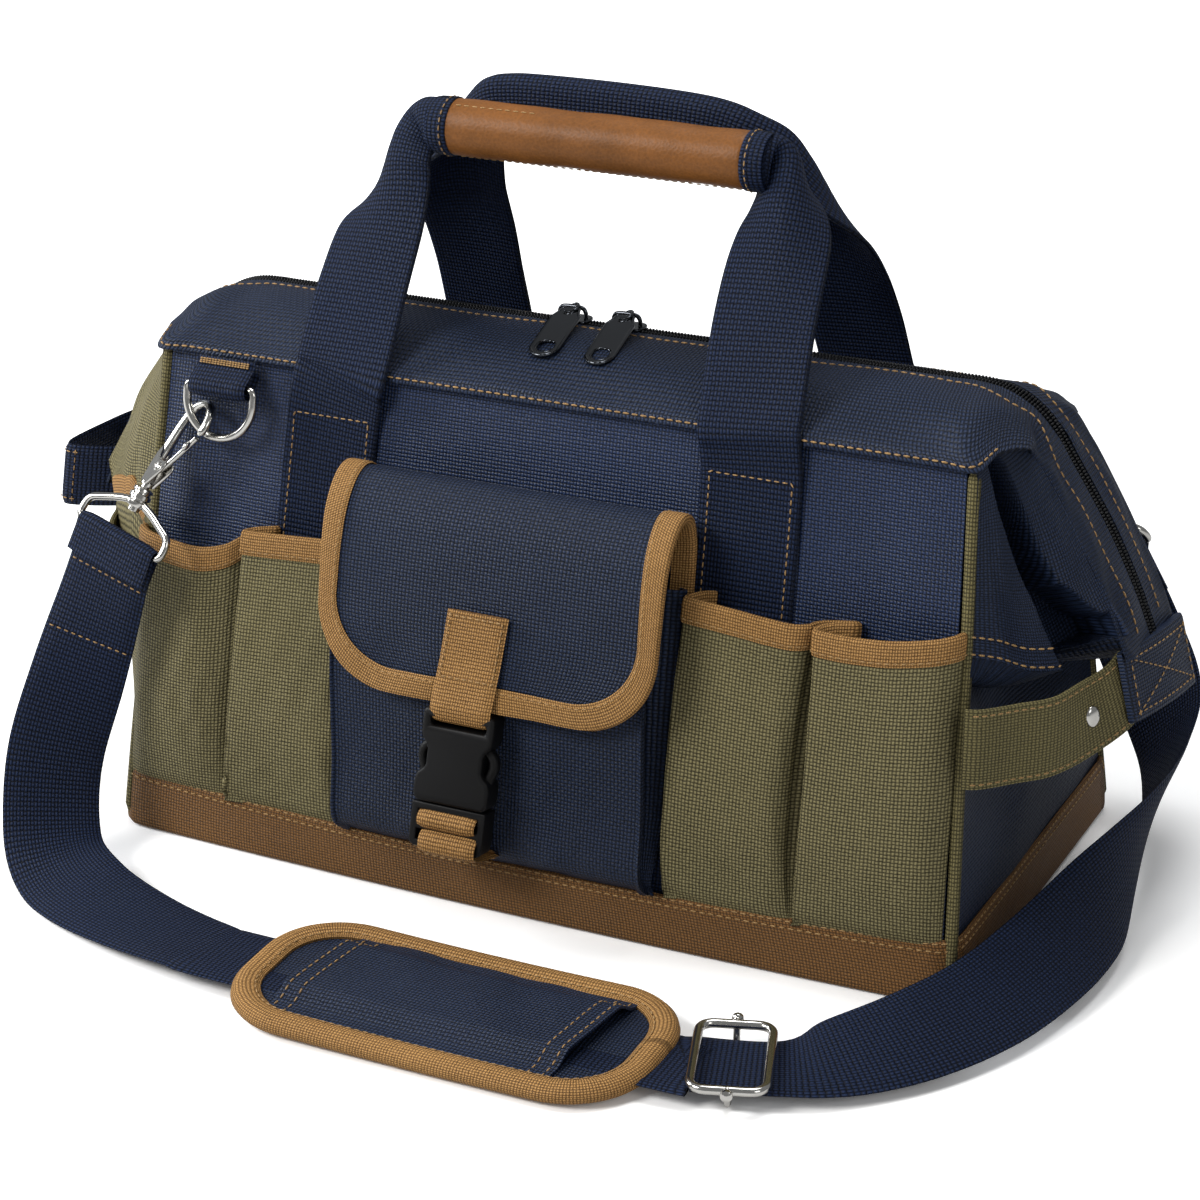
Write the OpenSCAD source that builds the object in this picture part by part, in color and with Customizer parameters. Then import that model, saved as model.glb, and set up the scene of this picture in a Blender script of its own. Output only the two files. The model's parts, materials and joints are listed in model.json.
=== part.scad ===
// Wide-mouth tool bag: soft walls on a stiff base, zipped top with steel frame rods,
// two carrying handles, front pockets with a buckled flap, and a clip-on shoulder strap.
// +X runs along the bag, -Y is the front, +Z is up; the origin is the middle of the base.

/* [Body] */
// Length of the base
base_l = 356; // [320:1:400]
// Depth of the base
base_d = 190; // [170:1:215]
// Height of the hem line on the front wall
hem_z = 198; // [185:1:205]
// Distance from the middle to the front hem
hem_y = 62; // [56:1:70]
// Height of the hem line on the back wall
back_hem_z = 178; // [165:1:185]
// Distance from the middle to the back hem
back_hem_y = 50; // [42:1:58]
// Half length of the bag at the hem
hem_half = 168; // [158:1:174]
// Thickness of a padded wall
wall_t = 3; // [2:0.5:5]
// Height of the band round the base
band_h = 25; // [16:1:35]
// Thickness of the band round the base
band_t = 1.5; // [1:0.1:2.5]
// Thickness of the floor
floor_t = 2.5; // [1.5:0.5:4]
// Thickness of the stiff board inside the base
board_t = 3; // [2:0.5:6]
// Diameter of the corner piping
piping_d = 5; // [4:0.5:7]
// Height of the end panels
end_h = 112; // [95:1:118]

/* [Zip and top] */
// Height of the zip
zip_z = 210; // [204:1:220]
// Place of the zip in front of the middle
zip_y = 8.5; // [4:0.5:14]
// Half length of the straight run of the zip
zip_flat = 150; // [135:1:156]
// Radius of the corners of the zip
zip_corner_r = 36; // [28:1:44]
// Slope of the zip at the ends, in degrees
zip_slope = 57; // [50:1:64]
// Length of the sloping run of the zip
zip_fall = 84; // [70:1:92]
// Width of one row of the zip coil
coil_w = 2.7; // [2:0.1:4]
// Thickness of the zip coil
coil_t = 2.6; // [2:0.1:3.5]
// Width of the zip tape on each side of the coil
tape_w = 9; // [7:0.5:9.5]
// Width of the binding strip beside the zip
rim_w = 26; // [20:1:30]
// Width of the binding strip behind the straight run of the zip
back_rim_w = 10; // [9.5:0.5:12]
// Thickness of the top band
rim_t = 2.2; // [1.5:0.1:3]
// Diameter of a frame rod
rod_d = 5; // [4:0.5:6]
// Width of a zip end tab
tab_w = 48; // [40:1:56]
// Height of a zip end tab
tab_h = 29; // [24:1:34]
// Thickness of a zip end tab
tab_t = 4; // [3:0.5:5]

/* [Zip sliders] */
// Length of a slider
slider_l = 15; // [12:0.5:18]
// Width of a slider
slider_w = 10.4; // [9:0.2:10.6]
// Length of a pull
pull_l = 41; // [30:1:44]
// Width of a pull
pull_w = 11; // [8:0.5:13]
// Thickness of a pull
pull_t = 1.7; // [1.2:0.1:2.2]
// Place of the left slider
left_slider_x = 16; // [12:1:40]
// Place of the right slider
right_slider_x = 7; // [6:1:40]

/* [Pockets] */
// Distance from the hem down the wall to the mouths of the open pockets
mouth_drop = 63.4; // [57:0.2:85]
// How far the open pockets stand off the wall
pocket_bulge = 13; // [8:1:18]
// Thickness of the pocket fabric
cloth_t = 1.2; // [0.8:0.1:2]
// Height of the binding tape
tape_h = 9; // [6:1:12]
// Thickness of the binding tape
bind_t = 0.8; // [0.5:0.1:1.2]
// Place of the flap pocket, to the left of the middle
flap_x = 6; // [0:1:12]
// Width of the flap pocket
box_w = 130; // [110:1:134]
// Height of the flap pocket
box_h = 115; // [100:1:122]
// Depth of the flap pocket at its foot
box_foot = 15; // [10:1:22]
// Depth of the flap pocket at its mouth
box_depth = 28; // [20:1:32]

/* [Flap and buckle] */
// Width of the flap
flap_w = 138; // [134:1:142]
// Height of the flap's seam on the wall
flap_z = 167; // [162:1:176]
// Height of the flap's lower edge
flap_low = 88; // [80:1:100]
// Corner radius of the flap
flap_r = 30; // [15:1:40]
// Thickness of the flap
flap_t = 2; // [1.5:0.1:3]
// Width of the buckle webbing
buckle_web = 25.4; // [20:0.2:26]
// Width of the buckle
buckle_w = 31; // [30:0.5:36]
// Height of the buckle socket
socket_h = 35; // [32:1:40]
// Thickness of the buckle
buckle_t = 9; // [8:0.5:11]

/* [Handles] */
// Width of the handle webbing
web_w = 38; // [34:1:42]
// Thickness of the handle webbing
web_t = 2; // [1.5:0.1:2.5]
// Distance from the middle to the middle of a handle leg
leg_x = 85.5; // [82:0.5:90]
// Height of the front grip's axis
grip_z = 284; // [270:1:300]
// Place of the front grip's axis in front of the middle
grip_y = 17; // [12:1:22]
// Height of the back grip's axis
back_grip_z = 287; // [272:1:302]
// Place of the back grip's axis behind the middle
back_grip_y = 6; // [5:1:12]
// Outer diameter of a grip
grip_d = 20.5; // [18:0.5:22]
// Length of the leather wrap on the front grip
wrap_l = 122; // [100:1:124]
// Thickness of the leather wrap
wrap_t = 1.8; // [1.2:0.1:2.5]
// Length of a grip
grip_l = 134; // [126:1:144]

/* [Rings and hooks] */
// Distance from the middle to a D-ring, along the bag
ring_x = 136; // [130:1:142]
// Inner width of a D-ring
ring_w = 26; // [25.5:0.5:30]
// Wire diameter of a D-ring
ring_wire = 3.6; // [3:0.2:4]
// Wire diameter of a hook
hook_wire = 4; // [3.5:0.1:4.4]
// Radius of the hook's bend
hook_r = 8.6; // [8.4:0.1:9.4]
// Length from the hook's swivel to the middle of its bend
hook_l = 32; // [30:1:34]
// Diameter of the swivel barrel
barrel_d = 8.5; // [7:0.5:10]
// Inner width of the strap loop
loop_w = 39.5; // [39:0.5:44]
// Wire diameter of the strap loop
loop_wire = 3.2; // [2.8:0.1:3.6]

/* [Shoulder strap] */
// Width of the strap
strap_w = 38; // [34:1:38]
// Thickness of the strap
strap_t = 2.4; // [1.6:0.1:2.6]
// Length of the shoulder pad
pad_l = 166; // [140:1:168]
// Width of the shoulder pad
pad_w = 74; // [60:1:80]
// Thickness of the shoulder pad
pad_t = 9; // [8:0.5:12]
// Length of the strap adjuster
adjust_l = 30; // [24:1:34]
// Wire diameter of the strap adjuster
adjust_wire = 3.4; // [3:0.1:4]

/* [Hidden] */

$fn = 48;
// Space left between neighbours that are sewn together
seam = 0.05;
// Space left between pieces that move past each other
play = 0.3;
// Overrun of a cut past the solid that it cuts
over = 1;

navy = "#1f2b45";
olive = "#5d5a41";
tan_tape = "#a8743a";
brown = "#8a5f33";
leather = "#b07c45";
black = "#17181b";
silver = "#c9c9c6";

half_l = base_l / 2;
half_d = base_d / 2;
front_lean = atan((half_d - hem_y) / hem_z);
back_lean = atan((half_d - back_hem_y) / back_hem_z);
wall_h = hem_z / cos(front_lean);
back_wall_h = back_hem_z / cos(back_lean);
end_lean = atan((half_l - hem_half) / hem_z);
piping_r = piping_d / 2;
// Sewn pieces that lie over a handle's webbing start this far off the wall
lap_off = web_t + 3 * seam;

// Half length of the bag at height z
function half_at(z) = half_l - z * tan(end_lean);

// Moves its children from wall space, with -Y outwards and +Z up the wall, onto the front wall
module on_front() {
    translate([0, -half_d, 0]) rotate([-front_lean, 0, 0]) children();
}

// The same for the back wall
module on_back() {
    mirror([0, 1, 0]) translate([0, -half_d, 0]) rotate([-back_lean, 0, 0]) children();
}

// Sheet of thickness t whose inner face is off millimetres out from the wall; drawn in X and height
module sheet(t, off = 0) {
    translate([0, -off, 0]) rotate([90, 0, 0]) linear_extrude(t) children();
}

// Profile drawn in Y and Z, run along X from x0 to x1
module along_x(x0, x1) {
    translate([x0, 0, 0]) rotate([90, 0, 90]) linear_extrude(x1 - x0) children();
}

// The same for the right end wall, with +X outwards
module on_end() {
    translate([half_l, 0, 0]) rotate([0, -end_lean, 0]) children();
}

// Its children and their mirror image at the other end of the bag
module both_sides() {
    children();
    mirror([1, 0, 0]) children();
}

// Round bar of radius r between two points
module bar(p, q, r) {
    v = q - p;
    translate(p) rotate([0, acos(v[2] / norm(v)), atan2(v[1], v[0])]) cylinder(r = r, h = norm(v));
}

function reverse(list) = [for (i = [len(list) - 1:-1:0]) list[i]];

// Line of the zip on the right, seen from the front, at depth d under the top of the band
arc_steps = 6;
function zip_half(d) = let (cz = zip_z - zip_corner_r, r = zip_corner_r - d)
    let (arc = [for (i = [0:arc_steps]) let (a = 90 - zip_slope * i / arc_steps)
        [zip_flat + r * cos(a), cz + r * sin(a)]])
    concat(arc, [arc[arc_steps] + zip_fall * [cos(zip_slope), -sin(zip_slope)]]);
function zip_line(d) = concat([for (p = reverse(zip_half(d))) [-p[0], p[1]]], zip_half(d));

// Ribbon that follows the zip from tab to tab, between depths d0 and d1 and between y0 and y1
module zip_ribbon(y0, y1, d0, d1) {
    translate([0, y1, 0]) rotate([90, 0, 0]) linear_extrude(y1 - y0)
        polygon(concat(zip_line(d0), reverse(zip_line(d1))));
}

// The part of such a ribbon past the hem at each end of the bag
module zip_ends(y0, y1, d0, d1) {
    function tail(d) = [for (i = [corner_step_back:arc_steps + 1]) zip_half(d)[i]];
    both_sides() translate([0, y1, 0]) rotate([90, 0, 0]) linear_extrude(y1 - y0)
        polygon(concat(tail(d0), reverse(tail(d1))));
}

zip_tip = zip_half(0)[arc_steps + 1];
tab_x = zip_tip[0];
tab_z = zip_tip[1];

// Base
board_gap = play;

module base_floor() {
    color(brown) translate([-half_l, -half_d, 0]) cube([base_l, base_d, floor_t]);
}

// Board that stiffens the base, lying on the floor inside the walls
module base_board() {
    inset = piping_d + wall_t + board_gap;
    lean_in = board_t * tan(back_lean) + wall_t;
    color(black) translate([-half_l + inset, -half_d + inset + lean_in, floor_t + seam])
        cube([base_l - 2 * inset, base_d - 2 * (inset + lean_in), board_t]);
}

module base_band() {
    color(brown) {
        on_front() sheet(band_t, seam) wall_outline(floor_t + 2 * band_t / 3, band_h);
        on_back() sheet(band_t, seam) wall_outline(floor_t + 2 * band_t / 3, band_h);
        both_sides() on_end() translate([seam, 0, 0]) along_x(0, band_t) end_outline(floor_t + seam, band_h);
    }
}

// Outline of an end wall between two heights, in Y and Z
module end_outline(z0, z1) {
    function front_y(z) = -half_d + z * tan(front_lean) + piping_d / cos(front_lean) + seam;
    function back_y(z) = half_d - z * tan(back_lean) - piping_d / cos(back_lean) - seam;
    polygon([[front_y(z0), z0], [back_y(z0), z0], [back_y(z1), z1], [front_y(z1), z1]]);
}

// Walls
module wall_outline(low, high) {
    a = half_at(low) - piping_d - seam;
    b = half_at(high) - piping_d - seam;
    polygon([[-a, low], [a, low], [b, high], [-b, high]]);
}

module front_panel() {
    color(navy) on_front() sheet(wall_t, -wall_t) wall_outline(floor_t + wall_t / 3, wall_h - seam);
}

module back_panel() {
    color(navy) on_back() sheet(wall_t, -wall_t) wall_outline(floor_t + wall_t / 3, back_wall_h - seam);
}

module end_panel() {
    on_end() translate([-wall_t, 0, 0]) along_x(0, wall_t) end_outline(floor_t + wall_t / 10, end_h);
}

// Axis of the corner piping at height z, in the front or the back corner on the right
function piping_at(z, front) = let (lean = front ? front_lean : back_lean, in = z * tan(lean) + piping_r / cos(lean))
    [half_at(z) - piping_r, front ? in - half_d : half_d - in, z];

// Piping sewn into the upright corners
module corner_piping() {
    foot = floor_t + piping_r * sin(back_lean) + seam;
    color(olive) both_sides() {
        bar(piping_at(foot, true), piping_at(hem_z - piping_d, true), piping_r);
        bar(piping_at(foot, false), piping_at(back_hem_z - piping_d, false), piping_r);
    }
}

// Wing of the end gusset: cloth between the piping and the top band, in the front or the back
corner_step_front = 1;
corner_step_back = 3;

function wing_rows(front) = let (
        way = front ? -1 : 1,
        low = end_h + 2 * play,
        high = (front ? hem_z : back_hem_z) - 2 * piping_d,
        edge_y = -zip_y + way * (rim_w - play),
        rim = zip_half(rim_t + 2 * play),
        off = [piping_r, -way * (piping_r + 2 * play), 0],
        tip = rim[arc_steps + 1],
        bend = rim[arc_steps],
        near = rim[front ? corner_step_front : corner_step_back],
        near_z = front ? near[1] : back_slope_z(edge_y) - 2 * rim_t)
    [[piping_at(low, front) + off, piping_at((low + high) / 2, front) + off, piping_at(high, front) + off],
     [[tip[0] - tab_h / (2 * tan(zip_slope)), edge_y, tip[1] + tab_h / 2],
        [(tip[0] + bend[0]) / 2, edge_y, (tip[1] + bend[1]) / 2], [near[0], edge_y, near_z]]];

// Inner fold of the gusset: it closes the end behind the wings
function fold_rows() = let (
        x0 = half_at(end_h) - wall_t / 2,
        low = end_h + 2 * play,
        high = zip_z * fold_share,
        x1 = zip_flat - wall_t,
        y0 = -half_d + end_h * tan(front_lean) + 2 * piping_d,
        y1 = half_d - end_h * tan(back_lean) - 2 * piping_d)
    [[[x0, y0, low], [x1, 2 * piping_d - hem_y, high]], [[x0, y1, low], [x1, back_hem_y - 2 * piping_d, high]]];
fold_share = 0.85;

// Closed thin solid over a grid of points, thickened towards the middle of the bag
module cloth(rows, t) {
    n = len(rows);
    m = len(rows[0]);
    core = [0, 0, hem_z / 2];
    outer = [for (r = rows) for (p = r) p];
    inner = [for (r = rows) for (p = r) p + t * (core - p) / norm(core - p)];
    k = n * m;
    top = [for (i = [0:n - 2]) for (j = [0:m - 2]) let (a = i * m + j)
        each [[a, a + 1, a + m], [a + 1, a + m + 1, a + m]]];
    bottom = [for (f = top) [f[2] + k, f[1] + k, f[0] + k]];
    rim = concat([for (j = [0:m - 2]) j + 1], [for (i = [1:n - 1]) i * m + m - 1],
        [for (j = [m - 2:-1:0]) (n - 1) * m + j], [for (i = [n - 2:-1:0]) i * m]);
    loop = concat([0], [for (v = rim) v]);
    side = [for (i = [0:len(loop) - 2]) let (a = loop[i], b = loop[i + 1])
        each [[b, a, a + k], [b, a + k, b + k]]];
    polyhedron(concat(outer, inner), concat(top, bottom, side));
}

module gusset() {
    cloth(wing_rows(true), wall_t / 2);
    cloth(reverse(wing_rows(false)), wall_t / 2);
    cloth(fold_rows(), wall_t / 2);
}

// Top band and zip
coil_gap = 3.4;
rim_y = -zip_y - coil_gap - coil_w;
rim_fall = 18;
ridge_y = hem_y - rim_fall;
ridge_drop = 2;
hem_lap = 4;
back_rim_y = -zip_y + back_rim_w;

// Height of the back slope of the top band at depth y
function back_slope_z(y) = zip_z - (y - back_rim_y) * (zip_z - back_hem_z - rim_t) / (back_hem_y + rim_t - back_rim_y);

module front_top_band() {
    y0 = -zip_y - rim_w;
    top = zip_z;
    outer = [[y0 + seam, top], [-ridge_y, top - ridge_drop], [-hem_y - rim_t, hem_z + rim_t],
        [-hem_y - rim_t - hem_lap * tan(front_lean), hem_z - hem_lap]];
    inner = [[-hem_y - hem_lap * tan(front_lean) - seam, hem_z - hem_lap], [-hem_y - seam, hem_z + seam],
        [-ridge_y, top - ridge_drop - rim_t], [y0 + seam, top - rim_t]];
    color(navy) {
        zip_ribbon(y0, rim_y, 0, rim_t);
        along_x(-hem_half, hem_half) polygon(concat(outer, inner));
    }
}

module back_top_band() {
    y0 = back_rim_y;
    outer = [[y0 - seam, zip_z], [back_hem_y + rim_t, back_hem_z + rim_t],
        [back_hem_y + rim_t + hem_lap * tan(back_lean), back_hem_z - hem_lap]];
    inner = [[back_hem_y + hem_lap * tan(back_lean) + seam, back_hem_z - hem_lap],
        [back_hem_y + seam, back_hem_z + seam], [y0 - seam, zip_z - rim_t]];
    color(navy) {
        zip_ribbon(-2 * zip_y - rim_y, y0, 0, rim_t);
        zip_ends(-2 * zip_y - rim_y, -zip_y + rim_w, 0, rim_t);
        along_x(-hem_half, hem_half) polygon(concat(outer, inner));
    }
}

joint_share = 1.04;
// Steel rod under the top band, with a leg down each end to the zip tab
module frame_rod(side, reach) {
    r = rod_d / 2;
    deep = zip_half(rim_t + tape_t + 2 * play + r);
    y0 = -zip_y + side * reach;
    y1 = -zip_y + side * (rod_d + play);
    start = [deep[0][0], y0, deep[0][1]];
    bend = [deep[arc_steps][0], y0, deep[arc_steps][1]];
    tip = [deep[arc_steps + 1][0] - r, y1, deep[arc_steps + 1][1] + 2 * r];
    lap = [r / 2, 0, 0];
    fall = r / 2 * (bend - start) / norm(bend - start);
    bar([-start[0], y0, start[2]] - lap, start + lap, r);
    both_sides() {
        bar(start - fall, bend + fall, r);
        bar(bend, tip, r);
        translate(bend) sphere(r * joint_share);
    }
}

module zip_half_piece(side) {
    inner = coil_slot / 2;
    edges = [inner, inner + coil_w];
    tape = [inner + coil_w, tape_w];
    color(black) translate([0, -zip_y, 0]) mirror([0, side < 0 ? 1 : 0, 0]) {
        zip_ribbon(edges[0], edges[1], -coil_rise, coil_t - coil_rise);
        zip_ribbon(tape[0] - seam, tape[1], rim_t + seam, rim_t + seam + tape_t);
        zip_ribbon(tape[0] - coil_w / 2, tape[0] + seam, coil_t - coil_rise - seam, rim_t + seam + tape_t);
    }
}
coil_slot = 1.1;
coil_rise = 0.4;
tape_t = 0.9;

// Slider body: plates over and under the coil, joined by a slim post in the coil's seam
plate_t = 1.4;
bridge_r = 1.1;
bridge_h = 4.2;
flange_t = 1;
pivot_z = zip_z + coil_rise + play + plate_t + bridge_h;

module slider_body() {
    top = zip_z + coil_rise + play;
    under = zip_z - rim_t - tape_t - play - seam - plate_t;
    post_t = coil_slot - 2 * play;
    foot = slider_l / 2 - 2 * bridge_r;
    color(black) translate([0, -zip_y, 0]) {
        translate([-slider_l / 2, -slider_w / 2, top]) cube([slider_l, slider_w, plate_t]);
        translate([-slider_l / 2, -slider_w / 2, under]) cube([slider_l, slider_w, plate_t]);
        translate([-slider_l / 4, -post_t / 2, under]) cube([slider_l / 2, post_t, top - under + plate_t]);
        for (x = [-foot, foot])
            translate([x, 0, top]) cylinder(r = bridge_r, h = plate_t + bridge_h);
        bar([-foot, 0, pivot_z], [foot, 0, pivot_z], bridge_r);
        for (x = [-foot, foot]) translate([x, 0, pivot_z]) sphere(bridge_r);
    }
}

// Pull that hangs forward from the slider's bridge
pull_drop = 10.5;
pull_turn = 8;
pull_hole_r = 3.2;

module pull() {
    knuckle_r = bridge_r + play + pull_t / 2;
    knuckle_l = slider_l / 2 - 2 * bridge_r + play;
    translate([0, -zip_y, pivot_z]) rotate([pull_drop, 0, 0]) color(black) difference() {
        union() {
            rotate([0, 90, 0]) translate([0, 0, -knuckle_l / 2]) cylinder(r = knuckle_r, h = knuckle_l);
            rotate([0, 0, pull_turn]) translate([0, 0, -pull_t / 2]) linear_extrude(pull_t) difference() {
                pull_outline(knuckle_l);
                translate([0, -pull_l + pull_w / 2]) circle(pull_hole_r);
            }
        }
        rotate([0, 90, 0]) translate([0, 0, -slider_l]) cylinder(r = bridge_r + seam, h = 2 * slider_l);
    }
}

module pull_outline(neck) {
    chamfer = pull_w / 4;
    w = pull_w / 2;
    polygon([[-neck / 2, 0], [neck / 2, 0], [w, -pull_w], [w, -pull_l + chamfer], [w - chamfer, -pull_l],
        [chamfer - w, -pull_l], [-w, -pull_l + chamfer], [-w, -pull_w]]);
}

// Webbing tab folded over each end of the zip
module zip_tab() {
    color(navy) translate([tab_x + play, -zip_y - tab_w / 2, tab_z - tab_h / 2]) cube([tab_t, tab_w, tab_h]);
}

// Webbing straps from the corners of the base to the zip tabs
strap_rise = 84;
end_strap_w = 30;
end_strap_t = 1.8;

// The two ends of a strap's inner face in plan, and its outward normal
function strap_ends(front) = let (lean = front ? front_lean : back_lean, way = front ? -1 : 1)
    [[half_l + band_t, way * (half_d - (strap_rise + end_strap_w / 2) * tan(lean) - piping_d)],
     [tab_x + play - seam - end_strap_t, way * tab_w / 3 - zip_y]];
function strap_normal(front) = let (e = strap_ends(front), v = (e[1] - e[0]) / norm(e[1] - e[0]))
    (front ? 1 : -1) * [v[1], -v[0]];

module end_straps() {
    color(olive) both_sides() for (front = [true, false]) {
        e = strap_ends(front);
        n = strap_normal(front) * end_strap_t;
        translate([0, 0, strap_rise]) linear_extrude(end_strap_w) polygon([e[0], e[1], e[1] + n, e[0] + n]);
    }
}

rivet_r = 4;
rivet_h = 1.4;
rivet_share = 0.75;

module end_strap_rivets() {
    color(silver) both_sides() for (front = [true, false]) {
        e = strap_ends(front);
        n = strap_normal(front);
        at = e[0] * (1 - rivet_share) + e[1] * rivet_share + n * (end_strap_t + seam);
        z = strap_rise + end_strap_w / 2;
        bar([at[0], at[1], z], [at[0] + n[0] * rivet_h, at[1] + n[1] * rivet_h, z], rivet_r);
    }
}

// Pockets: a row of open bays across a wall, drawn in plan and run up the wall
module bay(x0, x1, depth) {
    slope = depth / 3;
    polygon([[x0, 0], [x0 + slope, -depth], [x1 - slope, -depth], [x1, 0]]);
}

module pocket_row(edges, z0, h, depth) {
    for (i = [0:len(edges) - 2]) translate([0, -band_t - 2 * seam, 0]) difference() {
        translate([0, 0, z0]) linear_extrude(h) bay(edges[i] + play, edges[i + 1] - play, depth);
        translate([0, over, z0 + cloth_t]) linear_extrude(h)
            bay(edges[i] + play + cloth_t, edges[i + 1] - play - cloth_t, depth - cloth_t + over);
    }
}

// Tape folded over the mouth of each bay
module mouth_tape(edges, z1, depth) {
    for (i = [0:len(edges) - 2]) translate([0, -band_t - 2 * seam, 0]) {
        x0 = edges[i] + play;
        x1 = edges[i + 1] - play;
        slope = depth / 3;
        translate([0, -depth - seam, z1 - tape_h]) rotate([90, 0, 0]) linear_extrude(bind_t)
            translate([x0 + slope, 0]) square([x1 - x0 - 2 * slope, tape_h + bind_t]);
        translate([0, 0, z1 + seam]) linear_extrude(bind_t)
            translate([x0 + slope, -depth - seam]) square([x1 - x0 - 2 * slope, cloth_t + seam]);
    }
}

pocket_z = band_h + play;
pocket_h = wall_h - pocket_z - mouth_drop;
left_seam_share = 1.47;
right_seam_share = 1.33;
left_edges = [-half_l + piping_d, -leg_x * left_seam_share, -flap_x - box_w / 2];
right_edges = [-flap_x + box_w / 2, leg_x * right_seam_share, half_l - piping_d - pocket_bulge / 3];
back_edges = [-half_l + piping_d + pocket_bulge / 2, 0, half_l - piping_d - pocket_bulge / 2];

module anchor_space() {
    for (side = [-1, 1]) sheet(web_t + band_t + 2 * play, -over)
        translate([side * leg_x - web_w / 2 - play, pocket_z + pocket_h - 2 * tape_h])
            square([web_w + 2 * play, wall_h]);
}

module front_left_pockets() {
    color(olive) on_front() difference() {
        pocket_row(left_edges, pocket_z, pocket_h, pocket_bulge);
        anchor_space();
    }
}

module front_right_pockets() {
    color(olive) on_front() difference() {
        pocket_row(right_edges, pocket_z, pocket_h, pocket_bulge);
        anchor_space();
    }
}

module back_pockets() {
    color(olive) on_back() difference() {
        pocket_row(back_edges, pocket_z, pocket_h - tape_h, pocket_bulge);
        anchor_space();
    }
}

module left_end_pocket() {
    depth = pocket_bulge;
    low = pocket_z;
    high = strap_rise - play;
    color(olive) difference() {
        translate([-half_l - band_t - seam - depth, 0, 0]) along_x(0, depth) end_outline(low, high);
        translate([-half_l - band_t - seam - depth + cloth_t, 0, cloth_t]) along_x(0, depth)
            offset_end(low, high + over);
    }
}

module offset_end(low, high) {
    inset = piping_d + seam + cloth_t;
    function front_y(z) = -half_d + z * tan(front_lean) + inset;
    function back_y(z) = half_d - z * tan(back_lean) - inset;
    polygon([[front_y(low), low], [back_y(low), low], [back_y(high), high], [front_y(high), high]]);
}

// Flap pocket: a box that deepens towards its mouth
module box_profile(inset) {
    z0 = pocket_z + inset;
    z1 = pocket_z + box_h + (inset > 0 ? over : 0);
    back = inset > 0 ? 0 : -lap_off;
    polygon([[back, z0], [-box_foot + inset, z0], [-box_depth + inset, z1], [back, z1]]);
}

module flap_pocket() {
    x0 = -flap_x - box_w / 2;
    color(navy) on_front() difference() {
        along_x(x0 + play, x0 + box_w - play) box_profile(0);
        along_x(x0 + play + cloth_t, x0 + box_w - play - cloth_t) box_profile(cloth_t);
        anchor_space();
    }
}

// Flap: a strip that leaves the wall, turns over the pocket's mouth and hangs down its front
flap_gap = 1.5;
flap_off = box_depth + flap_gap;
flap_top_share = 0.55;

module flap_strip(extra) {
    t = flap_t + 2 * extra;
    e = extra;
    reach = flap_off + flap_t + e;
    near = reach - t;
    rise = flap_z + flap_t;
    bend = flap_z - flap_off * flap_top_share;
    polygon([[-lap_off, flap_z - e], [-near * flap_top_share, flap_z - e], [-near, bend], [-near, flap_low],
        [-reach, flap_low], [-reach, bend + t / 2], [-reach * flap_top_share - t / 3, rise + e],
        [-lap_off, rise + e]]);
}

module flap_outline(inset) {
    w = flap_w / 2 - inset;
    r = flap_r - inset;
    low = flap_low + inset;
    high = flap_z + flap_off;
    polygon(concat([[-w, high], [-w, low + r]],
        [for (a = [corner_step:corner_step:90 - corner_step]) [-w + r - r * cos(a), low + r - r * sin(a)]],
        [[-w + r, low], [w - r, low]],
        [for (a = [90 - corner_step:-corner_step:corner_step]) [w - r + r * cos(a), low + r - r * sin(a)]],
        [[w, low + r], [w, high]]));
}
corner_step = 15;

module flap_solid(extra, inset) {
    intersection() {
        along_x(-flap_x - flap_w / 2, -flap_x + flap_w / 2) flap_strip(extra);
        translate([-flap_x, 0, 0]) sheet(2 * flap_off, -over) flap_outline(inset);
    }
}

module flap() {
    color(navy) on_front() flap_solid(0, tape_h + seam);
}

module flap_binding() {
    color(tan_tape) on_front() difference() {
        flap_solid(bind_t / 2, 0);
        translate([-flap_x, 0, 0]) sheet(3 * flap_off, -2 * over) flap_outline(tape_h);
    }
}

// Buckle
buckle_shift = 5.5;
buckle_x = flap_x + buckle_shift;
socket_gap = 2;
socket_top = flap_low - socket_gap;
socket_low = socket_top - socket_h;
tab_front = flap_off + flap_t + bind_t / 2 + seam;
tab_rise = 42;
tab_high = flap_low + tab_rise;
buckle_off = box_depth - flap_gap;
slot_h = 4;
prong_w = 5;
prong_gap = 0.5;
wall_b = 1.6;

module flap_tab() {
    color(tan_tape) on_front() translate([-buckle_x, 0, 0]) {
        sheet(web_t, tab_front) translate([-buckle_web / 2, socket_top + seam])
            square([buckle_web, tab_high - socket_top]);
        sheet(web_t, tab_front) translate([-buckle_web / 2, socket_top - slot_h + play])
            square([buckle_web, slot_h]);
    }
}

// Outline of the socket, waisted at its side windows
module socket_outline() {
    w = buckle_w / 2;
    waist = w - prong_w * waist_share;
    h = socket_h;
    z = [for (share = waist_height_shares) h * share];
    polygon([[-w, 0], [w, 0], [w, z[0]], [waist, z[1]], [waist, z[2]], [w, z[3]], [w, h],
        [-w, h], [-w, z[3]], [-waist, z[2]], [-waist, z[1]], [-w, z[0]]]);
}
waist_share = 0.55;
waist_height_shares = [0.28, 0.42, 0.62, 0.76];
cavity_share = 0.78;
prong_share = 0.74;
guide_share = 0.8;

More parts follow.
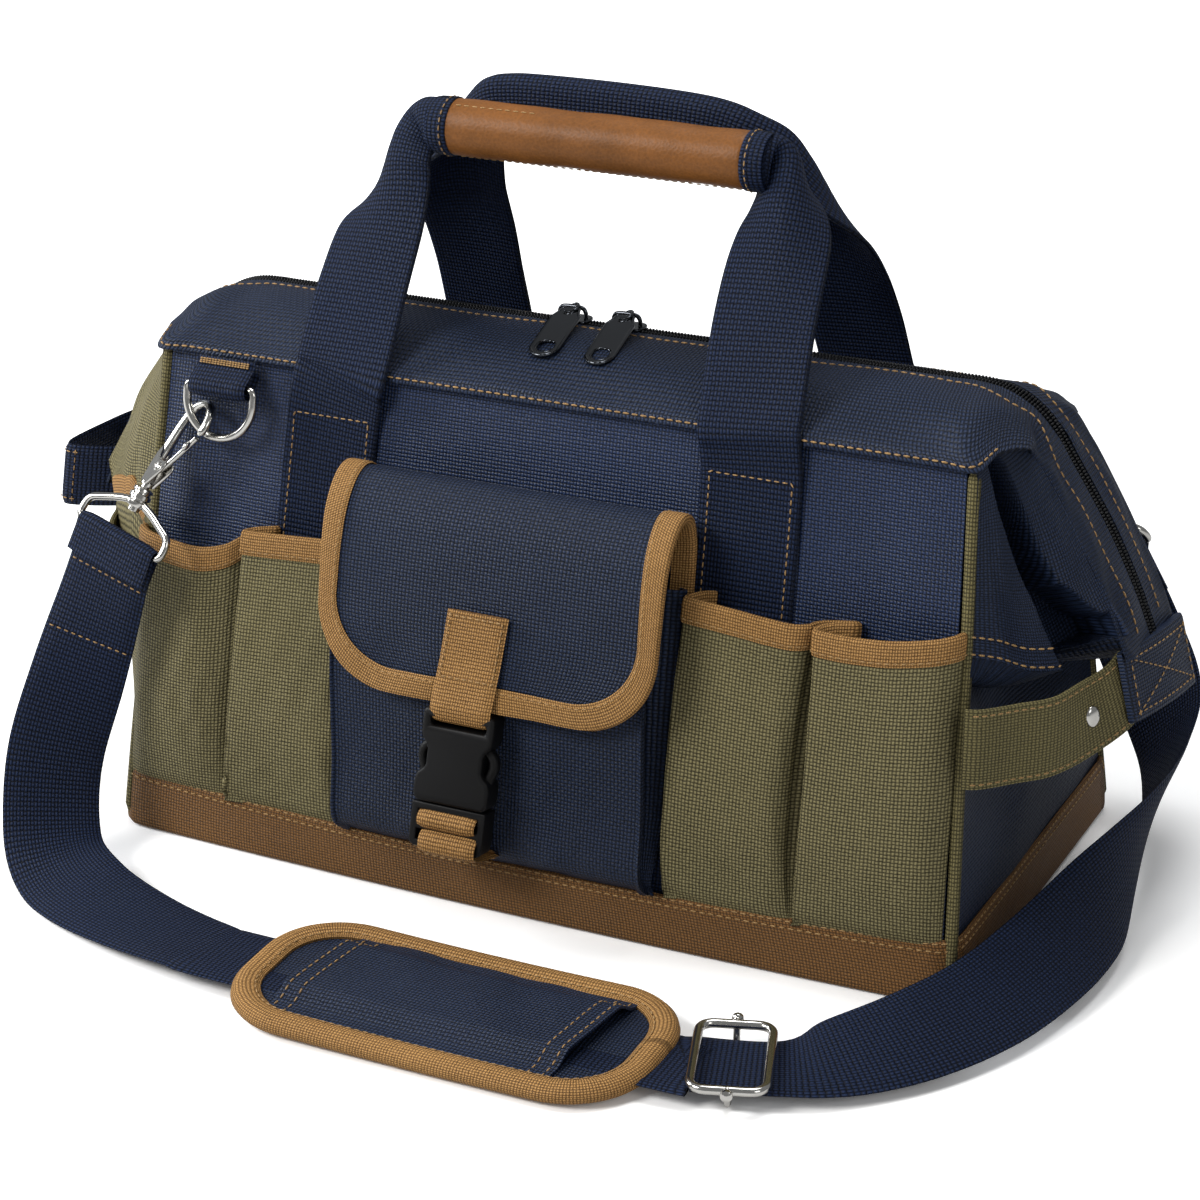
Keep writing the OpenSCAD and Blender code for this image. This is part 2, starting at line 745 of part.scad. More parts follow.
module buckle_socket() {
    inner_w = buckle_w - 2 * wall_b;
    color(black) on_front() translate([-buckle_x, 0, 0]) difference() {
        sheet(buckle_t, buckle_off + over) translate([0, socket_low]) socket_outline();
        translate([-inner_w / 2, -buckle_off - over - buckle_t + wall_b, socket_low - over])
            cube([inner_w, buckle_t - 2 * wall_b, socket_h * cavity_share + over]);
        translate([-buckle_web / 2 - play, -buckle_off - 3 * buckle_t, socket_top - slot_h])
            cube([buckle_web + 2 * play, 4 * buckle_t, slot_h - wall_b]);
        translate([-buckle_web / 2 - play, -tab_front - 2 * buckle_t, socket_top - slot_h])
            cube([buckle_web + 2 * play, 2 * buckle_t + play, slot_h + over]);
    }
}

// Two sprung prongs and the guide between them, inside the socket
module buckle_prongs() {
    t = buckle_t - 2 * wall_b - 2 * play;
    reach = socket_h * prong_share;
    x1 = buckle_w / 2 - wall_b - play;
    color(black) on_front() translate([-buckle_x, -buckle_off - over - wall_b - play - t, socket_low - over]) {
        both_sides() translate([x1 - prong_w, 0, 0]) cube([prong_w, t, reach]);
        translate([-prong_gap * 2, 0, 0]) cube([prong_gap * 4, t, reach * guide_share]);
    }
}

plug_h = 17;

// Plug frame with its ladder bars
module buckle_plug() {
    w = buckle_w;
    low = socket_low - over - seam - plug_h;
    rail = (w - buckle_web) / 2 - play;
    color(black) on_front() translate([-buckle_x, -buckle_off - over - buckle_t, 0]) difference() {
        translate([-w / 2, 0, low]) cube([w, buckle_t, plug_h]);
        for (row = [0, 1]) translate([-w / 2 + rail, -over, low + wall_b + row * (plug_h / 2 - wall_b / 2)])
            cube([w - 2 * rail, buckle_t + 2 * over, plug_h / 2 - 2 * wall_b]);
        translate([-w / 2 + rail, buckle_t / 2, low - over]) cube([w - 2 * rail, buckle_t, plug_h - wall_b + over]);
    }
}

// Webbing from the base band up behind the plug
module buckle_webbing() {
    y0 = -band_t - 2 * seam;
    y1 = -buckle_off - over - buckle_t / 2 + play;
    top = socket_low - over - plug_h / 2;
    low = band_h / 2;
    foot = pocket_z - 2 * seam - web_t;
    color(tan_tape) on_front() along_x(-buckle_x - buckle_web / 2, -buckle_x + buckle_web / 2)
        polygon([[y0, low], [y0, foot], [-box_foot - play, foot], [y1 + web_t, top], [y1, top],
            [-box_foot - play - web_t, foot - web_t], [y0 - web_t, foot - web_t], [y0 - web_t, low]]);
}

// Handles
anchor_low = pocket_z + pocket_h - 2 * tape_h + play;

module handle_anchors() {
    color(navy) for (side = [-1, 1]) {
        on_front() sheet(web_t, seam) translate([side * leg_x - web_w / 2, anchor_low])
            square([web_w, wall_h - anchor_low - hem_lap - 2 * web_t]);
        on_back() sheet(web_t, seam) translate([side * leg_x - web_w / 2, anchor_low])
            square([web_w, back_wall_h - anchor_low - hem_lap - 2 * web_t]);
    }
}

// Hinge line of a handle, just outside the hem
hinge_off = rim_t + web_t + 3 * play;
front_hinge = [0, -hem_y - hinge_off, hem_z];
back_hinge = [0, back_hem_y + hinge_off, back_hem_z];
leg_share = 0.5;
neck_w = 18;

module handle_web(hinge, grip) {
    rise = norm(grip - hinge);
    lean = atan2(grip[1] - hinge[1], grip[2] - hinge[2]);
    top = rise - grip_d / 2 - play;
    top_x = grip_l / 2;
    w = web_w / 2;
    translate(hinge) rotate([-lean, 0, 0]) both_sides()
        translate([0, web_t / 2, 0]) rotate([90, 0, 0]) linear_extrude(web_t)
            polygon([[leg_x - w, -web_t], [leg_x + w, -web_t], [leg_x + w, top * leg_share / 2],
                [leg_x + w - neck_w / 4, top * leg_share], [top_x + neck_w / 2, rise],
                [top_x + seam, rise], [top_x + seam, rise - grip_d / 2], [top_x - neck_w / 2, top],
                [leg_x - w - neck_w / 8, top * leg_share], [leg_x - w, top * leg_share / 2]]);
}

module front_handle_web() {
    color(navy) handle_web(front_hinge, [0, -grip_y, grip_z]);
}

module back_handle_web() {
    color(navy) handle_web(back_hinge, [0, back_grip_y, back_grip_z]);
}

module front_grip_core() {
    color(navy) translate([-grip_l / 2, -grip_y, grip_z]) rotate([0, 90, 0])
        cylinder(d = grip_d - 2 * wrap_t - 2 * seam, h = grip_l);
}

module front_grip_wrap() {
    color(leather) translate([-wrap_l / 2, -grip_y, grip_z]) rotate([0, 90, 0]) difference() {
        cylinder(d = grip_d, h = wrap_l);
        translate([0, 0, -over]) cylinder(d = grip_d - 2 * wrap_t, h = wrap_l + 2 * over);
    }
}

module back_grip() {
    color(navy) translate([-grip_l / 2, back_grip_y, back_grip_z]) rotate([0, 90, 0])
        cylinder(d = grip_d, h = grip_l);
}

// Rings and hooks, built in wall space at the front left and turned half round for the back right
ring_off = 9;
ring_drop = 10;
ring_z = wall_h - hem_lap - ring_drop;
ring_side = 5;
back_shift = back_wall_h - wall_h;

// Moves its children to the front left, or to its opposite at the back right
module at_ring(front) {
    if (front) on_front() children();
    else rotate([0, 0, 180]) translate([0, -half_d, 0]) rotate([-back_lean, 0, 0])
        translate([0, 0, back_shift]) children();
}

// Webbing loop that holds a D-ring's bar
module ring_loop() {
    r_in = ring_wire / 2 + play;
    w = ring_w - 2 * play;
    top = wall_h - hem_lap - web_t;
    translate([-ring_x - w / 2, -ring_off, ring_z]) rotate([0, 90, 0]) difference() {
        cylinder(r = r_in + web_t, h = w);
        translate([0, 0, -over]) cylinder(r = r_in, h = w + 2 * over);
    }
    translate([0, -seam, 0]) rotate([90, 0, 0]) linear_extrude(web_t)
        translate([-ring_x - w / 2, ring_z - r_in]) square([w, top - ring_z + r_in]);
    translate([-ring_x - w / 2, -ring_off + r_in, ring_z - web_t]) cube([w, ring_off - r_in - seam, web_t]);
}

module ring_loops() {
    color(navy) {
        at_ring(true) ring_loop();
        at_ring(false) ring_loop();
    }
}

module d_ring() {
    half = ring_w / 2 + ring_wire / 2;
    r = ring_wire / 2;
    color(silver) translate([-ring_x, -ring_off, ring_z]) {
        bar([-half, 0, 0], [half, 0, 0], r);
        for (side = [-1, 1]) {
            bar([side * half, 0, 0], [side * half, 0, -ring_side], r);
            translate([side * half, 0, 0]) sphere(r);
        }
        translate([0, 0, -ring_side]) rotate([90, 0, 0]) rotate([0, 0, 180])
            rotate_extrude(angle = 180) translate([half, 0]) circle(r);
    }
}

// Frame of the hook: its swivel end, in wall space
hook_tilt = 29;
hook_turn = 32;
link_x = ring_x + (ring_w + ring_wire) / 2 * cos(45);
link_z = ring_z - ring_side - (ring_w + ring_wire) / 2 * sin(45);
// The hooks lean out over the mouths of the pockets below them
front_swing = atan(pocket_bulge / (link_z - pocket_z - pocket_h));
back_swing = atan((pocket_bulge - play) / (link_z + back_shift - pocket_z - pocket_h + tape_h));

// Moves its children from the hook's own frame, with its swivel at the origin and its bend at
// the top, to the ring that it hangs from; swing takes its lower end out over the pockets
module at_link(front, tilt, turn = 0) {
    at_ring(front) translate([-link_x, -ring_off, link_z]) rotate([front ? -front_swing : -back_swing, 0, 0])
        rotate([0, hook_tilt, 0]) rotate([0, 0, -turn]) translate([0, 0, -hook_l])
            rotate([0, tilt - hook_tilt, 0]) children();
}

// Pear-shaped hook with its flat blade
blade_w = 11;
blade_t = 5;
blade_low = 2.4;
blade_high = 14;
gate_x = 2;
gate_z = 10;
gate_r = 1.1;
gate_play = 0.15;
cheek = (blade_t - 2 * gate_r) / 2 - gate_play;
rivet_pin_r = 0.7;

module hook() {
    r = hook_wire / 2;
    wall = blade_w / 4;
    color(silver) difference() {
        union() {
            translate([0, 0, hook_l]) rotate([90, 0, 0]) rotate_extrude(angle = 180) translate([hook_r, 0]) circle(r);
            bar([wall / 2 - blade_w / 2, 0, blade_high - r], [-hook_r, 0, hook_l], r);
            translate([hook_r, 0, hook_l]) sphere(r);
            translate([-blade_w / 2, -blade_t / 2, blade_low]) cube([blade_w, blade_t, blade_high - blade_low]);
            translate([0, 0, 2 * play]) cylinder(r = r, h = blade_low);
        }
        translate([wall - blade_w / 2, -gate_r - gate_play, gate_z - 3 * gate_r])
            cube([blade_w, 2 * (gate_r + gate_play), blade_high]);
        translate([gate_x, blade_t, gate_z]) rotate([90, 0, 0]) cylinder(r = rivet_pin_r + seam, h = 2 * blade_t);
    }
}

// Sprung gate with its thumb lever and its pin, closing the open side of the hook
lever_l = 9;
lever_share = 0.75;
lever_rise_share = 0.1;

module hook_gate() {
    r = gate_r;
    nose = [hook_r, 0, hook_l - hook_wire / 2 - r - play];
    pivot = [gate_x, 0, gate_z];
    grip = pivot * (1 - lever_share) + nose * lever_share;
    tip = grip + lever_l * [cos(hook_turn), -sin(hook_turn), lever_rise_share];
    color(silver) {
        bar(pivot - (nose - pivot) * gate_tail_share, nose, r);
        bar(grip, tip, r * lever_slim_share);
        translate(pivot + [0, blade_t / 2, 0]) rotate([90, 0, 0]) cylinder(r = rivet_pin_r, h = blade_t);
    }
}
gate_tail_share = 0.06;
lever_slim_share = 0.9;

// Swivel: barrel under the hook and the wide loop that carries the strap
loop_tilt = 17;
loop_h = 14;

module swivel() {
    r = loop_wire / 2;
    w = loop_w / 2 + r;
    neck = barrel_d;
    color(silver) {
        translate([0, 0, -neck]) cylinder(d = barrel_d, h = neck);
        bar([-w, 0, -neck - loop_h / 2], [-barrel_d / 3, 0, -neck + r], r);
        bar([w, 0, -neck - loop_h / 2], [barrel_d / 3, 0, -neck + r], r);
        for (side = [-1, 1]) {
            translate([side * w, 0, -neck - loop_h / 2]) sphere(r);
            bar([side * w, 0, -neck - loop_h / 2], [side * w, 0, -neck - loop_h], r);
            translate([side * w, 0, -neck - loop_h]) sphere(r);
        }
        bar([-w, 0, -neck - loop_h], [w, 0, -neck - loop_h], r);
    }
}

function turned_x(p, a) = [p[0], p[1] * cos(a) - p[2] * sin(a), p[1] * sin(a) + p[2] * cos(a)];
function turned_y(p, a) = [p[0] * cos(a) + p[2] * sin(a), p[1], p[2] * cos(a) - p[0] * sin(a)];

// Middle of a swivel's strap bar, by the same turns as in at_link
function loop_bar(front) = let (own = turned_y([0, 0, -barrel_d - loop_h], loop_tilt - hook_tilt),
    link = turned_x(turned_y(own - [0, 0, hook_l], hook_tilt), front ? -front_swing : -back_swing),
    wall = link + [-link_x, -ring_off, link_z + (front ? 0 : back_shift)],
    bag = turned_x(wall, front ? -front_lean : -back_lean) - [0, half_d, 0])
    front ? bag : [-bag[0], -bag[1], bag[2]];

// Way from the bar to the strap's end, which lies against it
front_lap = [-0.4, -0.3, -1.9];
back_lap = [0.4, 0.5, -1.8];

// Shoulder strap: each row is a point of the route and the direction of the strap's width there
strap_middle = [
    [-176, -105, 101, 0.95, 0, -0.25],
    [-183, -113, 72, 0.9, 0.3, -0.2],
    [-188, -124, 43, 0.75, 0.6, 0],
    [-184, -136, 21, 0.5, 0.8, 0.2],
    [-172, -150, 9, 0.2, 0.9, 0.35],
    [-150, -164, 6.5, 0, 0.95, 0.25],
    [-120, -174, 5.5, 0, 0.98, 0.1],
    [-90, -180, 5.5, 0, 1, 0],
    [-64, -182, 5.5, 0, 1, 0],
    [104, -182, 5.5, 0, 1, 0],
    [110, -180, 5.5, -0.3, 0.94, 0],
    [142, -169, 5.5, -0.33, 0.94, 0],
    [160, -159, 9, -0.5, 0.8, 0.25],
    [180, -138, 12, -0.7, 0.6, 0.4],
    [196, -108, 14, -0.85, 0.4, 0.5],
    [206, -74, 17, -0.8, 0.2, 0.6],
    [212, -42, 21, -0.6, 0.2, 0.8],
    [215, -12, 26, -0.2, 0.1, 0.95],
    [216, 20, 33, 0.2, -0.15, 0.97],
    [214, 46, 40, 0.45, -0.1, 0.9],
    [208, 72, 46, 0.6, 0, 0.8],
    [197, 92, 57, 0.8, 0.1, 0.6],
    [184, 104, 73, 0.86, 0.1, 0.5],
    [174.7, 103.7, 92.5, 0.93, 0, 0.35]];
strap_route = concat([concat(loop_bar(true) + front_lap, [0.956, -0.148, -0.252])], strap_middle,
    [concat(loop_bar(false) + back_lap, [0.956, -0.189, 0.223])]);

function unit(v) = v / norm(v);
function place(r) = [r[0], r[1], r[2]];
function along(i) = let (n = len(strap_route))
    unit(place(strap_route[min(i + 1, n - 1)]) - place(strap_route[max(i - 1, 0)]));
function across(i) = let (t = along(i), w = [strap_route[i][3], strap_route[i][4], strap_route[i][5]])
    unit(w - t * (w * t));

// Flat section with eight sides
function strap_ring(i) = let (p = place(strap_route[i]), w = across(i), n = cross(along(i), w),
        a = strap_w / 2, b = strap_t / 2)
    [for (c = [[a, -b / 2], [a, b / 2], [a - b, b], [b - a, b], [-a, b / 2], [-a, -b / 2], [b - a, -b], [a - b, -b]])
        p + c[0] * w + c[1] * n];

module shoulder_strap() {
    rings = len(strap_route);
    sides = 8;
    points = [for (i = [0:rings - 1]) each strap_ring(i)];
    skin = [for (i = [0:rings - 2]) for (j = [0:sides - 1])
        let (a = i * sides + j, b = i * sides + (j + 1) % sides)
        each [[a, b, a + sides], [b, b + sides, a + sides]]];
    caps = [[for (j = [sides - 1:-1:0]) j], [for (j = [0:sides - 1]) (rings - 1) * sides + j]];
    color(navy) polyhedron(points, concat(skin, caps));
}

pad_x = 20;
pad_y = -182;
strap_z = 5.5;
pad_under_share = 0.62;

module shoulder_pad() {
    corner = pad_w / 4;
    color(navy) difference() {
        translate([pad_x, pad_y, strap_z - strap_t / 2 - play - (pad_t - strap_t - 2 * play) * pad_under_share])
            linear_extrude(pad_t) pad_outline(corner);
        translate([pad_x - pad_l, pad_y - strap_w / 2 - play, strap_z - strap_t / 2 - play])
            cube([2 * pad_l, strap_w + 2 * play, strap_t + 2 * play]);
    }
}

module pad_outline(c) {
    a = pad_l / 2;
    b = pad_w / 2;
    polygon([[-a + c, -b], [a - c, -b], [a, c - b], [a, b - c], [a - c, b], [c - a, b], [-a, b - c], [-a, c - b]]);
}

// Wire adjuster: a ring over the strap and a bar under it
adjust_x = 126;
adjust_y = -174.5;
adjust_turn = 19;

module strap_adjuster() {
    r = adjust_wire / 2;
    a = adjust_l / 2 - r;
    b = strap_w / 2 + play + 2 * r;
    up = strap_z + strap_t / 2 + r + 2 * play;
    low = strap_z - strap_t / 2 - r - 2 * play;
    color(silver) translate([adjust_x, adjust_y, 0]) rotate([0, 0, adjust_turn]) {
        for (side = [-1, 1]) {
            bar([side * a, -b, up], [side * a, b, up], r);
            bar([-a, side * b, up], [a, side * b, up], r);
            bar([0, side * b, low], [0, side * b, up], r);
            translate([0, side * b, low]) sphere(r);
            for (end = [-1, 1]) translate([end * a, side * b, up]) sphere(r);
        }
        bar([0, -b, low], [0, b, low], r);
    }
}

base_floor();
base_band();
base_board();
front_panel();
back_panel();
color(olive) mirror([1, 0, 0]) end_panel();  // left_end_panel
color(navy) end_panel();  // right_end_panel
color(olive) mirror([1, 0, 0]) gusset();  // left_gusset
color(navy) gusset();  // right_gusset
front_top_band();
back_top_band();
color(silver) frame_rod(-1, rim_w - rod_d);  // front_frame_rod
color(silver) frame_rod(1, back_rim_w);  // back_frame_rod
corner_piping();
zip_half_piece(-1);  // front_zip_half
zip_half_piece(1);  // back_zip_half
translate([-left_slider_x, 0, 0]) slider_body();  // left_slider
translate([right_slider_x, 0, 0]) slider_body();  // right_slider
translate([-left_slider_x, 0, 0]) pull();  // left_pull
translate([right_slider_x, 0, 0]) pull();  // right_pull
mirror([1, 0, 0]) zip_tab();  // left_zip_tab
zip_tab();  // right_zip_tab
end_straps();
end_strap_rivets();
left_end_pocket();
front_left_pockets();
color(tan_tape) on_front()  // front_left_binding
    mouth_tape(left_edges, pocket_z + pocket_h, pocket_bulge);
front_right_pockets();
color(tan_tape) on_front()  // front_right_binding
    mouth_tape(right_edges, pocket_z + pocket_h, pocket_bulge);
back_pockets();
color(tan_tape) on_back()  // back_binding
    mouth_tape(back_edges, pocket_z + pocket_h - tape_h, pocket_bulge);
flap_pocket();
flap();
flap_binding();
flap_tab();
buckle_socket();
buckle_plug();
buckle_prongs();
buckle_webbing();
handle_anchors();
front_handle_web();
front_grip_core();
front_grip_wrap();
back_handle_web();
back_grip();
ring_loops();
at_ring(true) d_ring();  // front_d_ring
at_ring(false) d_ring();  // back_d_ring
at_link(true, hook_tilt, hook_turn) hook();  // front_hook
at_link(true, hook_tilt, hook_turn) hook_gate();  // front_hook_gate
at_link(true, loop_tilt) swivel();  // front_swivel
at_link(false, hook_tilt, hook_turn) hook();  // back_hook
at_link(false, hook_tilt, hook_turn) hook_gate();  // back_hook_gate
at_link(false, loop_tilt) swivel();  // back_swivel
shoulder_strap();
shoulder_pad();
strap_adjuster();
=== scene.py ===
"""Wide-mouth tool bag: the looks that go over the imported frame. Metres in Blender, millimetres in the tables."""
import json
import math

import bmesh
import bpy
import numpy as np
from mathutils import Matrix, Vector

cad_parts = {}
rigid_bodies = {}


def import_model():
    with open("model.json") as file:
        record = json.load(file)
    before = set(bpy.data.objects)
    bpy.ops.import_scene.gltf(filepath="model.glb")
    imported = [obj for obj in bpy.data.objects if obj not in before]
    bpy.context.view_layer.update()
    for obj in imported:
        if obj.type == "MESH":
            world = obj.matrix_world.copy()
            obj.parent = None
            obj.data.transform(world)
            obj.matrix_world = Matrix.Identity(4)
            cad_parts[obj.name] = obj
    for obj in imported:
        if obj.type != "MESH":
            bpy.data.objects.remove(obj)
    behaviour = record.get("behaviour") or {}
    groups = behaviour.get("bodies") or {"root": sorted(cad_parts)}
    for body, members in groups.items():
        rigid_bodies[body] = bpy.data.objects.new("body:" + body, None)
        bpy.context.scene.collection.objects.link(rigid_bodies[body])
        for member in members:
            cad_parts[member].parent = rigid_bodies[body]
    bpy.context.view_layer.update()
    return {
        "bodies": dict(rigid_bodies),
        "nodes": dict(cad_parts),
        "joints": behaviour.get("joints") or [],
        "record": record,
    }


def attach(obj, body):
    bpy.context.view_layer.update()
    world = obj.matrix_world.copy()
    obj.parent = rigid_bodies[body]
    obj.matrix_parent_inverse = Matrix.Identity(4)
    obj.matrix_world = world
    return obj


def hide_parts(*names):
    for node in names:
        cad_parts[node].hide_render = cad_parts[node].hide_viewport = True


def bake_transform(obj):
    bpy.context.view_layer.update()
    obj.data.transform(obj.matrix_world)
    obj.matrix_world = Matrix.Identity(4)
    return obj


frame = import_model()

MM = 0.001
HALF_L, HALF_D = 178.0, 95.0
HEM_Z, HEM_Y, HEM_HALF = 198.0, 62.0, 168.0
BACK_HEM_Z, BACK_HEM_Y = 178.0, 50.0
ZIP_Y, ZIP_Z, ZIP_FLAT, ZIP_R = -8.5, 210.0, 150.0, 36.0
ZIP_SLOPE, ZIP_FALL = math.radians(57.0), 84.0
FRONT_LEAN = math.atan((HALF_D - HEM_Y) / HEM_Z)
BACK_LEAN = math.atan((HALF_D - BACK_HEM_Y) / BACK_HEM_Z)
END_LEAN = math.atan((HALF_L - HEM_HALF) / HEM_Z)


# ---------------------------------------------------------------- camera, lamps and floor

WORLD_SOFT = 0.26
FLOOR_FAR = 6.0
GLOW_NEAR, GLOW_FAR = 0.5, 1.3
SEEN_PALER = 0.52


def place_camera():
    data = bpy.data.cameras.new("view_camera")
    data.lens = 94.3
    data.sensor_width = 36.0
    data.sensor_fit = "HORIZONTAL"
    data.clip_start = 0.01
    camera = bpy.data.objects.new("view_camera", data)
    bpy.context.scene.collection.objects.link(camera)
    right = Vector((0.901798, 0.432158, 0.0))
    up = Vector((-0.162687, 0.339483, 0.926436))
    back = Vector((0.400367, -0.835458, 0.376451))
    turn = Matrix((right, up, back)).transposed().to_4x4()
    camera.matrix_world = Matrix.Translation(Vector((0.49575, -1.05227, 0.56682))) @ turn
    bpy.context.scene.camera = camera


def area_lamp(name, place, target, size, watts, shade=(1.0, 1.0, 1.0)):
    data = bpy.data.lights.new(name, "AREA")
    data.shape = "RECTANGLE"
    data.size, data.size_y = size
    data.energy = watts
    data.color = shade
    lamp = bpy.data.objects.new(name, data)
    bpy.context.scene.collection.objects.link(lamp)
    place, target = Vector(place), Vector(target)
    lamp.matrix_world = Matrix.Translation(place) @ (place - target).to_track_quat("Z", "Y").to_matrix().to_4x4()


def light_studio():
    bpy.context.scene.view_settings.view_transform = "Standard"
    world = bpy.data.worlds.new("studio")
    bpy.context.scene.world = world
    world.use_nodes = True
    world.node_tree.nodes.clear()
    n = Nodes(world.node_tree)
    soft = n.put("ShaderNodeBackground", {"Color": (0.96, 0.98, 1.0, 1.0), "Strength": WORLD_SOFT})
    plain = n.put("ShaderNodeBackground", {"Color": (1.0, 1.0, 1.0, 1.0)})
    mix = n.put("ShaderNodeMixShader", {0: n.seen(), 1: soft, 2: plain})
    n.put("ShaderNodeOutputWorld", {0: mix}, out=None)
    area_lamp("key_lamp", (-1.1, -1.5, 1.5), (0.0, 0.0, 0.1), (0.9, 0.8), 36.0, (1.0, 0.985, 0.96))
    area_lamp("left_lamp", (-1.5, -0.25, 0.75), (-0.1, 0.0, 0.12), (0.5, 0.8), 17.0, (0.93, 0.96, 1.0))
    area_lamp("right_lamp", (1.5, -0.9, 1.0), (0.1, 0.0, 0.12), (0.7, 0.8), 5.0)
    area_lamp("top_lamp", (0.1, 0.35, 1.8), (0.0, 0.0, 0.1), (0.9, 0.9), 16.0)


def lay_floor():
    """A pale floor: white to the camera away from the bag, and shaded where the bag and the strap stand on it."""
    mesh = bpy.data.meshes.new("floor")
    mesh.from_pydata([(x * FLOOR_FAR, y * FLOOR_FAR, -0.0002) for x, y in ((-1, -1), (1, -1), (1, 1), (-1, 1))],
                     [], [(0, 1, 2, 3)])
    floor = bpy.data.objects.new("floor", mesh)
    bpy.context.scene.collection.objects.link(floor)
    material = bpy.data.materials.new("pale_floor")
    material.use_nodes = True
    material.node_tree.nodes.clear()
    n = Nodes(material.node_tree)
    seen = n.seen()
    place = n.put("ShaderNodeNewGeometry", out="Position")
    reach = n.put("ShaderNodeVectorMath", {0: place}, out="Value", operation="LENGTH")
    rise = n.put("ShaderNodeMapRange", {"Value": reach, "From Min": GLOW_NEAR, "From Max": GLOW_FAR, "To Min": 0.04,
                                        "To Max": 1.0}, interpolation_type="SMOOTHSTEP")
    matte = n.put("ShaderNodeBsdfDiffuse", {"Color": (0.7, 0.7, 0.7, 1.0)})
    paler = n.put("ShaderNodeBsdfDiffuse", {"Color": n.math("MULTIPLY", seen, SEEN_PALER)})
    glow = n.put("ShaderNodeEmission", {"Color": (1.0, 1.0, 1.0, 1.0), "Strength": n.math("MULTIPLY", seen, rise)})
    pair = n.put("ShaderNodeAddShader", {0: matte, 1: paler})
    n.put("ShaderNodeOutputMaterial", {0: n.put("ShaderNodeAddShader", {0: pair, 1: glow})}, out=None)
    mesh.materials.append(material)


# ---------------------------------------------------------------- node groups and finishes

def group_socket(group, name, kind, way="INPUT", value=None):
    socket = group.interface.new_socket(name=name, in_out=way, socket_type=kind)
    if value is not None:
        socket.default_value = value
    return socket


class Nodes:
    """Short way to build a node tree: each call adds a node and returns its first output."""

    def __init__(self, tree):
        self.tree = tree

    def put(self, kind, inputs=None, out=0, **settings):
        node = self.tree.nodes.new(kind)
        for key, value in settings.items():
            setattr(node, key, value)
        for key, value in (inputs or {}).items():
            if isinstance(value, bpy.types.NodeSocket):
                self.tree.links.new(value, node.inputs[key])
            else:
                node.inputs[key].default_value = value
        return None if out is None else node.outputs[out]

    def seen(self):
        """1 where the camera looks, also through glass; 0 for all other light."""
        paths = self.tree.nodes.new("ShaderNodeLightPath")
        return self.math("MAXIMUM", paths.outputs["Is Camera Ray"], paths.outputs["Is Transmission Ray"])

    def math(self, operation, a, b=0.0, clamp=False):
        return self.put("ShaderNodeMath", {0: a, 1: b}, operation=operation, use_clamp=clamp)

    def mix(self, factor, a, b):
        node = self.tree.nodes.new("ShaderNodeMix")
        node.data_type = "RGBA"
        self._set(node.inputs["Factor"], factor)
        for socket in node.inputs:
            if socket.type == "RGBA" and socket.identifier.startswith("A"):
                self._set(socket, a)
            if socket.type == "RGBA" and socket.identifier.startswith("B"):
                self._set(socket, b)
        return [s for s in node.outputs if s.type == "RGBA"][0]

    def _set(self, socket, value):
        if isinstance(value, bpy.types.NodeSocket):
            self.tree.links.new(value, socket)
        elif socket.type == "RGBA" and not isinstance(value, float):
            socket.default_value = (*value[:3], 1.0)
        elif socket.type == "VALUE" and isinstance(value, float):
            socket.default_value = value


def weave_group():
    """Plain weave over a flat vector in metres: height of the threads and a mask of warp and weft."""
    group = bpy.data.node_groups.new("weave", "ShaderNodeTree")
    group_socket(group, "Vector", "NodeSocketVector")
    group_socket(group, "Warp Pitch", "NodeSocketFloat", value=0.0011)
    group_socket(group, "Weft Pitch", "NodeSocketFloat", value=0.0011)
    group_socket(group, "Unevenness", "NodeSocketFloat", value=0.25)
    group_socket(group, "Height", "NodeSocketFloat", "OUTPUT")
    group_socket(group, "Warp", "NodeSocketFloat", "OUTPUT")
    n = Nodes(group)
    inside = group.nodes.new("NodeGroupInput")
    outside = group.nodes.new("NodeGroupOutput")
    wander = n.put("ShaderNodeTexNoise", {"Vector": inside.outputs["Vector"], "Scale": 260.0, "Detail": 1.0})
    drift = n.math("MULTIPLY", n.math("SUBTRACT", wander, 0.5), inside.outputs["Unevenness"])
    split = group.nodes.new("ShaderNodeSeparateXYZ")
    group.links.new(inside.outputs["Vector"], split.inputs[0])
    u = n.math("ADD", n.math("DIVIDE", split.outputs[0], inside.outputs["Warp Pitch"]), drift)
    v = n.math("ADD", n.math("DIVIDE", split.outputs[1], inside.outputs["Weft Pitch"]), drift)
    parity = n.math("FLOORED_MODULO", n.math("ADD", n.math("FLOOR", u), n.math("FLOOR", v)), 2.0)
    round_u = n.math("SINE", n.math("MULTIPLY", n.math("FRACT", u), math.pi))
    round_v = n.math("SINE", n.math("MULTIPLY", n.math("FRACT", v), math.pi))
    over = n.math("MULTIPLY", round_u, n.math("ADD", n.math("MULTIPLY", round_v, 0.6), 0.4))
    under = n.math("MULTIPLY", round_v, n.math("ADD", n.math("MULTIPLY", round_u, 0.6), 0.4))
    a = n.math("MULTIPLY", over, parity)
    b = n.math("MULTIPLY", under, n.math("SUBTRACT", 1.0, parity))
    group.links.new(n.math("ADD", a, b), outside.inputs["Height"])
    group.links.new(parity, outside.inputs["Warp"])
    return group


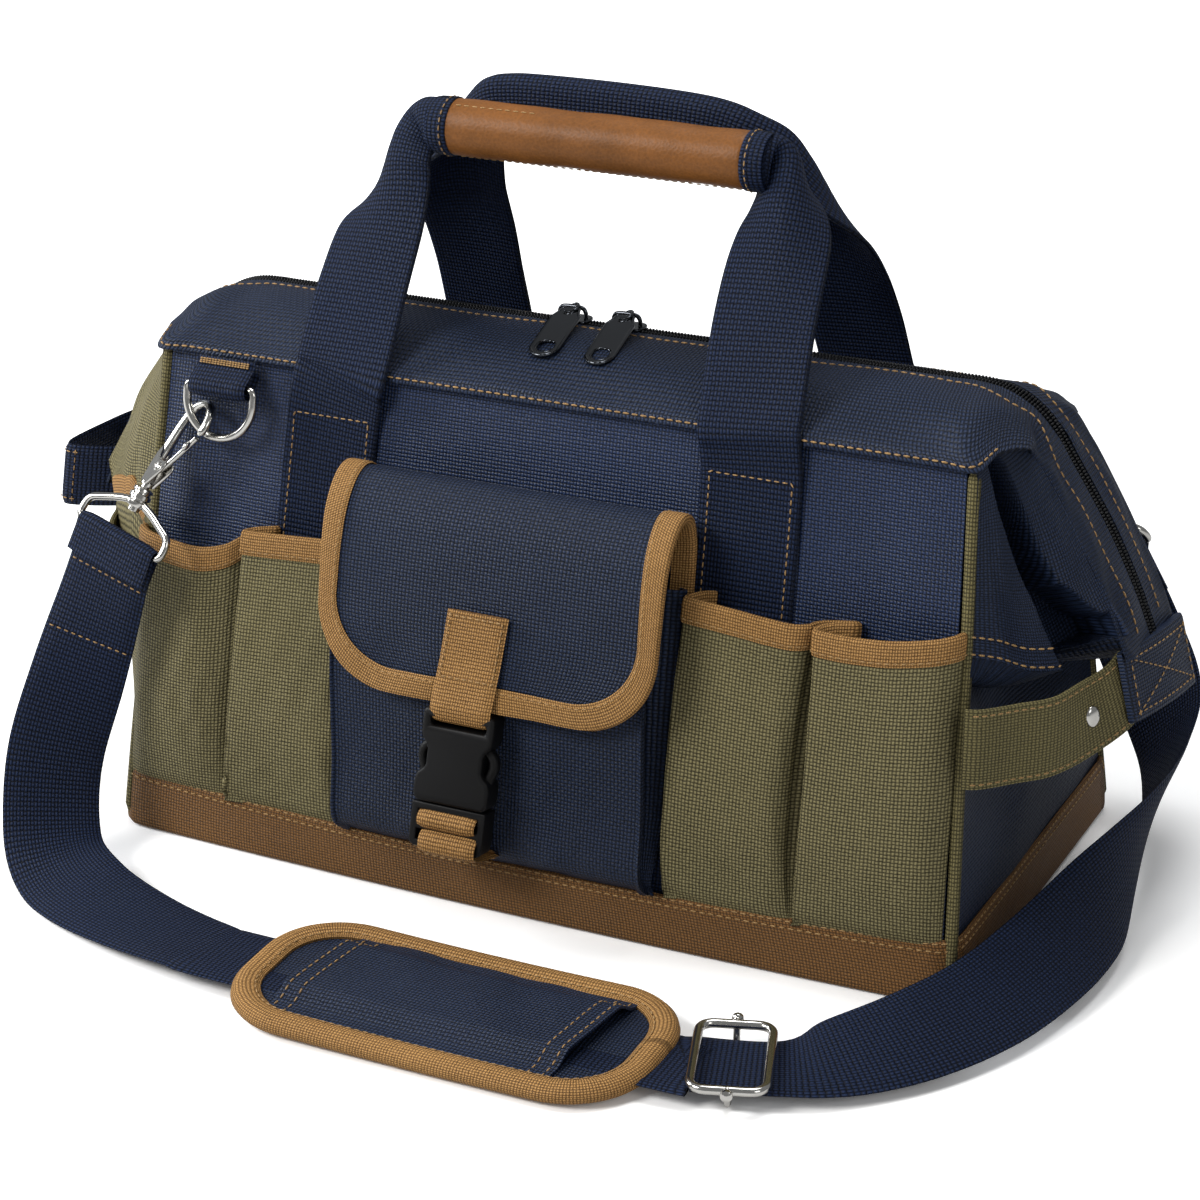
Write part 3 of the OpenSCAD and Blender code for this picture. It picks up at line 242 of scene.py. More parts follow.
def wear_group():
    """Slow, cloudy variation of a finish: a tone round 0.5 and a finer speckle."""
    group = bpy.data.node_groups.new("cloudy_wear", "ShaderNodeTree")
    group_socket(group, "Vector", "NodeSocketVector")
    group_socket(group, "Scale", "NodeSocketFloat", value=18.0)
    group_socket(group, "Tone", "NodeSocketFloat", "OUTPUT")
    group_socket(group, "Speckle", "NodeSocketFloat", "OUTPUT")
    n = Nodes(group)
    inside = group.nodes.new("NodeGroupInput")
    outside = group.nodes.new("NodeGroupOutput")
    slow = n.put("ShaderNodeTexNoise", {"Vector": inside.outputs["Vector"], "Scale": inside.outputs["Scale"],
                                        "Detail": 4.0, "Roughness": 0.6})
    fine = n.put("ShaderNodeTexNoise", {"Vector": inside.outputs["Vector"], "Scale": 900.0, "Detail": 2.0})
    group.links.new(slow, outside.inputs["Tone"])
    group.links.new(fine, outside.inputs["Speckle"])
    return group


WEAVE = weave_group()
WEAR = wear_group()


def new_finish(name, roughness, metallic=0.0, specular=0.5):
    material = bpy.data.materials.new(name)
    material.use_nodes = True
    tree = material.node_tree
    shader = next(x for x in tree.nodes if x.type == "BSDF_PRINCIPLED")
    shader.inputs["Roughness"].default_value = roughness
    shader.inputs["Metallic"].default_value = metallic
    shader.inputs["Specular IOR Level"].default_value = specular
    return material, tree, shader


def cloudy_wear(tree, scale=18.0):
    """The shared wear group, laid over the piece's own space."""
    node = tree.nodes.new("ShaderNodeGroup")
    node.node_tree = WEAR
    tree.links.new(Nodes(tree).put("ShaderNodeTexCoord", out=3), node.inputs["Vector"])
    node.inputs["Scale"].default_value = scale
    return node


def srgb(code):
    parts = [int(code[i:i + 2], 16) / 255.0 for i in (1, 3, 5)]
    return tuple(p / 12.92 if p <= 0.04045 else ((p + 0.055) / 1.055) ** 2.4 for p in parts)


def surface_vector(n, flat):
    """The piece's own cloth map in metres, or its place in space for a solid from the frame."""
    if flat:
        return n.put("ShaderNodeUVMap", uv_map="cloth")
    return n.put("ShaderNodeTexCoord", out=3)


def woven_finish(name, dark, light, warp, weft, depth, roughness, uneven, wear, specular, flat=True):
    """Cloth of two thread directions, with painted light on the thread crowns, painted shade in the gaps between
    threads and a cloudy tone.
    """
    material, tree, shader = new_finish(name, roughness, specular=specular)
    n = Nodes(tree)
    vector = surface_vector(n, flat)
    weave = tree.nodes.new("ShaderNodeGroup")
    weave.node_tree = WEAVE
    tree.links.new(vector, weave.inputs["Vector"])
    weave.inputs["Warp Pitch"].default_value = warp * MM
    weave.inputs["Weft Pitch"].default_value = weft * MM
    weave.inputs["Unevenness"].default_value = uneven
    cloudy = cloudy_wear(tree)
    height = weave.outputs["Height"]
    # painted light and shade of the weave: thread crowns lighter, gaps between threads darker, warp cells a little
    # lighter
    painted_thread_light = n.math("ADD", n.math("MULTIPLY", n.math("POWER", height, 1.5), 1.05),
                 n.math("MULTIPLY", weave.outputs["Warp"], 0.1))
    tone = n.math("MULTIPLY", n.math("SUBTRACT", cloudy.outputs["Tone"], 0.5), wear)
    grain = n.math("MULTIPLY", n.math("SUBTRACT", cloudy.outputs["Speckle"], 0.5), 0.5)
    factor = n.math("ADD", n.math("ADD", painted_thread_light, tone), grain, clamp=True)
    tree.links.new(n.mix(factor, srgb(dark), srgb(light)), shader.inputs["Base Color"])
    rough = n.math("ADD", n.math("MULTIPLY", cloudy.outputs["Tone"], 0.22), roughness - 0.11)
    tree.links.new(rough, shader.inputs["Roughness"])
    bump = n.put("ShaderNodeBump", {"Height": height, "Strength": 0.9, "Distance": depth * MM})
    tree.links.new(bump, shader.inputs["Normal"])
    return material


def leather_finish(name, dark, light):
    material, tree, shader = new_finish(name, 0.5, specular=0.25)
    n = Nodes(tree)
    place = n.put("ShaderNodeTexCoord", out=3)
    cloudy = cloudy_wear(tree, 40.0)
    grain = n.put("ShaderNodeTexVoronoi", {"Vector": place, "Scale": 900.0, "Randomness": 1.0})
    factor = n.math("ADD", cloudy.outputs["Tone"], n.math("MULTIPLY", n.math("SUBTRACT", grain, 0.4), 0.35), clamp=True)
    tree.links.new(n.mix(factor, srgb(dark), srgb(light)), shader.inputs["Base Color"])
    tree.links.new(n.math("ADD", n.math("MULTIPLY", cloudy.outputs["Speckle"], 0.2), 0.38), shader.inputs["Roughness"])
    bump = n.put("ShaderNodeBump", {"Height": grain, "Strength": 0.5, "Distance": 0.15 * MM})
    tree.links.new(bump, shader.inputs["Normal"])
    return material


def metal_finish(name, shade, roughness, scuffs=0.08):
    material, tree, shader = new_finish(name, roughness, metallic=1.0)
    n = Nodes(tree)
    cloudy = cloudy_wear(tree, 120.0)
    dull = tuple(c * 0.82 for c in srgb(shade))
    tree.links.new(n.mix(cloudy.outputs["Tone"], dull, srgb(shade)), shader.inputs["Base Color"])
    rough = n.math("ADD", n.math("MULTIPLY", cloudy.outputs["Speckle"], scuffs), roughness - scuffs / 2)
    tree.links.new(rough, shader.inputs["Roughness"])
    return material


def plastic_finish(name, shade, roughness):
    material, tree, shader = new_finish(name, roughness, specular=0.22)
    n = Nodes(tree)
    place = n.put("ShaderNodeTexCoord", out=3)
    cloudy = cloudy_wear(tree)
    pale = tuple(c * 1.5 + 0.002 for c in srgb(shade))
    tree.links.new(n.mix(cloudy.outputs["Tone"], srgb(shade), pale), shader.inputs["Base Color"])
    tree.links.new(n.math("ADD", n.math("MULTIPLY", cloudy.outputs["Speckle"], 0.12), roughness - 0.06),
                   shader.inputs["Roughness"])
    grain = n.put("ShaderNodeTexNoise", {"Vector": place, "Scale": 2500.0, "Detail": 1.0})
    bump = n.put("ShaderNodeBump", {"Height": grain, "Strength": 0.35, "Distance": 0.04 * MM})
    tree.links.new(bump, shader.inputs["Normal"])
    return material


# Cloths by name, the dark and light ends of the colour, between which run the painted shade in the gaps of the weave,
# the painted light on the thread crowns and the cloudy tone; then warp pitch, weft pitch and relief in millimetres,
# roughness, unevenness of the threads, cloudiness of the tone and specular level.
CLOTHS = {
    "navy": ("navy_coated_cloth", "#020409", "#26334e", 1.45, 1.45, 0.5, 0.5, 0.35, 0.3, 0.22),
    # the front wall's copy of the navy cloth: its higher specular is real, its lighter and bluer colour is painted
    # sheen
    "navy_panel_painted_sheen": ("navy_satin_cloth_painted_sheen", "#03060f", "#283a60", 1.4, 1.4, 0.45, 0.44, 0.35, 0.35, 0.32),
    "webbing": ("navy_webbing_weave", "#010206", "#1f2c49", 1.35, 1.9, 0.6, 0.62, 0.12, 0.25, 0.14),
    "olive": ("olive_cloth", "#2a2616", "#8e855f", 1.4, 1.4, 0.4, 0.66, 0.35, 0.25, 0.2),
    "olive_tape": ("olive_tape_weave", "#332f1c", "#807750", 1.1, 1.5, 0.4, 0.68, 0.2, 0.25, 0.2),
    "tan": ("tan_binding_weave", "#573b1b", "#c09258", 1.0, 1.2, 0.4, 0.68, 0.25, 0.3, 0.22),
    "tan_webbing": ("tan_webbing_weave", "#573b1b", "#bd8f55", 1.0, 1.4, 0.4, 0.66, 0.25, 0.3, 0.22),
    "brown": ("brown_coated_canvas", "#3a2712", "#875f33", 1.3, 1.3, 0.3, 0.58, 0.3, 0.35, 0.25),
    "tape": ("zip_tape_weave", "#030509", "#0e1524", 0.9, 0.9, 0.15, 0.7, 0.2, 0.2, 0.15),
    "thread": ("tan_thread", "#775a36", "#c49f6c", 0.5, 0.4, 0.1, 0.6, 0.2, 0.2, 0.3, False),
}
FINISH = {key: woven_finish(*values) for key, values in CLOTHS.items()}
FINISH |= {
    "leather": leather_finish("grip_leather_grain", "#4e3014", "#8a5624"),
    "coil": plastic_finish("zip_coil_nylon", "#08090c", 0.3),
    "plastic": plastic_finish("buckle_plastic", "#020203", 0.5),
    "silver": metal_finish("polished_nickel", "#cfcdc8", 0.16),
    "gunmetal": metal_finish("gunmetal_plate", "#4a4d52", 0.2, 0.1),
    "steel": metal_finish("rod_steel_draw", "#a9aaab", 0.35, 0.1),
}


# ---------------------------------------------------------------- curves, sheets and other mesh makers

def catmull(points, count):
    """A smooth line through the points, resampled to count points, also for more than three columns."""
    p = np.asarray(points, float)
    if len(p) == 2:
        return np.linspace(p[0], p[1], count)
    q = np.vstack([2 * p[0] - p[1], p, 2 * p[-1] - p[-2]])
    at = np.linspace(0, len(p) - 1, count)
    k = np.minimum(at.astype(int), len(p) - 2)
    t = (at - k)[:, None]
    a, b, c, d = q[k], q[k + 1], q[k + 2], q[k + 3]
    return 0.5 * (2 * b + (c - a) * t + (2 * a - 5 * b + 4 * c - d) * t ** 2 + (3 * b - a - 3 * c + d) * t ** 3)


def even(points, count):
    """The line through the points with its samples spread evenly by length."""
    p = np.asarray(points, float)
    s = run_along(p[:, :3])
    at = np.linspace(0, s[-1], count)
    return np.stack([np.interp(at, s, p[:, k]) for k in range(p.shape[1])], 1)


def smooth_line(points, count):
    return even(catmull(points, max(count * 3, 60)), count)


def net(rows, n, m):
    """A surface through a net of points: smooth both ways, n by m samples."""
    first = np.stack([catmull(r, m) for r in np.asarray(rows, float)])
    return np.stack([catmull(first[:, j], n) for j in range(m)], 1)


def unit(v):
    v = np.asarray(v, float)
    return v / np.maximum(np.linalg.norm(v, axis=-1, keepdims=True), 1e-9)


def normals_of(p):
    du = np.gradient(p, axis=0)
    dv = np.gradient(p, axis=1)
    return unit(np.cross(du, dv))


def ease(t):
    t = np.clip(t, 0.0, 1.0)
    return t * t * (3 - 2 * t)


def bump_at(u, v, u0, v0, ru, rv):
    """A soft round rise of height 1 at (u0, v0)."""
    return np.exp(-((u - u0) / ru) ** 2 - ((v - v0) / rv) ** 2)


def ripples(u, v, seed, waves=7, low=0.6, high=3.0):
    """Gentle uneven rise and fall, the same on each run."""
    rng = np.random.default_rng(seed)
    total = np.zeros(np.broadcast(u, v).shape)
    for _ in range(waves):
        a, b = rng.uniform(low, high, 2) * rng.choice([-1, 1], 2)
        total = total + np.sin(2 * math.pi * (a * u + b * v) + rng.uniform(0, 6.28)) / waves ** 0.5
    return total


class Patch:
    """A sheet of cloth as a net of outer points in millimetres, with its normals."""

    def __init__(self, p, flip=False):
        self.p = np.asarray(p, float)
        self.n = normals_of(self.p) * (-1.0 if flip else 1.0)

    def spot(self, grid, a, b):
        n, m = grid.shape[:2]
        x = np.clip(np.asarray(a, float) * (n - 1), 0, n - 1)
        y = np.clip(np.asarray(b, float) * (m - 1), 0, m - 1)
        i = np.minimum(x.astype(int), n - 2)
        j = np.minimum(y.astype(int), m - 2)
        s, t = (x - i)[..., None], (y - j)[..., None]
        return (grid[i, j] * (1 - s) * (1 - t) + grid[i + 1, j] * s * (1 - t)
                + grid[i, j + 1] * (1 - s) * t + grid[i + 1, j + 1] * s * t)

    def at(self, a, b, lift=0.0):
        return self.spot(self.p, a, b) + lift * unit(self.spot(self.n, a, b))

    def line(self, knots, lift=0.15, count=80):
        """A line over the cloth through (a, b) shares of its two sides."""
        k = np.asarray(knots, float)
        k = even(np.hstack([k, np.zeros((len(k), 1))]), count) if len(k) > 1 else k
        return self.at(k[:, 0], k[:, 1], lift)


def make_object(name, verts, faces, material, uvs=None, sharp=50.0, smooth=True):
    mesh = bpy.data.meshes.new(name)
    mesh.from_pydata((np.asarray(verts, float) * MM).tolist(), [], faces)
    if uvs is not None:
        layer = mesh.uv_layers.new(name="cloth")
        index = np.empty(len(mesh.loops), dtype=np.int32)
        mesh.loops.foreach_get("vertex_index", index)
        layer.data.foreach_set("uv", (np.asarray(uvs, float)[index] * MM).ravel())
    mesh.materials.append(material)
    mesh.update()
    if smooth:
        mesh.shade_smooth()
        mesh.set_sharp_from_angle(angle=math.radians(sharp))
    obj = bpy.data.objects.new(name, mesh)
    bpy.context.scene.collection.objects.link(obj)
    return obj


def run_along(line):
    """Length along a line at each of its points."""
    return np.concatenate([[0], np.cumsum(np.linalg.norm(np.diff(line, axis=0), axis=1))])


def loft_faces(n, m, closed=False):
    """Faces of a tube of n rings with m points each, capped where it isn't closed."""
    faces = [(i * m + j, i * m + (j + 1) % m, (i + 1) % n * m + (j + 1) % m, (i + 1) % n * m + j)
             for i in range(n if closed else n - 1) for j in range(m)]
    if not closed:
        faces += [tuple(range(m))[::-1], tuple((n - 1) * m + j for j in range(m))]
    return faces


def turn_faces(n, m, closed=False):
    """Faces of n profiles of m points set round an upright axis."""
    return [(i * m + j, (i + 1) % n * m + j, (i + 1) % n * m + (j + 1) % m, i * m + (j + 1) % m)
            for i in range(n) for j in range(m if closed else m - 1)]


def filled_plate(name, rings, half):
    """A flat plate of half thickness, bounded by the first ring and pierced by the others, as a mesh."""
    curve = bpy.data.curves.new(name, "CURVE")
    curve.dimensions = "2D"
    curve.fill_mode = "BOTH"
    curve.extrude = half
    for ring in rings:
        spline = curve.splines.new("POLY")
        spline.points.add(len(ring) - 1)
        for point, (a, b) in zip(spline.points, ring):
            point.co = (a, b, 0, 1)
        spline.use_cyclic_u = True
    shape = bpy.data.objects.new(name, curve)
    bpy.context.scene.collection.objects.link(shape)
    mesh = bpy.data.meshes.new_from_object(shape.evaluated_get(bpy.context.evaluated_depsgraph_get()))
    bpy.data.objects.remove(shape)
    bpy.data.curves.remove(curve)
    return mesh


def lengths(p, axis):
    step = np.linalg.norm(np.diff(p, axis=axis), axis=2)
    zero = np.zeros_like(np.take(step, [0], axis=axis))
    return np.cumsum(np.concatenate([zero, step], axis=axis), axis=axis)


def solid_sheet(p, thick, normal, closed=False):
    """Vertices, faces and a flat map for a sheet with a wall: outer points p, wall thick under them."""
    n, m = p.shape[:2]
    inner = p - normal * thick
    verts = np.concatenate([p.reshape(-1, 3), inner.reshape(-1, 3)])
    k = n * m
    rows = n if closed else n - 1
    faces = []
    for i in range(rows):
        i2 = (i + 1) % n
        for j in range(m - 1):
            a, b, c, d = i * m + j, i2 * m + j, i2 * m + j + 1, i * m + j + 1
            faces.append((a, b, c, d))
            faces.append((d + k, c + k, b + k, a + k))
    for i in range(rows):
        i2 = (i + 1) % n
        a, b = i * m, i2 * m
        faces.append((b, a, a + k, b + k))
        a, b = i * m + m - 1, i2 * m + m - 1
        faces.append((a, b, b + k, a + k))
    if not closed:
        for j in range(m - 1):
            a, b = j, j + 1
            faces.append((a, b, b + k, a + k))
            a, b = (n - 1) * m + j, (n - 1) * m + j + 1
            faces.append((b, a, a + k, b + k))
    u = lengths(p, 0).mean(1, keepdims=True) * np.ones((1, m))
    v = lengths(p, 1).mean(0, keepdims=True) * np.ones((n, 1))
    flat = np.stack([u, v], 2).reshape(-1, 2)
    return verts, faces, np.concatenate([flat, flat])


def cloth_piece(name, patch, material, thick=1.2, closed=False):
    """A piece of cloth from a patch, facing the way its normals point."""
    p, nrm = patch.p, patch.n
    true_normal = normals_of(p)
    verts, faces, flat = solid_sheet(p, thick, nrm, closed)
    if (true_normal * nrm).sum() < 0:
        faces = [f[::-1] for f in faces]
    return make_object(name, verts, faces, material, flat)


def tube(path, radius, sides=10, closed=False, flat=1.0, across=None):
    """Vertices, faces and a flat map of a round or flattened bar along a path."""
    path = np.asarray(path, float)
    n = len(path)
    if closed:
        tangent = unit(np.roll(path, -1, 0) - np.roll(path, 1, 0))
    else:
        tangent = unit(np.gradient(path, axis=0))
    radius = np.broadcast_to(np.asarray(radius, float), (n,))
    side = np.zeros((n, 3))
    if across is not None:
        side = np.asarray(across, float)
    else:
        start = np.array([0.0, 0.0, 1.0]) if abs(tangent[0][2]) < 0.9 else np.array([1.0, 0.0, 0.0])
        side[0] = start
        for i in range(n):
            back = side[i - 1] if i else start
            side[i] = unit(back - tangent[i] * np.dot(back, tangent[i]))
    side = unit(side - tangent * (side * tangent).sum(1, keepdims=True))
    other = np.cross(tangent, side)
    angle = np.arange(sides) * 2 * math.pi / sides
    ring = (np.cos(angle)[None, :, None] * side[:, None] + flat * np.sin(angle)[None, :, None] * other[:, None])
    verts = (path[:, None] + ring * radius[:, None, None]).reshape(-1, 3)
    along = run_along(path)
    flatmap = np.stack([np.tile(np.arange(sides) * 2 * math.pi / sides * radius.mean(), n),
                        np.repeat(along, sides)], 1)
    return verts, loft_faces(n, sides, closed), flatmap


def joined(parts):
    """Several (verts, faces, map) lists as one."""
    verts, faces, flat, k = [], [], [], 0
    for v, f, m in parts:
        verts.append(np.asarray(v, float))
        faces += [tuple(i + k for i in face) for face in f]
        flat.append(m if m is not None else np.zeros((len(v), 2)))
        k += len(v)
    return np.concatenate(verts), faces, np.concatenate(flat)


def face_outward(obj):
    bm = bmesh.new()
    bm.from_mesh(obj.data)
    bmesh.ops.recalc_face_normals(bm, faces=bm.faces[:])
    bm.to_mesh(obj.data)
    bm.free()


def settle(obj, body, slot, *nodes, recalc=True):
    """Turns the faces outward, attaches the piece to the body it rides on and hides the nodes it stands for; slot is
    not used.
    """
    if recalc:
        face_outward(obj)
    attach(obj, body)
    if nodes:
        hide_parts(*nodes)
    return obj


def bevel(obj, width, segments=2, angle=35.0):
    """Rounded edges, applied."""
    mod = obj.modifiers.new("edges", "BEVEL")
    mod.width = width * MM
    mod.segments = segments
    mod.limit_method = "ANGLE"
    mod.angle_limit = math.radians(angle)
    apply_modifiers(obj)
    obj.data.shade_smooth()
    obj.data.set_sharp_from_angle(angle=math.radians(60))


def apply_modifiers(obj):
    graph = bpy.context.evaluated_depsgraph_get()
    mesh = bpy.data.meshes.new_from_object(obj.evaluated_get(graph))
    obj.modifiers.clear()
    obj.data = mesh


# ---------------------------------------------------------------- repeats by geometry nodes

def row_tree(name, sizes, bead, axis, scale):
    """Beads along the lines of a mesh, one at each step, scaled by shares of the tree's own sizes."""
    tree = bpy.data.node_groups.new(name, "GeometryNodeTree")
    tree.is_modifier = True
    group_socket(tree, "Geometry", "NodeSocketGeometry")
    for key, value in sizes.items():
        group_socket(tree, key, "NodeSocketFloat", value=value)
    group_socket(tree, "Material", "NodeSocketMaterial")
    group_socket(tree, "Geometry", "NodeSocketGeometry", "OUTPUT")
    n = Nodes(tree)
    inside = tree.nodes.new("NodeGroupInput")
    outside = tree.nodes.new("NodeGroupOutput")
    curve = n.put("GeometryNodeMeshToCurve", {"Mesh": inside.outputs["Geometry"]})
    points = tree.nodes.new("GeometryNodeCurveToPoints")
    points.mode = "LENGTH"
    tree.links.new(curve, points.inputs["Curve"])
    tree.links.new(inside.outputs["Step"], points.inputs["Length"])
    ball = n.put("GeometryNodeMeshUVSphere", {"Segments": bead[0], "Rings": bead[1], "Radius": 1.0})
    turn = n.put("FunctionNodeAlignRotationToVector", {"Vector": points.outputs["Tangent"]}, **axis)
    size = n.put("ShaderNodeCombineXYZ", {i: n.math("MULTIPLY", inside.outputs[key], share) if share != 1.0
                                          else inside.outputs[key] for i, (key, share) in enumerate(scale)})
    placed = n.put("GeometryNodeInstanceOnPoints", {"Points": points.outputs["Points"], "Instance": ball,
                                                    "Rotation": turn, "Scale": size})
    real = n.put("GeometryNodeRealizeInstances", {"Geometry": placed})
    shown = n.put("GeometryNodeSetMaterial", {"Geometry": real, "Material": inside.outputs["Material"]})
    tree.links.new(shown, outside.inputs["Geometry"])
    return tree


STITCH = row_tree("stitch_row", {"Step": 0.0036, "Length": 0.0026, "Radius": 0.0004}, (6, 4), {"axis": "Z"},
                  (("Radius", 1.0), ("Radius", 1.0), ("Length", 0.5)))


def run_tree(name, lines, tree, values):
    """Runs a node tree over line meshes and returns the result as a plain mesh object."""
    verts, edges = [], []
    for line in lines:
        k = len(verts)
        verts += (np.asarray(line, float) * MM).tolist()
        edges += [(k + i, k + i + 1) for i in range(len(line) - 1)]
    mesh = bpy.data.meshes.new(name)
    mesh.from_pydata(verts, edges, [])
    obj = bpy.data.objects.new(name, mesh)
    bpy.context.scene.collection.objects.link(obj)
    mod = obj.modifiers.new("repeat", "NODES")
    mod.node_group = tree
    for item in tree.interface.items_tree:
        if item.item_type == "SOCKET" and item.in_out == "INPUT" and item.name in values:
            mod[item.identifier] = values[item.name]
    apply_modifiers(obj)
    obj.data.shade_smooth()
    return obj


def stitches(name, lines, body, slot, step=3.7, length=2.7, radius=0.42):
    obj = run_tree(name, lines, STITCH, {"Step": step * MM, "Length": length * MM, "Radius": radius * MM,
                                         "Material": FINISH["thread"]})
    return settle(obj, body, slot, recalc=False)


# ---------------------------------------------------------------- shoulder strap, pad and adjuster

STRAP_ROUTE = [
    (-169, -101.1, 125.8, 0.956, -0.148, -0.252), (-176, -105, 101, 0.95, 0, -0.25),
    (-183, -113, 72, 0.9, 0.3, -0.2), (-188, -124, 43, 0.75, 0.6, 0), (-184, -136, 21, 0.5, 0.8, 0.2),
    (-172, -150, 9, 0.2, 0.9, 0.35), (-150, -164, 6.5, 0, 0.95, 0.25), (-120, -174, 5.5, 0, 0.98, 0.1),
    (-90, -180, 5.5, 0, 1, 0), (-64, -182, 5.5, 0, 1, 0), (104, -182, 5.5, 0, 1, 0),
    (110, -180, 5.5, -0.3, 0.94, 0), (142, -169, 5.5, -0.33, 0.94, 0), (160, -159, 9, -0.5, 0.8, 0.25),
    (180, -138, 12, -0.7, 0.6, 0.4), (196, -108, 14, -0.85, 0.4, 0.5), (206, -74, 17, -0.8, 0.2, 0.6),
    (212, -42, 21, -0.6, 0.2, 0.8), (215, -12, 26, -0.2, 0.1, 0.95), (216, 20, 33, 0.2, -0.15, 0.97),
    (214, 46, 40, 0.45, -0.1, 0.9), (208, 72, 46, 0.6, 0, 0.8), (197, 92, 57, 0.8, 0.1, 0.6),
    (184, 104, 73, 0.86, 0.1, 0.5), (174.7, 103.7, 92.5, 0.93, 0, 0.35), (169, 98.4, 112, 0.956, -0.189, 0.223)]
STRAP_W, STRAP_T = 38.0, 2.2


def strap_line(count=240):
    rows = smooth_line(STRAP_ROUTE, count)
    path, side = rows[:, :3], rows[:, 3:6]
    tangent = unit(np.gradient(path, axis=0))
    side = unit(side - tangent * (side * tangent).sum(1, keepdims=True))
    return path, side, tangent


def flat_band(path, side, width, thick):
    """A flat woven band: a closed section with rounded edges swept along a path, with its cloth map."""
    tangent = unit(np.gradient(path, axis=0))
    up = np.cross(tangent, side)
    w, t = width / 2, thick / 2
    top = [(x, t * (1 - (abs(x) / w) ** 8)) for x in np.linspace(-w, w, 13)]
    low = [(x, -t * (1 - (abs(x) / w) ** 8)) for x in np.linspace(w, -w, 13)[1:-1]]
    section = np.array(top + low)
    k = len(section)
    verts = (path[:, None] + section[None, :, 0, None] * side[:, None] + section[None, :, 1, None] * up[:, None])
    n = len(path)
    faces = [(i * k + j, (i + 1) * k + j, (i + 1) * k + (j + 1) % k, i * k + (j + 1) % k)
             for i in range(n - 1) for j in range(k)]
    faces += [tuple(range(k)), tuple((n - 1) * k + j for j in range(k))[::-1]]
    along = run_along(path)
    flat = np.stack([np.tile(section[:, 0], n), np.repeat(along, k)], 1)
    return verts.reshape(-1, 3), faces, flat


def shoulder_strap():
    path, side, tangent = strap_line()
    verts, faces, flat = flat_band(path, side, STRAP_W, STRAP_T)
    strap = make_object("shoulder_strap_web", verts, faces, FINISH["webbing"], flat)
    settle(strap, "root", "navy_webbing", "shoulder_strap")
    up = np.cross(tangent, side)
    rows = []
    # two rows across the strap where its end is folded back round the front loop and sewn down
    for spot in (0.018, 0.05):
        i = int(spot * len(path))
        rows += [path[i] + side[i] * x + up[i] * s * (STRAP_T / 2 + 0.1) for s in (1, -1) for x in (-16, 16)]
    lines = [[rows[k], rows[k + 1]] for k in range(0, len(rows), 2)]
    stitches("strap_end_stitches", lines, "root", "tan_tape", step=3.0, length=2.0, radius=0.35)
    return strap, path


PAD_X, PAD_Y, PAD_L, PAD_W = 20.0, -182.0, 166.0, 76.0


def pad_height(x, y):
    """The pad's under face: it lies on the floor along its front edge and rises a little behind."""
    return 0.6 + 2.6 * ease((y + PAD_W / 2) / PAD_W) + 1.4 * ((x / PAD_L) * 2) ** 2


def round_box(a, b, r, count=120):
    """Outline of a rectangle with round corners, anticlockwise from the middle of the right side."""
    spots = []
    for cx, cy, start in ((a - r, b - r, 0), (r - a, b - r, 90), (r - a, r - b, 180), (a - r, r - b, 270)):
        for ang in np.radians(np.linspace(start, start + 90, 14)):
            spots.append((cx + r * math.cos(ang), cy + r * math.sin(ang)))
    spots.append(spots[0])
    return even(np.hstack([np.array(spots), np.zeros((len(spots), 1))]), count + 1)[:-1, :2]


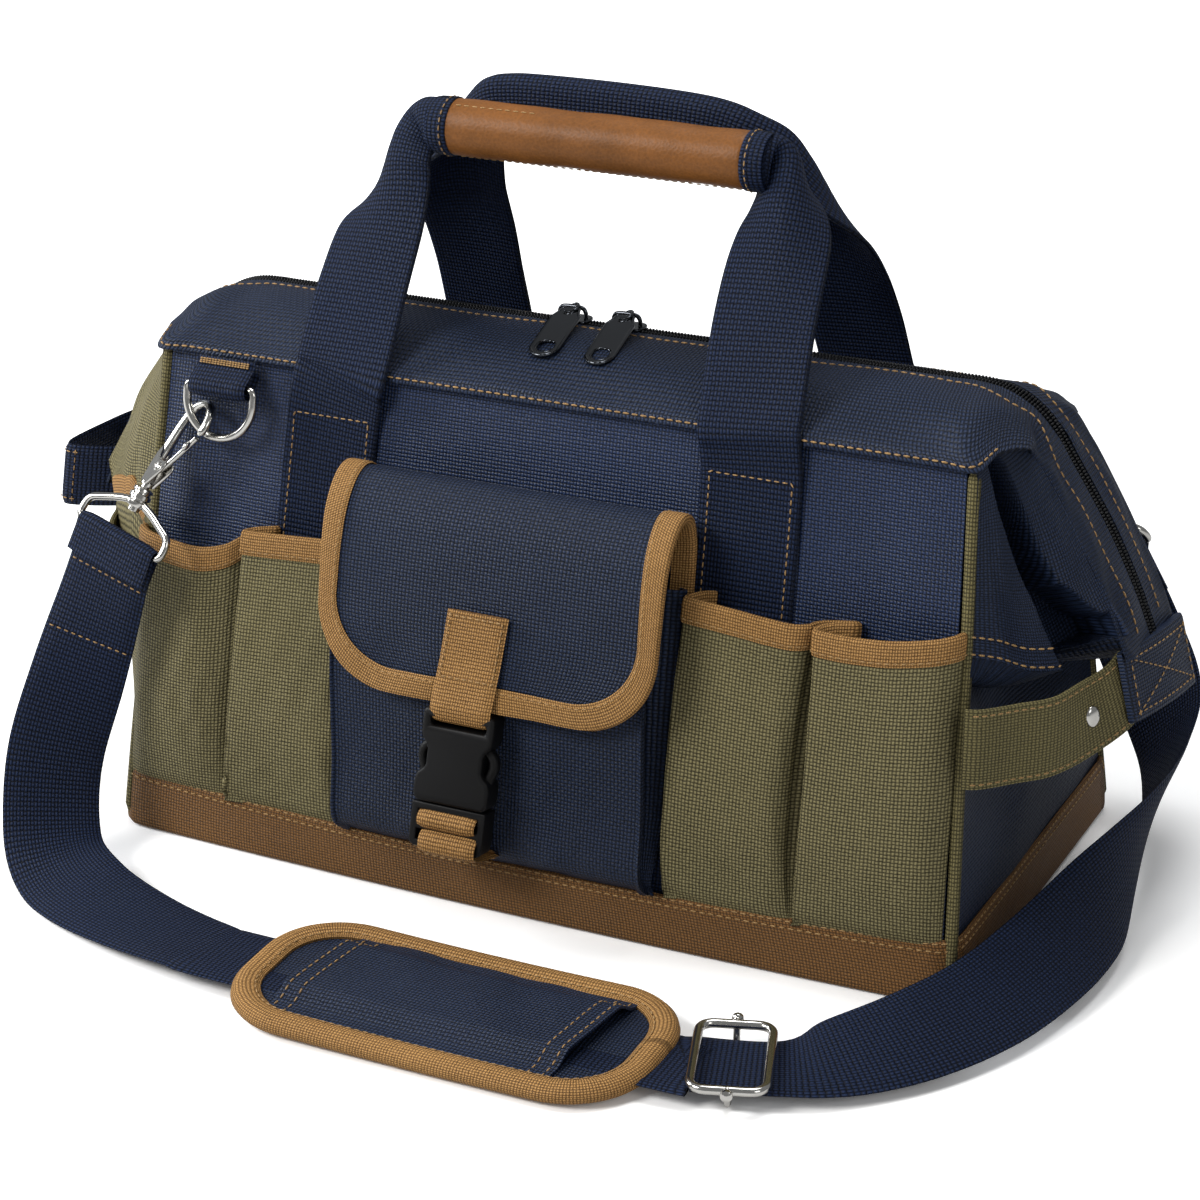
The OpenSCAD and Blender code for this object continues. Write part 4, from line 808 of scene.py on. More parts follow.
def shoulder_pad():
    a, b, r = PAD_L / 2, PAD_W / 2, 31.0
    outline = round_box(a, b, r, 144)
    # base pad: rings from the middle of the top over the rim to the middle underneath
    rings = []
    for share, z in ((0.0, 4.6), (0.35, 4.5), (0.7, 4.3), (0.88, 3.9)):
        ring = outline * share
        rings.append(np.column_stack([ring, pad_height(ring[:, 0], ring[:, 1]) + z]))
    for share, z in ((0.88, 0.5), (0.5, 0.1), (0.0, 0.1)):
        ring = outline * share
        rings.append(np.column_stack([ring, pad_height(ring[:, 0], ring[:, 1]) + z]))
    p = np.stack(rings, 1) + np.array([PAD_X, PAD_Y, 0])
    n, m = p.shape[:2]
    faces = turn_faces(n, m)
    base = make_object("pad_base", p.reshape(-1, 3), faces, FINISH["navy"], p.reshape(-1, 3)[:, :2])
    weld(base)
    settle(base, "root", "navy_webbing", "shoulder_pad")
    # binding: a soft folded rim round the whole outline
    rim = []
    normal = unit(np.stack([np.gradient(outline[:, 1]), -np.gradient(outline[:, 0])], 1))
    for dx, z in ((-10.5, 4.9), (-9.0, 5.6), (-5, 6.6), (-1.5, 6.0), (0.2, 4.2), (0.6, 2.4), (-0.6, 0.6),
                  (-4, -0.3), (-9.0, -0.2), (-10.2, 0.5)):
        ring = outline + normal * dx
        rim.append(np.column_stack([ring, pad_height(ring[:, 0], ring[:, 1]) + z]))
    p = np.stack(rim, 1) + np.array([PAD_X, PAD_Y, 0])
    n, m = p.shape[:2]
    faces = turn_faces(n, m, closed=True)
    around = run_along(outline)
    flat = np.stack([np.tile(np.arange(m) * 2.6, n), np.repeat(around, m)], 1)
    binding = make_object("pad_binding", p.reshape(-1, 3), faces, FINISH["tan"], flat)
    settle(binding, "root", "tan_tape")
    # cover sleeve across the middle, over the strap
    def cover(x, y):
        s = np.clip(np.abs(y) / (b - 9), 0, 1)
        strap = 5.4 * (1 - ease((np.abs(y) - 15) / 9))
        return pad_height(x, y) + 5.0 + strap * 0.75 + 1.6 * (1 - s ** 2) + 0.25 * ripples(x / 80, y / 80, 3)
    xs, ys = np.linspace(-57, 57, 70), np.linspace(-(b - 8.6), b - 8.6, 50)
    gx, gy = np.meshgrid(xs, ys, indexing="ij")
    lean = gx + 6.0 * gy / b
    p = np.stack([lean + PAD_X, gy + PAD_Y, cover(gx, gy)], 2)
    top = Patch(p)
    sleeve = cloth_piece("pad_sleeve", top, FINISH["navy"], 1.0)
    settle(sleeve, "root", "navy_twill")
    lines = [top.line([(s, 0.02), (s, 0.98)]) for s in (0.02, 0.07, 0.93, 0.98)]
    ring = outline + normal * -8.6
    seam = np.column_stack([ring, pad_height(ring[:, 0], ring[:, 1]) + 5.95]) + np.array([PAD_X, PAD_Y, 0])
    lines.append(np.vstack([seam, seam[:1]]))
    stitches("pad_stitches", lines, "root", "tan_tape", step=3.4, length=2.4, radius=0.34)
    return base, binding, sleeve


def weld(obj, gap=0.01):
    bm = bmesh.new()
    bm.from_mesh(obj.data)
    bmesh.ops.remove_doubles(bm, verts=bm.verts[:], dist=gap * MM)
    bm.to_mesh(obj.data)
    bm.free()
    obj.data.shade_smooth()


def strap_adjuster():
    """Ring of bent wire round the strap, with a bar through it that ends in two small knobs."""
    cx, cy, turn, r = 126.0, -174.5, math.radians(19), 1.75
    a, b = 30 / 2 - r, STRAP_W / 2 + 0.3 + 2 * r
    outline = round_box(a, b, 5.5, 96)
    ring = np.column_stack([outline, np.full(len(outline), 9.0)])
    parts = [tube(ring, r, 12, closed=True)]
    bar = smooth_line([(0, -b, 9.0), (0, -b + 1, 4.5), (0, -b + 4, 2.4), (0, 0, 2.2), (0, b - 4, 2.4), (0, b - 1, 4.5),
                       (0, b, 9.0)], 60)
    parts.append(tube(bar, 1.3, 10))
    for s in (-1, 1):
        knob = [(0, s * (b + 0.5), 9.2), (0, s * (b + 2.0), 9.2), (0, s * (b + 2.6), 9.2), (0, s * (b + 4.2), 9.2),
                (0, s * (b + 5.2), 9.2)]
        parts.append(tube(smooth_line(knob, 12), np.interp(np.linspace(0, 1, 12), [0, .3, .5, .85, 1],
                                                           [1.6, 1.2, 2.2, 2.2, 0.6]), 12))
    v, f, m = joined(parts)
    c, s = math.cos(turn), math.sin(turn)
    v = v @ np.array([[c, s, 0], [-s, c, 0], [0, 0, 1]]) + np.array([cx, cy, 0])
    wire = make_object("adjuster_wire", v, f, FINISH["silver"], m)
    settle(wire, "root", "polished_metal", "strap_adjuster")
    return wire


place_camera()
strap, strap_path = shoulder_strap()
pad_pieces = shoulder_pad()
adjuster = strap_adjuster()


# ---------------------------------------------------------------- walls, base and piping

def half_at(z):
    return HALF_L - z * math.tan(END_LEAN)


def front_y(z):
    return -HALF_D + z * math.tan(FRONT_LEAN)


def back_y(z):
    return HALF_D - z * math.tan(BACK_LEAN)


def on_front(x, up, off):
    """A point given across, up the front wall and out from it."""
    c, s = math.cos(FRONT_LEAN), math.sin(FRONT_LEAN)
    x, up, off = np.broadcast_arrays(np.asarray(x, float), up, off)
    return np.stack([x, -HALF_D - off * c + up * s, off * s + up * c], -1)


def on_back(x, up, off):
    c, s = math.cos(BACK_LEAN), math.sin(BACK_LEAN)
    x, up, off = np.broadcast_arrays(np.asarray(x, float), up, off)
    return np.stack([x, HALF_D + off * c - up * s, off * s + up * c], -1)


def front_wall():
    us, zs = np.linspace(0, 1, 150), np.linspace(14, 198.5, 100)
    u, z = np.meshgrid(us, zs, indexing="ij")
    half = half_at(z) - 4.2
    x = (2 * u - 1) * half
    v = (z - 14) / 184.5
    puff = 1.6 * np.sin(math.pi * u) ** 0.6 * np.sin(math.pi * v) + 0.35 * ripples(u * 2, v, 11)
    # folds that run down from the ring and beside the handles
    puff += 2.0 * bump_at(u, v, 0.035, 0.72, 0.03, 0.22) - 1.5 * bump_at(u, v, 0.085, 0.8, 0.03, 0.25)
    puff += 1.2 * bump_at(u, v, 0.16, 0.72, 0.03, 0.2) - 1.0 * bump_at(u, v, 0.21, 0.85, 0.02, 0.2)
    puff += 1.3 * bump_at(u, v, 0.95, 0.75, 0.03, 0.3) - 0.8 * bump_at(u, v, 0.88, 0.85, 0.03, 0.15)
    puff += 0.9 * bump_at(u, v, 0.5, 0.93, 0.25, 0.06)
    up = z / math.cos(FRONT_LEAN)
    bow = 6.0 * belly(x) * np.clip(1 - z / 80, 0, 1) ** 1.4
    p = on_front(x, up, np.minimum(puff, 2.4) * np.sin(math.pi * np.clip(v, 0.0, 1.0)) ** 0.3 + bow)
    return Patch(p)


def back_wall():
    us, zs = np.linspace(0, 1, 110), np.linspace(14, 178, 70)
    u, z = np.meshgrid(us, zs, indexing="ij")
    x = (1 - 2 * u) * (half_at(z) - 4.2)
    v = (z - 14) / 164
    puff = 1.6 * np.sin(math.pi * u) ** 0.6 * np.sin(math.pi * v) + 0.4 * ripples(u * 2, v, 12)
    return Patch(on_back(x, z / math.cos(BACK_LEAN), np.clip(puff, 0, 2.4)))


def end_top(s):
    """Upper edge of the right end panel: it folds in between the corners. s runs from front to back."""
    knots = [(171.5, -75.0, 117), (166, -62, 113), (158, -44, 109), (152, -26, 107), (149, -6, 106),
             (151, 12, 106.5), (157, 28, 107.5), (164, 47, 109.5), (171, 64.0, 112)]
    return smooth_line(knots, 90)[(np.clip(s, 0, 1) * 89).astype(int)]


def end_wall():
    s = np.linspace(0, 1, 80)
    top = end_top(s)
    rows = []
    for z in (14.0, 40.0, 66.0, 84.0, 98.0):
        y = front_y(z) + 4 + s * (back_y(z) - front_y(z) - 8)
        k = ease((z - 45) / 62)
        deep = 0.72 * k * (172 - top[:, 0])
        puff = 1.2 * np.sin(math.pi * s) * (1 - k)
        rows.append(np.column_stack([half_at(z) - 0.6 - deep + puff, y, np.full_like(s, z)]))
    rows.append(top)
    cols = np.stack(rows, 1)
    p = np.stack([catmull(c, 44) for c in cols])
    p[:, :, 0] += 0.5 * ripples(s[:, None], np.linspace(0, 1, 44)[None], 21) * np.sin(math.pi * s)[:, None]
    return Patch(p)


def fold_wall(front_wing, back_wing):
    """Inner fold of the end gusset, from the wings' lower edges down and in to the end panel."""
    under_tab = [(216, -29, 124), (218.5, -20, 118), (219.5, -8.5, 116), (218.5, 3, 118), (216, 13, 124)]
    edge = np.concatenate([front_wing.p[:-2, 0], under_tab, back_wing.p[-3::-1, 0]])
    outer = even(edge, 240)
    inner = end_top(np.linspace(0, 1, 240))
    mid = (outer + inner) / 2
    pull = np.sin(math.pi * np.linspace(0, 1, 240))[:, None]
    mid = mid + pull * np.array([-5.0, 0, -5.0])
    near = np.exp(-((np.linspace(0, 1, 240) - 0.1) / 0.07) ** 2)[:, None]
    mid = mid + near * np.array([3.5, -3.5, 0])
    p = np.stack([catmull([o, m, i], 26) for o, m, i in zip(outer, mid, inner)])
    return Patch(p)


def coons(left, right, bottom, top, n, m):
    """A sheet between four edge lines: left and right run up, bottom and top run across."""
    l, r = smooth_line(left, m), smooth_line(right, m)
    b, t = smooth_line(bottom, n), smooth_line(top, n)
    a = np.linspace(0, 1, n)[:, None, None]
    c = np.linspace(0, 1, m)[None, :, None]
    across = (1 - a) * l[None] + a * r[None]
    upward = (1 - c) * b[:, None] + c * t[:, None]
    flat = (1 - a) * (1 - c) * b[0] + a * (1 - c) * b[-1] + (1 - a) * c * t[0] + a * c * t[-1]
    return across + upward - flat


def wing(front, folded=True):
    """Gusset cloth at the right end: a panel beside the piping, then a deep fold under the collar's end strip.
    Unfolded it swells outward instead, as the left end does."""
    if front:
        left = [(171.4, -73.2, 129), (169.6, -68.5, 160), (168.2, -62.5, 197)]
        right = [(217.5, -34.2, 131), (202, -34.4, 157), (186, -34.6, 184), (176, -36, 197), (172, -42, 201)]
        bottom = [(171.4, -73.2, 129), (180, -65.5, 126), (191, -56, 120.5), (206, -43, 121), (217.5, -34.2, 131)]
        top = [(168.2, -62.5, 197), (170, -52, 199.5), (172, -42, 201)]
    else:
        left = [(171.2, 64.4, 121), (169.8, 57, 144), (168.6, 51, 166), (168.0, 49.5, 176)]
        right = [(217.5, 17.2, 131), (202, 17.2, 157), (186, 17.2, 184), (174, 18, 197), (170, 22, 196)]
        bottom = [(171.2, 64.4, 121), (180, 56, 119), (190, 46, 117), (206, 31, 120), (217.5, 17.2, 131)]
        top = [(168.0, 49.5, 176), (169, 36, 187), (170, 22, 196)]
    n, m = 120, 96
    p = coons(left, right, bottom, top, n, m)
    a, b = np.meshgrid(np.linspace(0, 1, n), np.linspace(0, 1, m), indexing="ij")
    lip = np.interp(b, [0, 0.3, 0.45, 0.75, 1.0], [0.58, 0.5, 0.43, 0.3, 0.24])
    gap = np.interp(b, [0, 0.3, 0.5, 0.8, 1.0], [0.2, 0.14, 0.15, 0.2, 0.2])
    deep = np.interp(b, [0, 0.3, 0.6, 0.9, 0.985, 1.0], [26, 25, 20, 13, 3, 0])
    groove = deep * ease((a - lip) / 0.045) * (1 - ease((a - lip - gap) / 0.13))
    roof = 0.36 - 0.22 * ease((a - 0.72) / 0.24)
    hollow = 27.0 * ease((a - lip) / 0.05) * ease((roof - b) / 0.07) * (1 - ease((a - 0.93) / 0.07))
    sink = np.maximum(groove, hollow)
    if not folded:
        sink = -7.0 * np.sin(math.pi * a) * np.sin(math.pi * np.clip(b + 0.15, 0, 1)) ** 0.8
    crease = 1.2 * bump_at(a + 0.25 * b, b, 0.33, 0.3, 0.06, 0.3) * np.sin(math.pi * a)
    swell = -2.2 * bump_at(a, b, 0.84, 0.5, 0.1, 0.18) - 1.2 * bump_at(a, b, 0.22, 0.45, 0.14, 0.3)
    sink = sink + crease + swell + 0.4 * ripples(a, b, 31) * np.sin(math.pi * a) * (1 - b)
    inward = np.array([-0.74, 0.6 if front else -0.6, -0.22])
    p = p + sink[..., None] * inward
    return Patch(p, flip=not front)


def mirrored(patch):
    """The same sheet at the left end."""
    flip = np.array([-1.0, 1.0, 1.0])
    twin = Patch(patch.p * flip)
    twin.n = patch.n * flip
    return twin


def facing(patch, direction):
    """Makes the patch's normals point towards a direction on the whole."""
    if (patch.n @ np.asarray(direction, float)).sum() < 0:
        patch.n = -patch.n
    return patch


def belly(x):
    """How far the foot of the front bows out between the corners."""
    return np.clip(1 - (np.asarray(x, float) / 176) ** 2, 0, 1)


def base_ring(z, grow, r, count=220):
    """Outline of the bag's foot at height z; its front bows out and its upper edge sags there."""
    half = half_at(z) + grow
    y0, y1 = front_y(z) - grow, back_y(z) + grow
    outline = round_box(half, (y1 - y0) / 2, r, count)
    front = belly(outline[:, 0]) * ease((-outline[:, 1] - (y1 - y0) / 2 + 14) / 14)
    out = front * (4.0 + 3.0 * min(z, 25) / 25)
    sink = 3.2 * front ** 0.7 * ease((z - 6) / 18)
    return np.column_stack([outline[:, 0], outline[:, 1] + (y0 + y1) / 2 - out, z - sink])


def base_pieces():
    rings = [base_ring(0.25, -0.6, 8), base_ring(1.6, 1.2, 8), base_ring(8, 1.8, 8), base_ring(17, 1.9, 8),
             base_ring(23.6, 1.8, 8), base_ring(25.3, 1.0, 7), base_ring(25.0, 0.1, 7)]
    p = np.stack(rings, 1)
    fine = np.stack([catmull(c, 26) for c in p])
    band = facing(Patch(fine), (0, 0, 0))
    outward = fine - np.array([0, 0, 12.0])
    band.n = band.n * (1.0 if (band.n * outward).sum() > 0 else -1.0)
    obj = cloth_piece("base_band_wrap", band, FINISH["brown"], 1.2, closed=True)
    settle(obj, "root", "brown_canvas", "base_band")
    lines = []
    for share in (0.60, 0.70):
        row = band.spot(band.p, np.linspace(0, 1, 500), np.full(500, share))
        nrm = unit(band.spot(band.n, np.linspace(0, 1, 500), np.full(500, share)))
        lines.append(row + 0.15 * nrm)
    stitches("base_stitches", lines, "root", "tan_tape", step=3.5, length=2.6, radius=0.36)
    # sole under the bag, with a folded edge
    slab = np.stack([base_ring(0.0, -12, 4) * [1, 1, 0], base_ring(0.05, -1.5, 7), base_ring(0.6, -0.3, 8),
                     base_ring(2.2, -0.4, 8), base_ring(2.4, -1.5, 7)], 1)
    n, m = slab.shape[:2]
    faces = turn_faces(n, m)
    faces += [tuple(i * m for i in range(n)), tuple(i * m + m - 1 for i in range(n))[::-1]]
    sole = make_object("base_sole", slab.reshape(-1, 3), faces, FINISH["brown"], slab.reshape(-1, 3)[:, :2])
    settle(sole, "root", "brown_canvas", "base_floor")


def corner_piping():
    parts = []
    for s in (1, -1):
        for lean, top, way in ((FRONT_LEAN, 195.5, -1), (BACK_LEAN, 174.5, 1)):
            zs = np.linspace(4.0, top, 50)
            inset = zs * math.tan(lean) + 2.4
            wob = 0.35 * np.sin(zs / 17.0 + (1 if way > 0 else 0))
            path = np.column_stack([s * (half_at(zs) - 1.6 + wob * 0.4),
                                    way * (HALF_D - inset + 0.9), zs])
            ends = np.interp(zs, [zs[0], zs[0] + 2, zs[-1] - 2, zs[-1]], [0.4, 1, 1, 0.5])
            parts.append(tube(path, 2.45 * ends, 12))
    verts, faces, flat = joined(parts)
    obj = make_object("corner_piping_cord", verts, faces, FINISH["olive_tape"], flat)
    settle(obj, "root", "olive_webbing", "corner_piping")


def build_shell():
    wall = facing(front_wall(), (0, -1, 0))
    # the front wall takes the navy copy whose colour is painted lighter and bluer as sheen
    settle(cloth_piece("front_wall", wall, FINISH["navy_panel_painted_sheen"], 2.4), "root", "navy_twill", "front_panel")
    rear = facing(back_wall(), (0, 1, 0))
    settle(cloth_piece("back_wall", rear, FINISH["navy"], 2.4), "root", "navy_twill", "back_panel")
    end = facing(end_wall(), (1, 0, 0))
    front_wing = facing(wing(True), (1, -1, 0.2))
    back_wing = facing(wing(False), (1, 1, 0.2))
    fold = facing(fold_wall(front_wing, back_wing), (1, 0, 0))
    full_front, full_back = facing(wing(True, False), (1, -1, 0.2)), facing(wing(False, False), (1, 1, 0.2))
    full_fold = facing(fold_wall(full_front, full_back), (1, 0, 0))
    for name, patch, full, node in (("end_wall", end, end, "end_panel"), ("end_fold", fold, full_fold, "gusset"),
                                    ("front_wing", front_wing, full_front, None),
                                    ("back_wing", back_wing, full_back, None)):
        for side in ("right", "left"):
            shape = patch if side == "right" else mirrored(full)
            cloth, slot = ("navy", "navy_twill") if side == "right" else ("olive", "olive_twill")
            obj = cloth_piece(f"{side}_{name}", shape, FINISH[cloth], 1.4)
            settle(obj, "root", slot, *([f"{side}_{node}"] if node else []))
    lines = [front_wing.line([(0.02, 0.02), (0.62, 0.02)]), front_wing.line([(0.02, 0.11), (0.63, 0.1)])]
    stitches("right_wing_stitches", lines, "root", "tan_tape", step=3.4)
    twin = mirrored(full_front)
    stitches("left_wing_stitches", [twin.line([(0.02, 0.02), (0.6, 0.02)])], "root", "tan_tape", step=3.4)
    base_pieces()
    corner_piping()


# ---------------------------------------------------------------- top bands and zip

def zip_point(run):
    """Centre of the zip at a run in millimetres from the middle of the bag, in X and Z, on the right."""
    arc = ZIP_R * ZIP_SLOPE
    if run <= ZIP_FLAT:
        return run, ZIP_Z
    if run <= ZIP_FLAT + arc:
        a = math.pi / 2 - (run - ZIP_FLAT) / ZIP_R
        return ZIP_FLAT + ZIP_R * math.cos(a), ZIP_Z - ZIP_R + ZIP_R * math.sin(a)
    x, z = zip_point(ZIP_FLAT + arc)
    k = run - ZIP_FLAT - arc
    # the fall steepens near the end, where the strip bends down to its tab
    bend = 0.0035 * max(k - 24.0, 0.0) ** 2
    return x + k * math.cos(ZIP_SLOPE) - 0.5 * bend, z - k * math.sin(ZIP_SLOPE) - 0.12 * bend


ZIP_RUN = ZIP_FLAT + ZIP_R * ZIP_SLOPE + ZIP_FALL


def zip_path(y, lift=0.0, count=500, limit=ZIP_RUN):
    """The zip's line from tab to tab at depth y, lifted outwards."""
    out = []
    for run in np.linspace(-limit, limit, count):
        x, z = zip_point(abs(run))
        x2, z2 = zip_point(max(abs(run) - 0.5, 0))
        t = unit([x - x2, z - z2]) if abs(run) > 0.5 else np.array([1.0, 0.0])
        out.append((math.copysign(x - t[1] * lift, run), y, z + t[0] * lift))
    return np.array(out)


def band_patch(front):
    """Top band on one side of the zip: a wide collar along the top that narrows to a strip down each end."""
    if front:
        profile = [(-12.2, 210.9), (-15, 211.1), (-23, 210.9), (-34, 210.2), (-43, 208.6), (-52, 205.0),
                   (-60, 201.2), (-64.4, 199.0), (-65.7, 195.6)]
        strip = [-12.2, -15, -20, -25, -28.5, -31, -33, -34.5, -34.9]
        corners = [(172.6, -52, 199.6), (178.6, -39, 197.5)]
    else:
        profile = [(-4.6, 210.2), (-2.6, 209.6), (2, 206.9), (10, 202.9), (21, 197.6), (33, 191.6), (45, 184.9),
                   (52.4, 180.4), (53.6, 176.6)]
        strip = [-4.6, -2.6, 2, 7, 10.5, 13.5, 15.5, 17.3, 17.7]
        corners = [(171.5, 37, 189.5), (177, 24, 192)]
    rows = []
    arc = ZIP_R * ZIP_SLOPE
    for x in (0, 30, 60, 90, 118, 140, 150):
        spread = np.linspace(0, 1, 9) ** 1.2 * (HEM_HALF + 0.8 - ZIP_FLAT) * (x / ZIP_FLAT) ** 3
        rows.append([(x + s, y, z) for s, (y, z) in zip(spread, profile)])
    for share, corner in ((0.33, corners[0]), (0.66, corners[1])):
        x, z = zip_point(ZIP_FLAT + arc * share)
        w = np.linspace(0, 1, 9)
        start = np.array([x, strip[0], z + 0.9])
        row = start + w[:, None] * (np.array(corner) - start)
        row[:, 2] += 3.0 * np.sin(math.pi * w) * (1 - share * 0.6)
        rows.append([tuple(r) for r in row])
    for share in (1.0, 1.3, 1.7, 2.2, 2.8, 3.35):
        run = ZIP_FLAT + arc * min(share, 1.0) + (ZIP_FALL / 2.35) * max(share - 1.0, 0)
        x, z = zip_point(run)
        x2, z2 = zip_point(run - 1.0)
        tx, tz = unit([x - x2, z - z2])
        lifts = [0.9, 1.0, 0.9, 0.7, 0.5, 0.3, 0.0, -0.8, -1.8]
        rows.append([(x - tz * k, y, z + tx * k) for y, k in zip(strip, lifts)])
    left = [[(-x, y, z) for x, y, z in row] for row in rows[:0:-1]]
    p = net(left + rows, 330, 46)
    u = np.linspace(-1, 1, 330)[:, None]
    v = np.linspace(0, 1, 46)[None]
    calm = np.sin(math.pi * np.clip(v, 0, 1)) ** 0.7
    wob = 0.55 * ripples(u * 3, v, 41 if front else 42, low=0.5, high=2.2) * calm
    # the collar is pulled in a little under each handle and swells between
    wob = wob + (0.8 * bump_at(u, v, 0.0, 0.55, 0.16, 0.25) + 0.7 * bump_at(u, v, 0.47, 0.5, 0.06, 0.3)
                 + 0.9 * bump_at(u, v, -0.5, 0.5, 0.06, 0.3)) * (1.0 if front else 0.6)
    patch = facing(Patch(p), (0, 0, 1))
    patch.p = patch.p + patch.n * wob[..., None]
    return patch


def zip_halves():
    tree = row_tree("coil_row", {"Step": 0.0013, "Width": 0.0028, "Height": 0.0024}, (8, 5),
                    {"axis": "X", "pivot_axis": "Y"}, (("Step", 0.46), ("Width", 0.5), ("Height", 0.5)))
    for side, name in ((-1, "front"), (1, "back")):
        y = ZIP_Y + side * 1.85
        row = zip_path(y, 0.2)
        teeth = run_tree(f"{name}_zip_teeth", [row], tree,
                         {"Step": 1.32 * MM, "Width": 2.7 * MM, "Height": 2.3 * MM, "Material": FINISH["coil"]})
        settle(teeth, "root", "zip_coil", recalc=False)
        edges = [ZIP_Y + side * k for k in (0.75, 1.5, 3.0, 4.2, 6.5, 8.5)]
        drops = (-1.0, -1.15, -1.2, -1.3, -2.4, -2.9)
        p = np.stack([zip_path(e, d, 330) for e, d in zip(edges, drops)], 1)
        tape = facing(Patch(p), (0, 0, 1))
        settle(cloth_piece(f"{name}_zip_tape", tape, FINISH["tape"], 0.5), "root", "zip_coil", f"{name}_zip_half")


def build_rods():
    """Steel rods inside the collars, bent down each end like the strip that covers them."""
    for side, name in ((-1, "front"), (1, "back")):
        reach = ZIP_RUN - 6.0
        line = zip_path(ZIP_Y + side * 5.3, -2.9 if side < 0 else -3.6, 260, reach)
        obj = make_object(f"{name}_rod_steel", *tube(line, 2.3, 12)[:2], FINISH["steel"], None)
        settle(obj, "root", "polished_metal", f"{name}_frame_rod")


def build_top():
    build_rods()
    for front, node in ((True, "front_top_band"), (False, "back_top_band")):
        patch = band_patch(front)
        name = "front_collar" if front else "back_collar"
        settle(cloth_piece(name, patch, FINISH["navy"], 1.8), "root", "navy_twill", node)
        if front:
            row = [(0.015, 0.34), (0.2, 0.33), (0.255, 0.24), (0.31, 0.17), (0.69, 0.17), (0.745, 0.24), (0.8, 0.33),
                   (0.985, 0.34)]
        else:
            row = [(0.015, 0.3), (0.2, 0.3), (0.3, 0.2), (0.7, 0.2), (0.8, 0.3), (0.985, 0.3)]
        lines = [patch.line(row, 0.1, 600), patch.line([(0.258, 0.93), (0.742, 0.93)], 0.1, 500)]
        stitches(f"{name}_stitches", lines, "root", "tan_tape", step=3.5)
    zip_halves()


build_shell()
build_top()


# ---------------------------------------------------------------- pockets

def on_wall(front):
    return on_front if front else on_back


def binding(name, edge, out, up, body, slot, nodes=()):
    """Ribbed tape folded over an edge of cloth, with its row of stitches. Out points off the cloth, up past its
    edge."""
    high = 8.6
    section = [(-high, 0.2), (-high + 0.3, 0.8), (-high * 0.55, 1.1), (-1.0, 1.1), (0.5, 0.7), (1.0, -0.4),
               (0.6, -1.5), (-0.8, -2.1), (-high * 0.8, -2.2)]
    line = catmull([(h, o, 0.0) for h, o in section], 16)
    p = edge[:, None] + line[None, :, :1] * up[:, None] + line[None, :, 1:2] * out[:, None]
    patch = Patch(p)
    if (patch.n[:, :6] * out[:, None]).sum() < 0:
        patch.n = -patch.n
    obj = cloth_piece(name, patch, FINISH["tan"], 0.6)
    settle(obj, body, slot, *nodes)
    stitches(f"{name}_stitches_0", [edge + (1.5 - high) * up + 0.95 * out], body, slot, step=3.0, length=2.2,
             radius=0.3)


POCKET_LEVELS = ((0.0, 0.0), (0.07, 0.34), (0.28, 0.72), (0.62, 0.93), (1.0, 1.0))
FOOT_UP = 21.0


def pocket_cloth(knots, seed, front=True, foot=FOOT_UP, n=300, m=64):
    """A row of pockets from one cloth. Each knot is x, off and up at the mouth, x at the foot, how far the layer
    lies off the wall at the foot, and a shift in x halfway up."""
    place = on_wall(front)
    rows = []
    for x1, off1, up1, x0, layer, shift in knots:
        row = []
        for v, s in POCKET_LEVELS:
            x = x0 + (x1 - x0) * v ** 0.8 + shift * math.sin(math.pi * v ** 0.8)
            low = layer + (6.4 * float(belly(x0)) if front else 0.0)
            full = 1.3 * math.sin(math.pi * v ** 0.7) if off1 > 10 else 0.0
            row.append((x, foot + (up1 - foot) * v, low + (off1 - low) * s + full))
        rows.append(row)
    grid = net(rows, n, m)
    a, b = np.linspace(0, 1, n)[:, None], np.linspace(0, 1, m)[None]
    loose = np.clip((grid[..., 2] - 6) / 5, 0, 1)
    slack = 0.5 * ripples(a * 3, b, seed) + 0.35 * ripples(a * 9, b * 2, seed + 1)
    off = grid[..., 2] + loose * slack * (0.25 + 0.75 * (1 - b))
    return facing(Patch(place(grid[..., 0], grid[..., 1], off)), (0, -1 if front else 1, 0))


LEFT_ROW = [
    (-173.6, 0.8, 125, -175.5, 0.3, 0), (-171.0, 6.0, 125.5, -173, 0.5, 0), (-164, 10.5, 124.5, -167, 0.8, 0),
    (-150, 12.4, 122.8, -152, 0.9, 0), (-139, 12.2, 122.6, -141, 0.9, 0), (-130, 10.0, 124.8, -133, 0.9, 0),
    (-124.5, 6.4, 128.5, -128.8, 0.9, 0), (-119.5, 4.0, 131.8, -125, 0.9, 0), (-112.6, 2.6, 133.6, -121, 0.9, 0),
    (-112.2, 4.2, 134.0, -120.8, 1.3, 0), (-116, 6.4, 133.6, -123.5, 1.6, 0), (-119.6, 9.4, 133.0, -126.5, 1.8, 0),
    (-120.6, 12.0, 132.6, -127.3, 1.9, 0), (-117.5, 13.7, 132.6, -125.5, 1.7, 0), (-104, 14.0, 133.4, -110, 1.0, 0),
    (-90, 13.6, 134.2, -94, 0.9, 0), (-78, 13.0, 134.8, -80, 0.8, 0), (-74.6, 9.5, 135, -75.5, 0.6, 0),
    (-74.0, 1.6, 135.5, -74.5, 0.3, 0)]

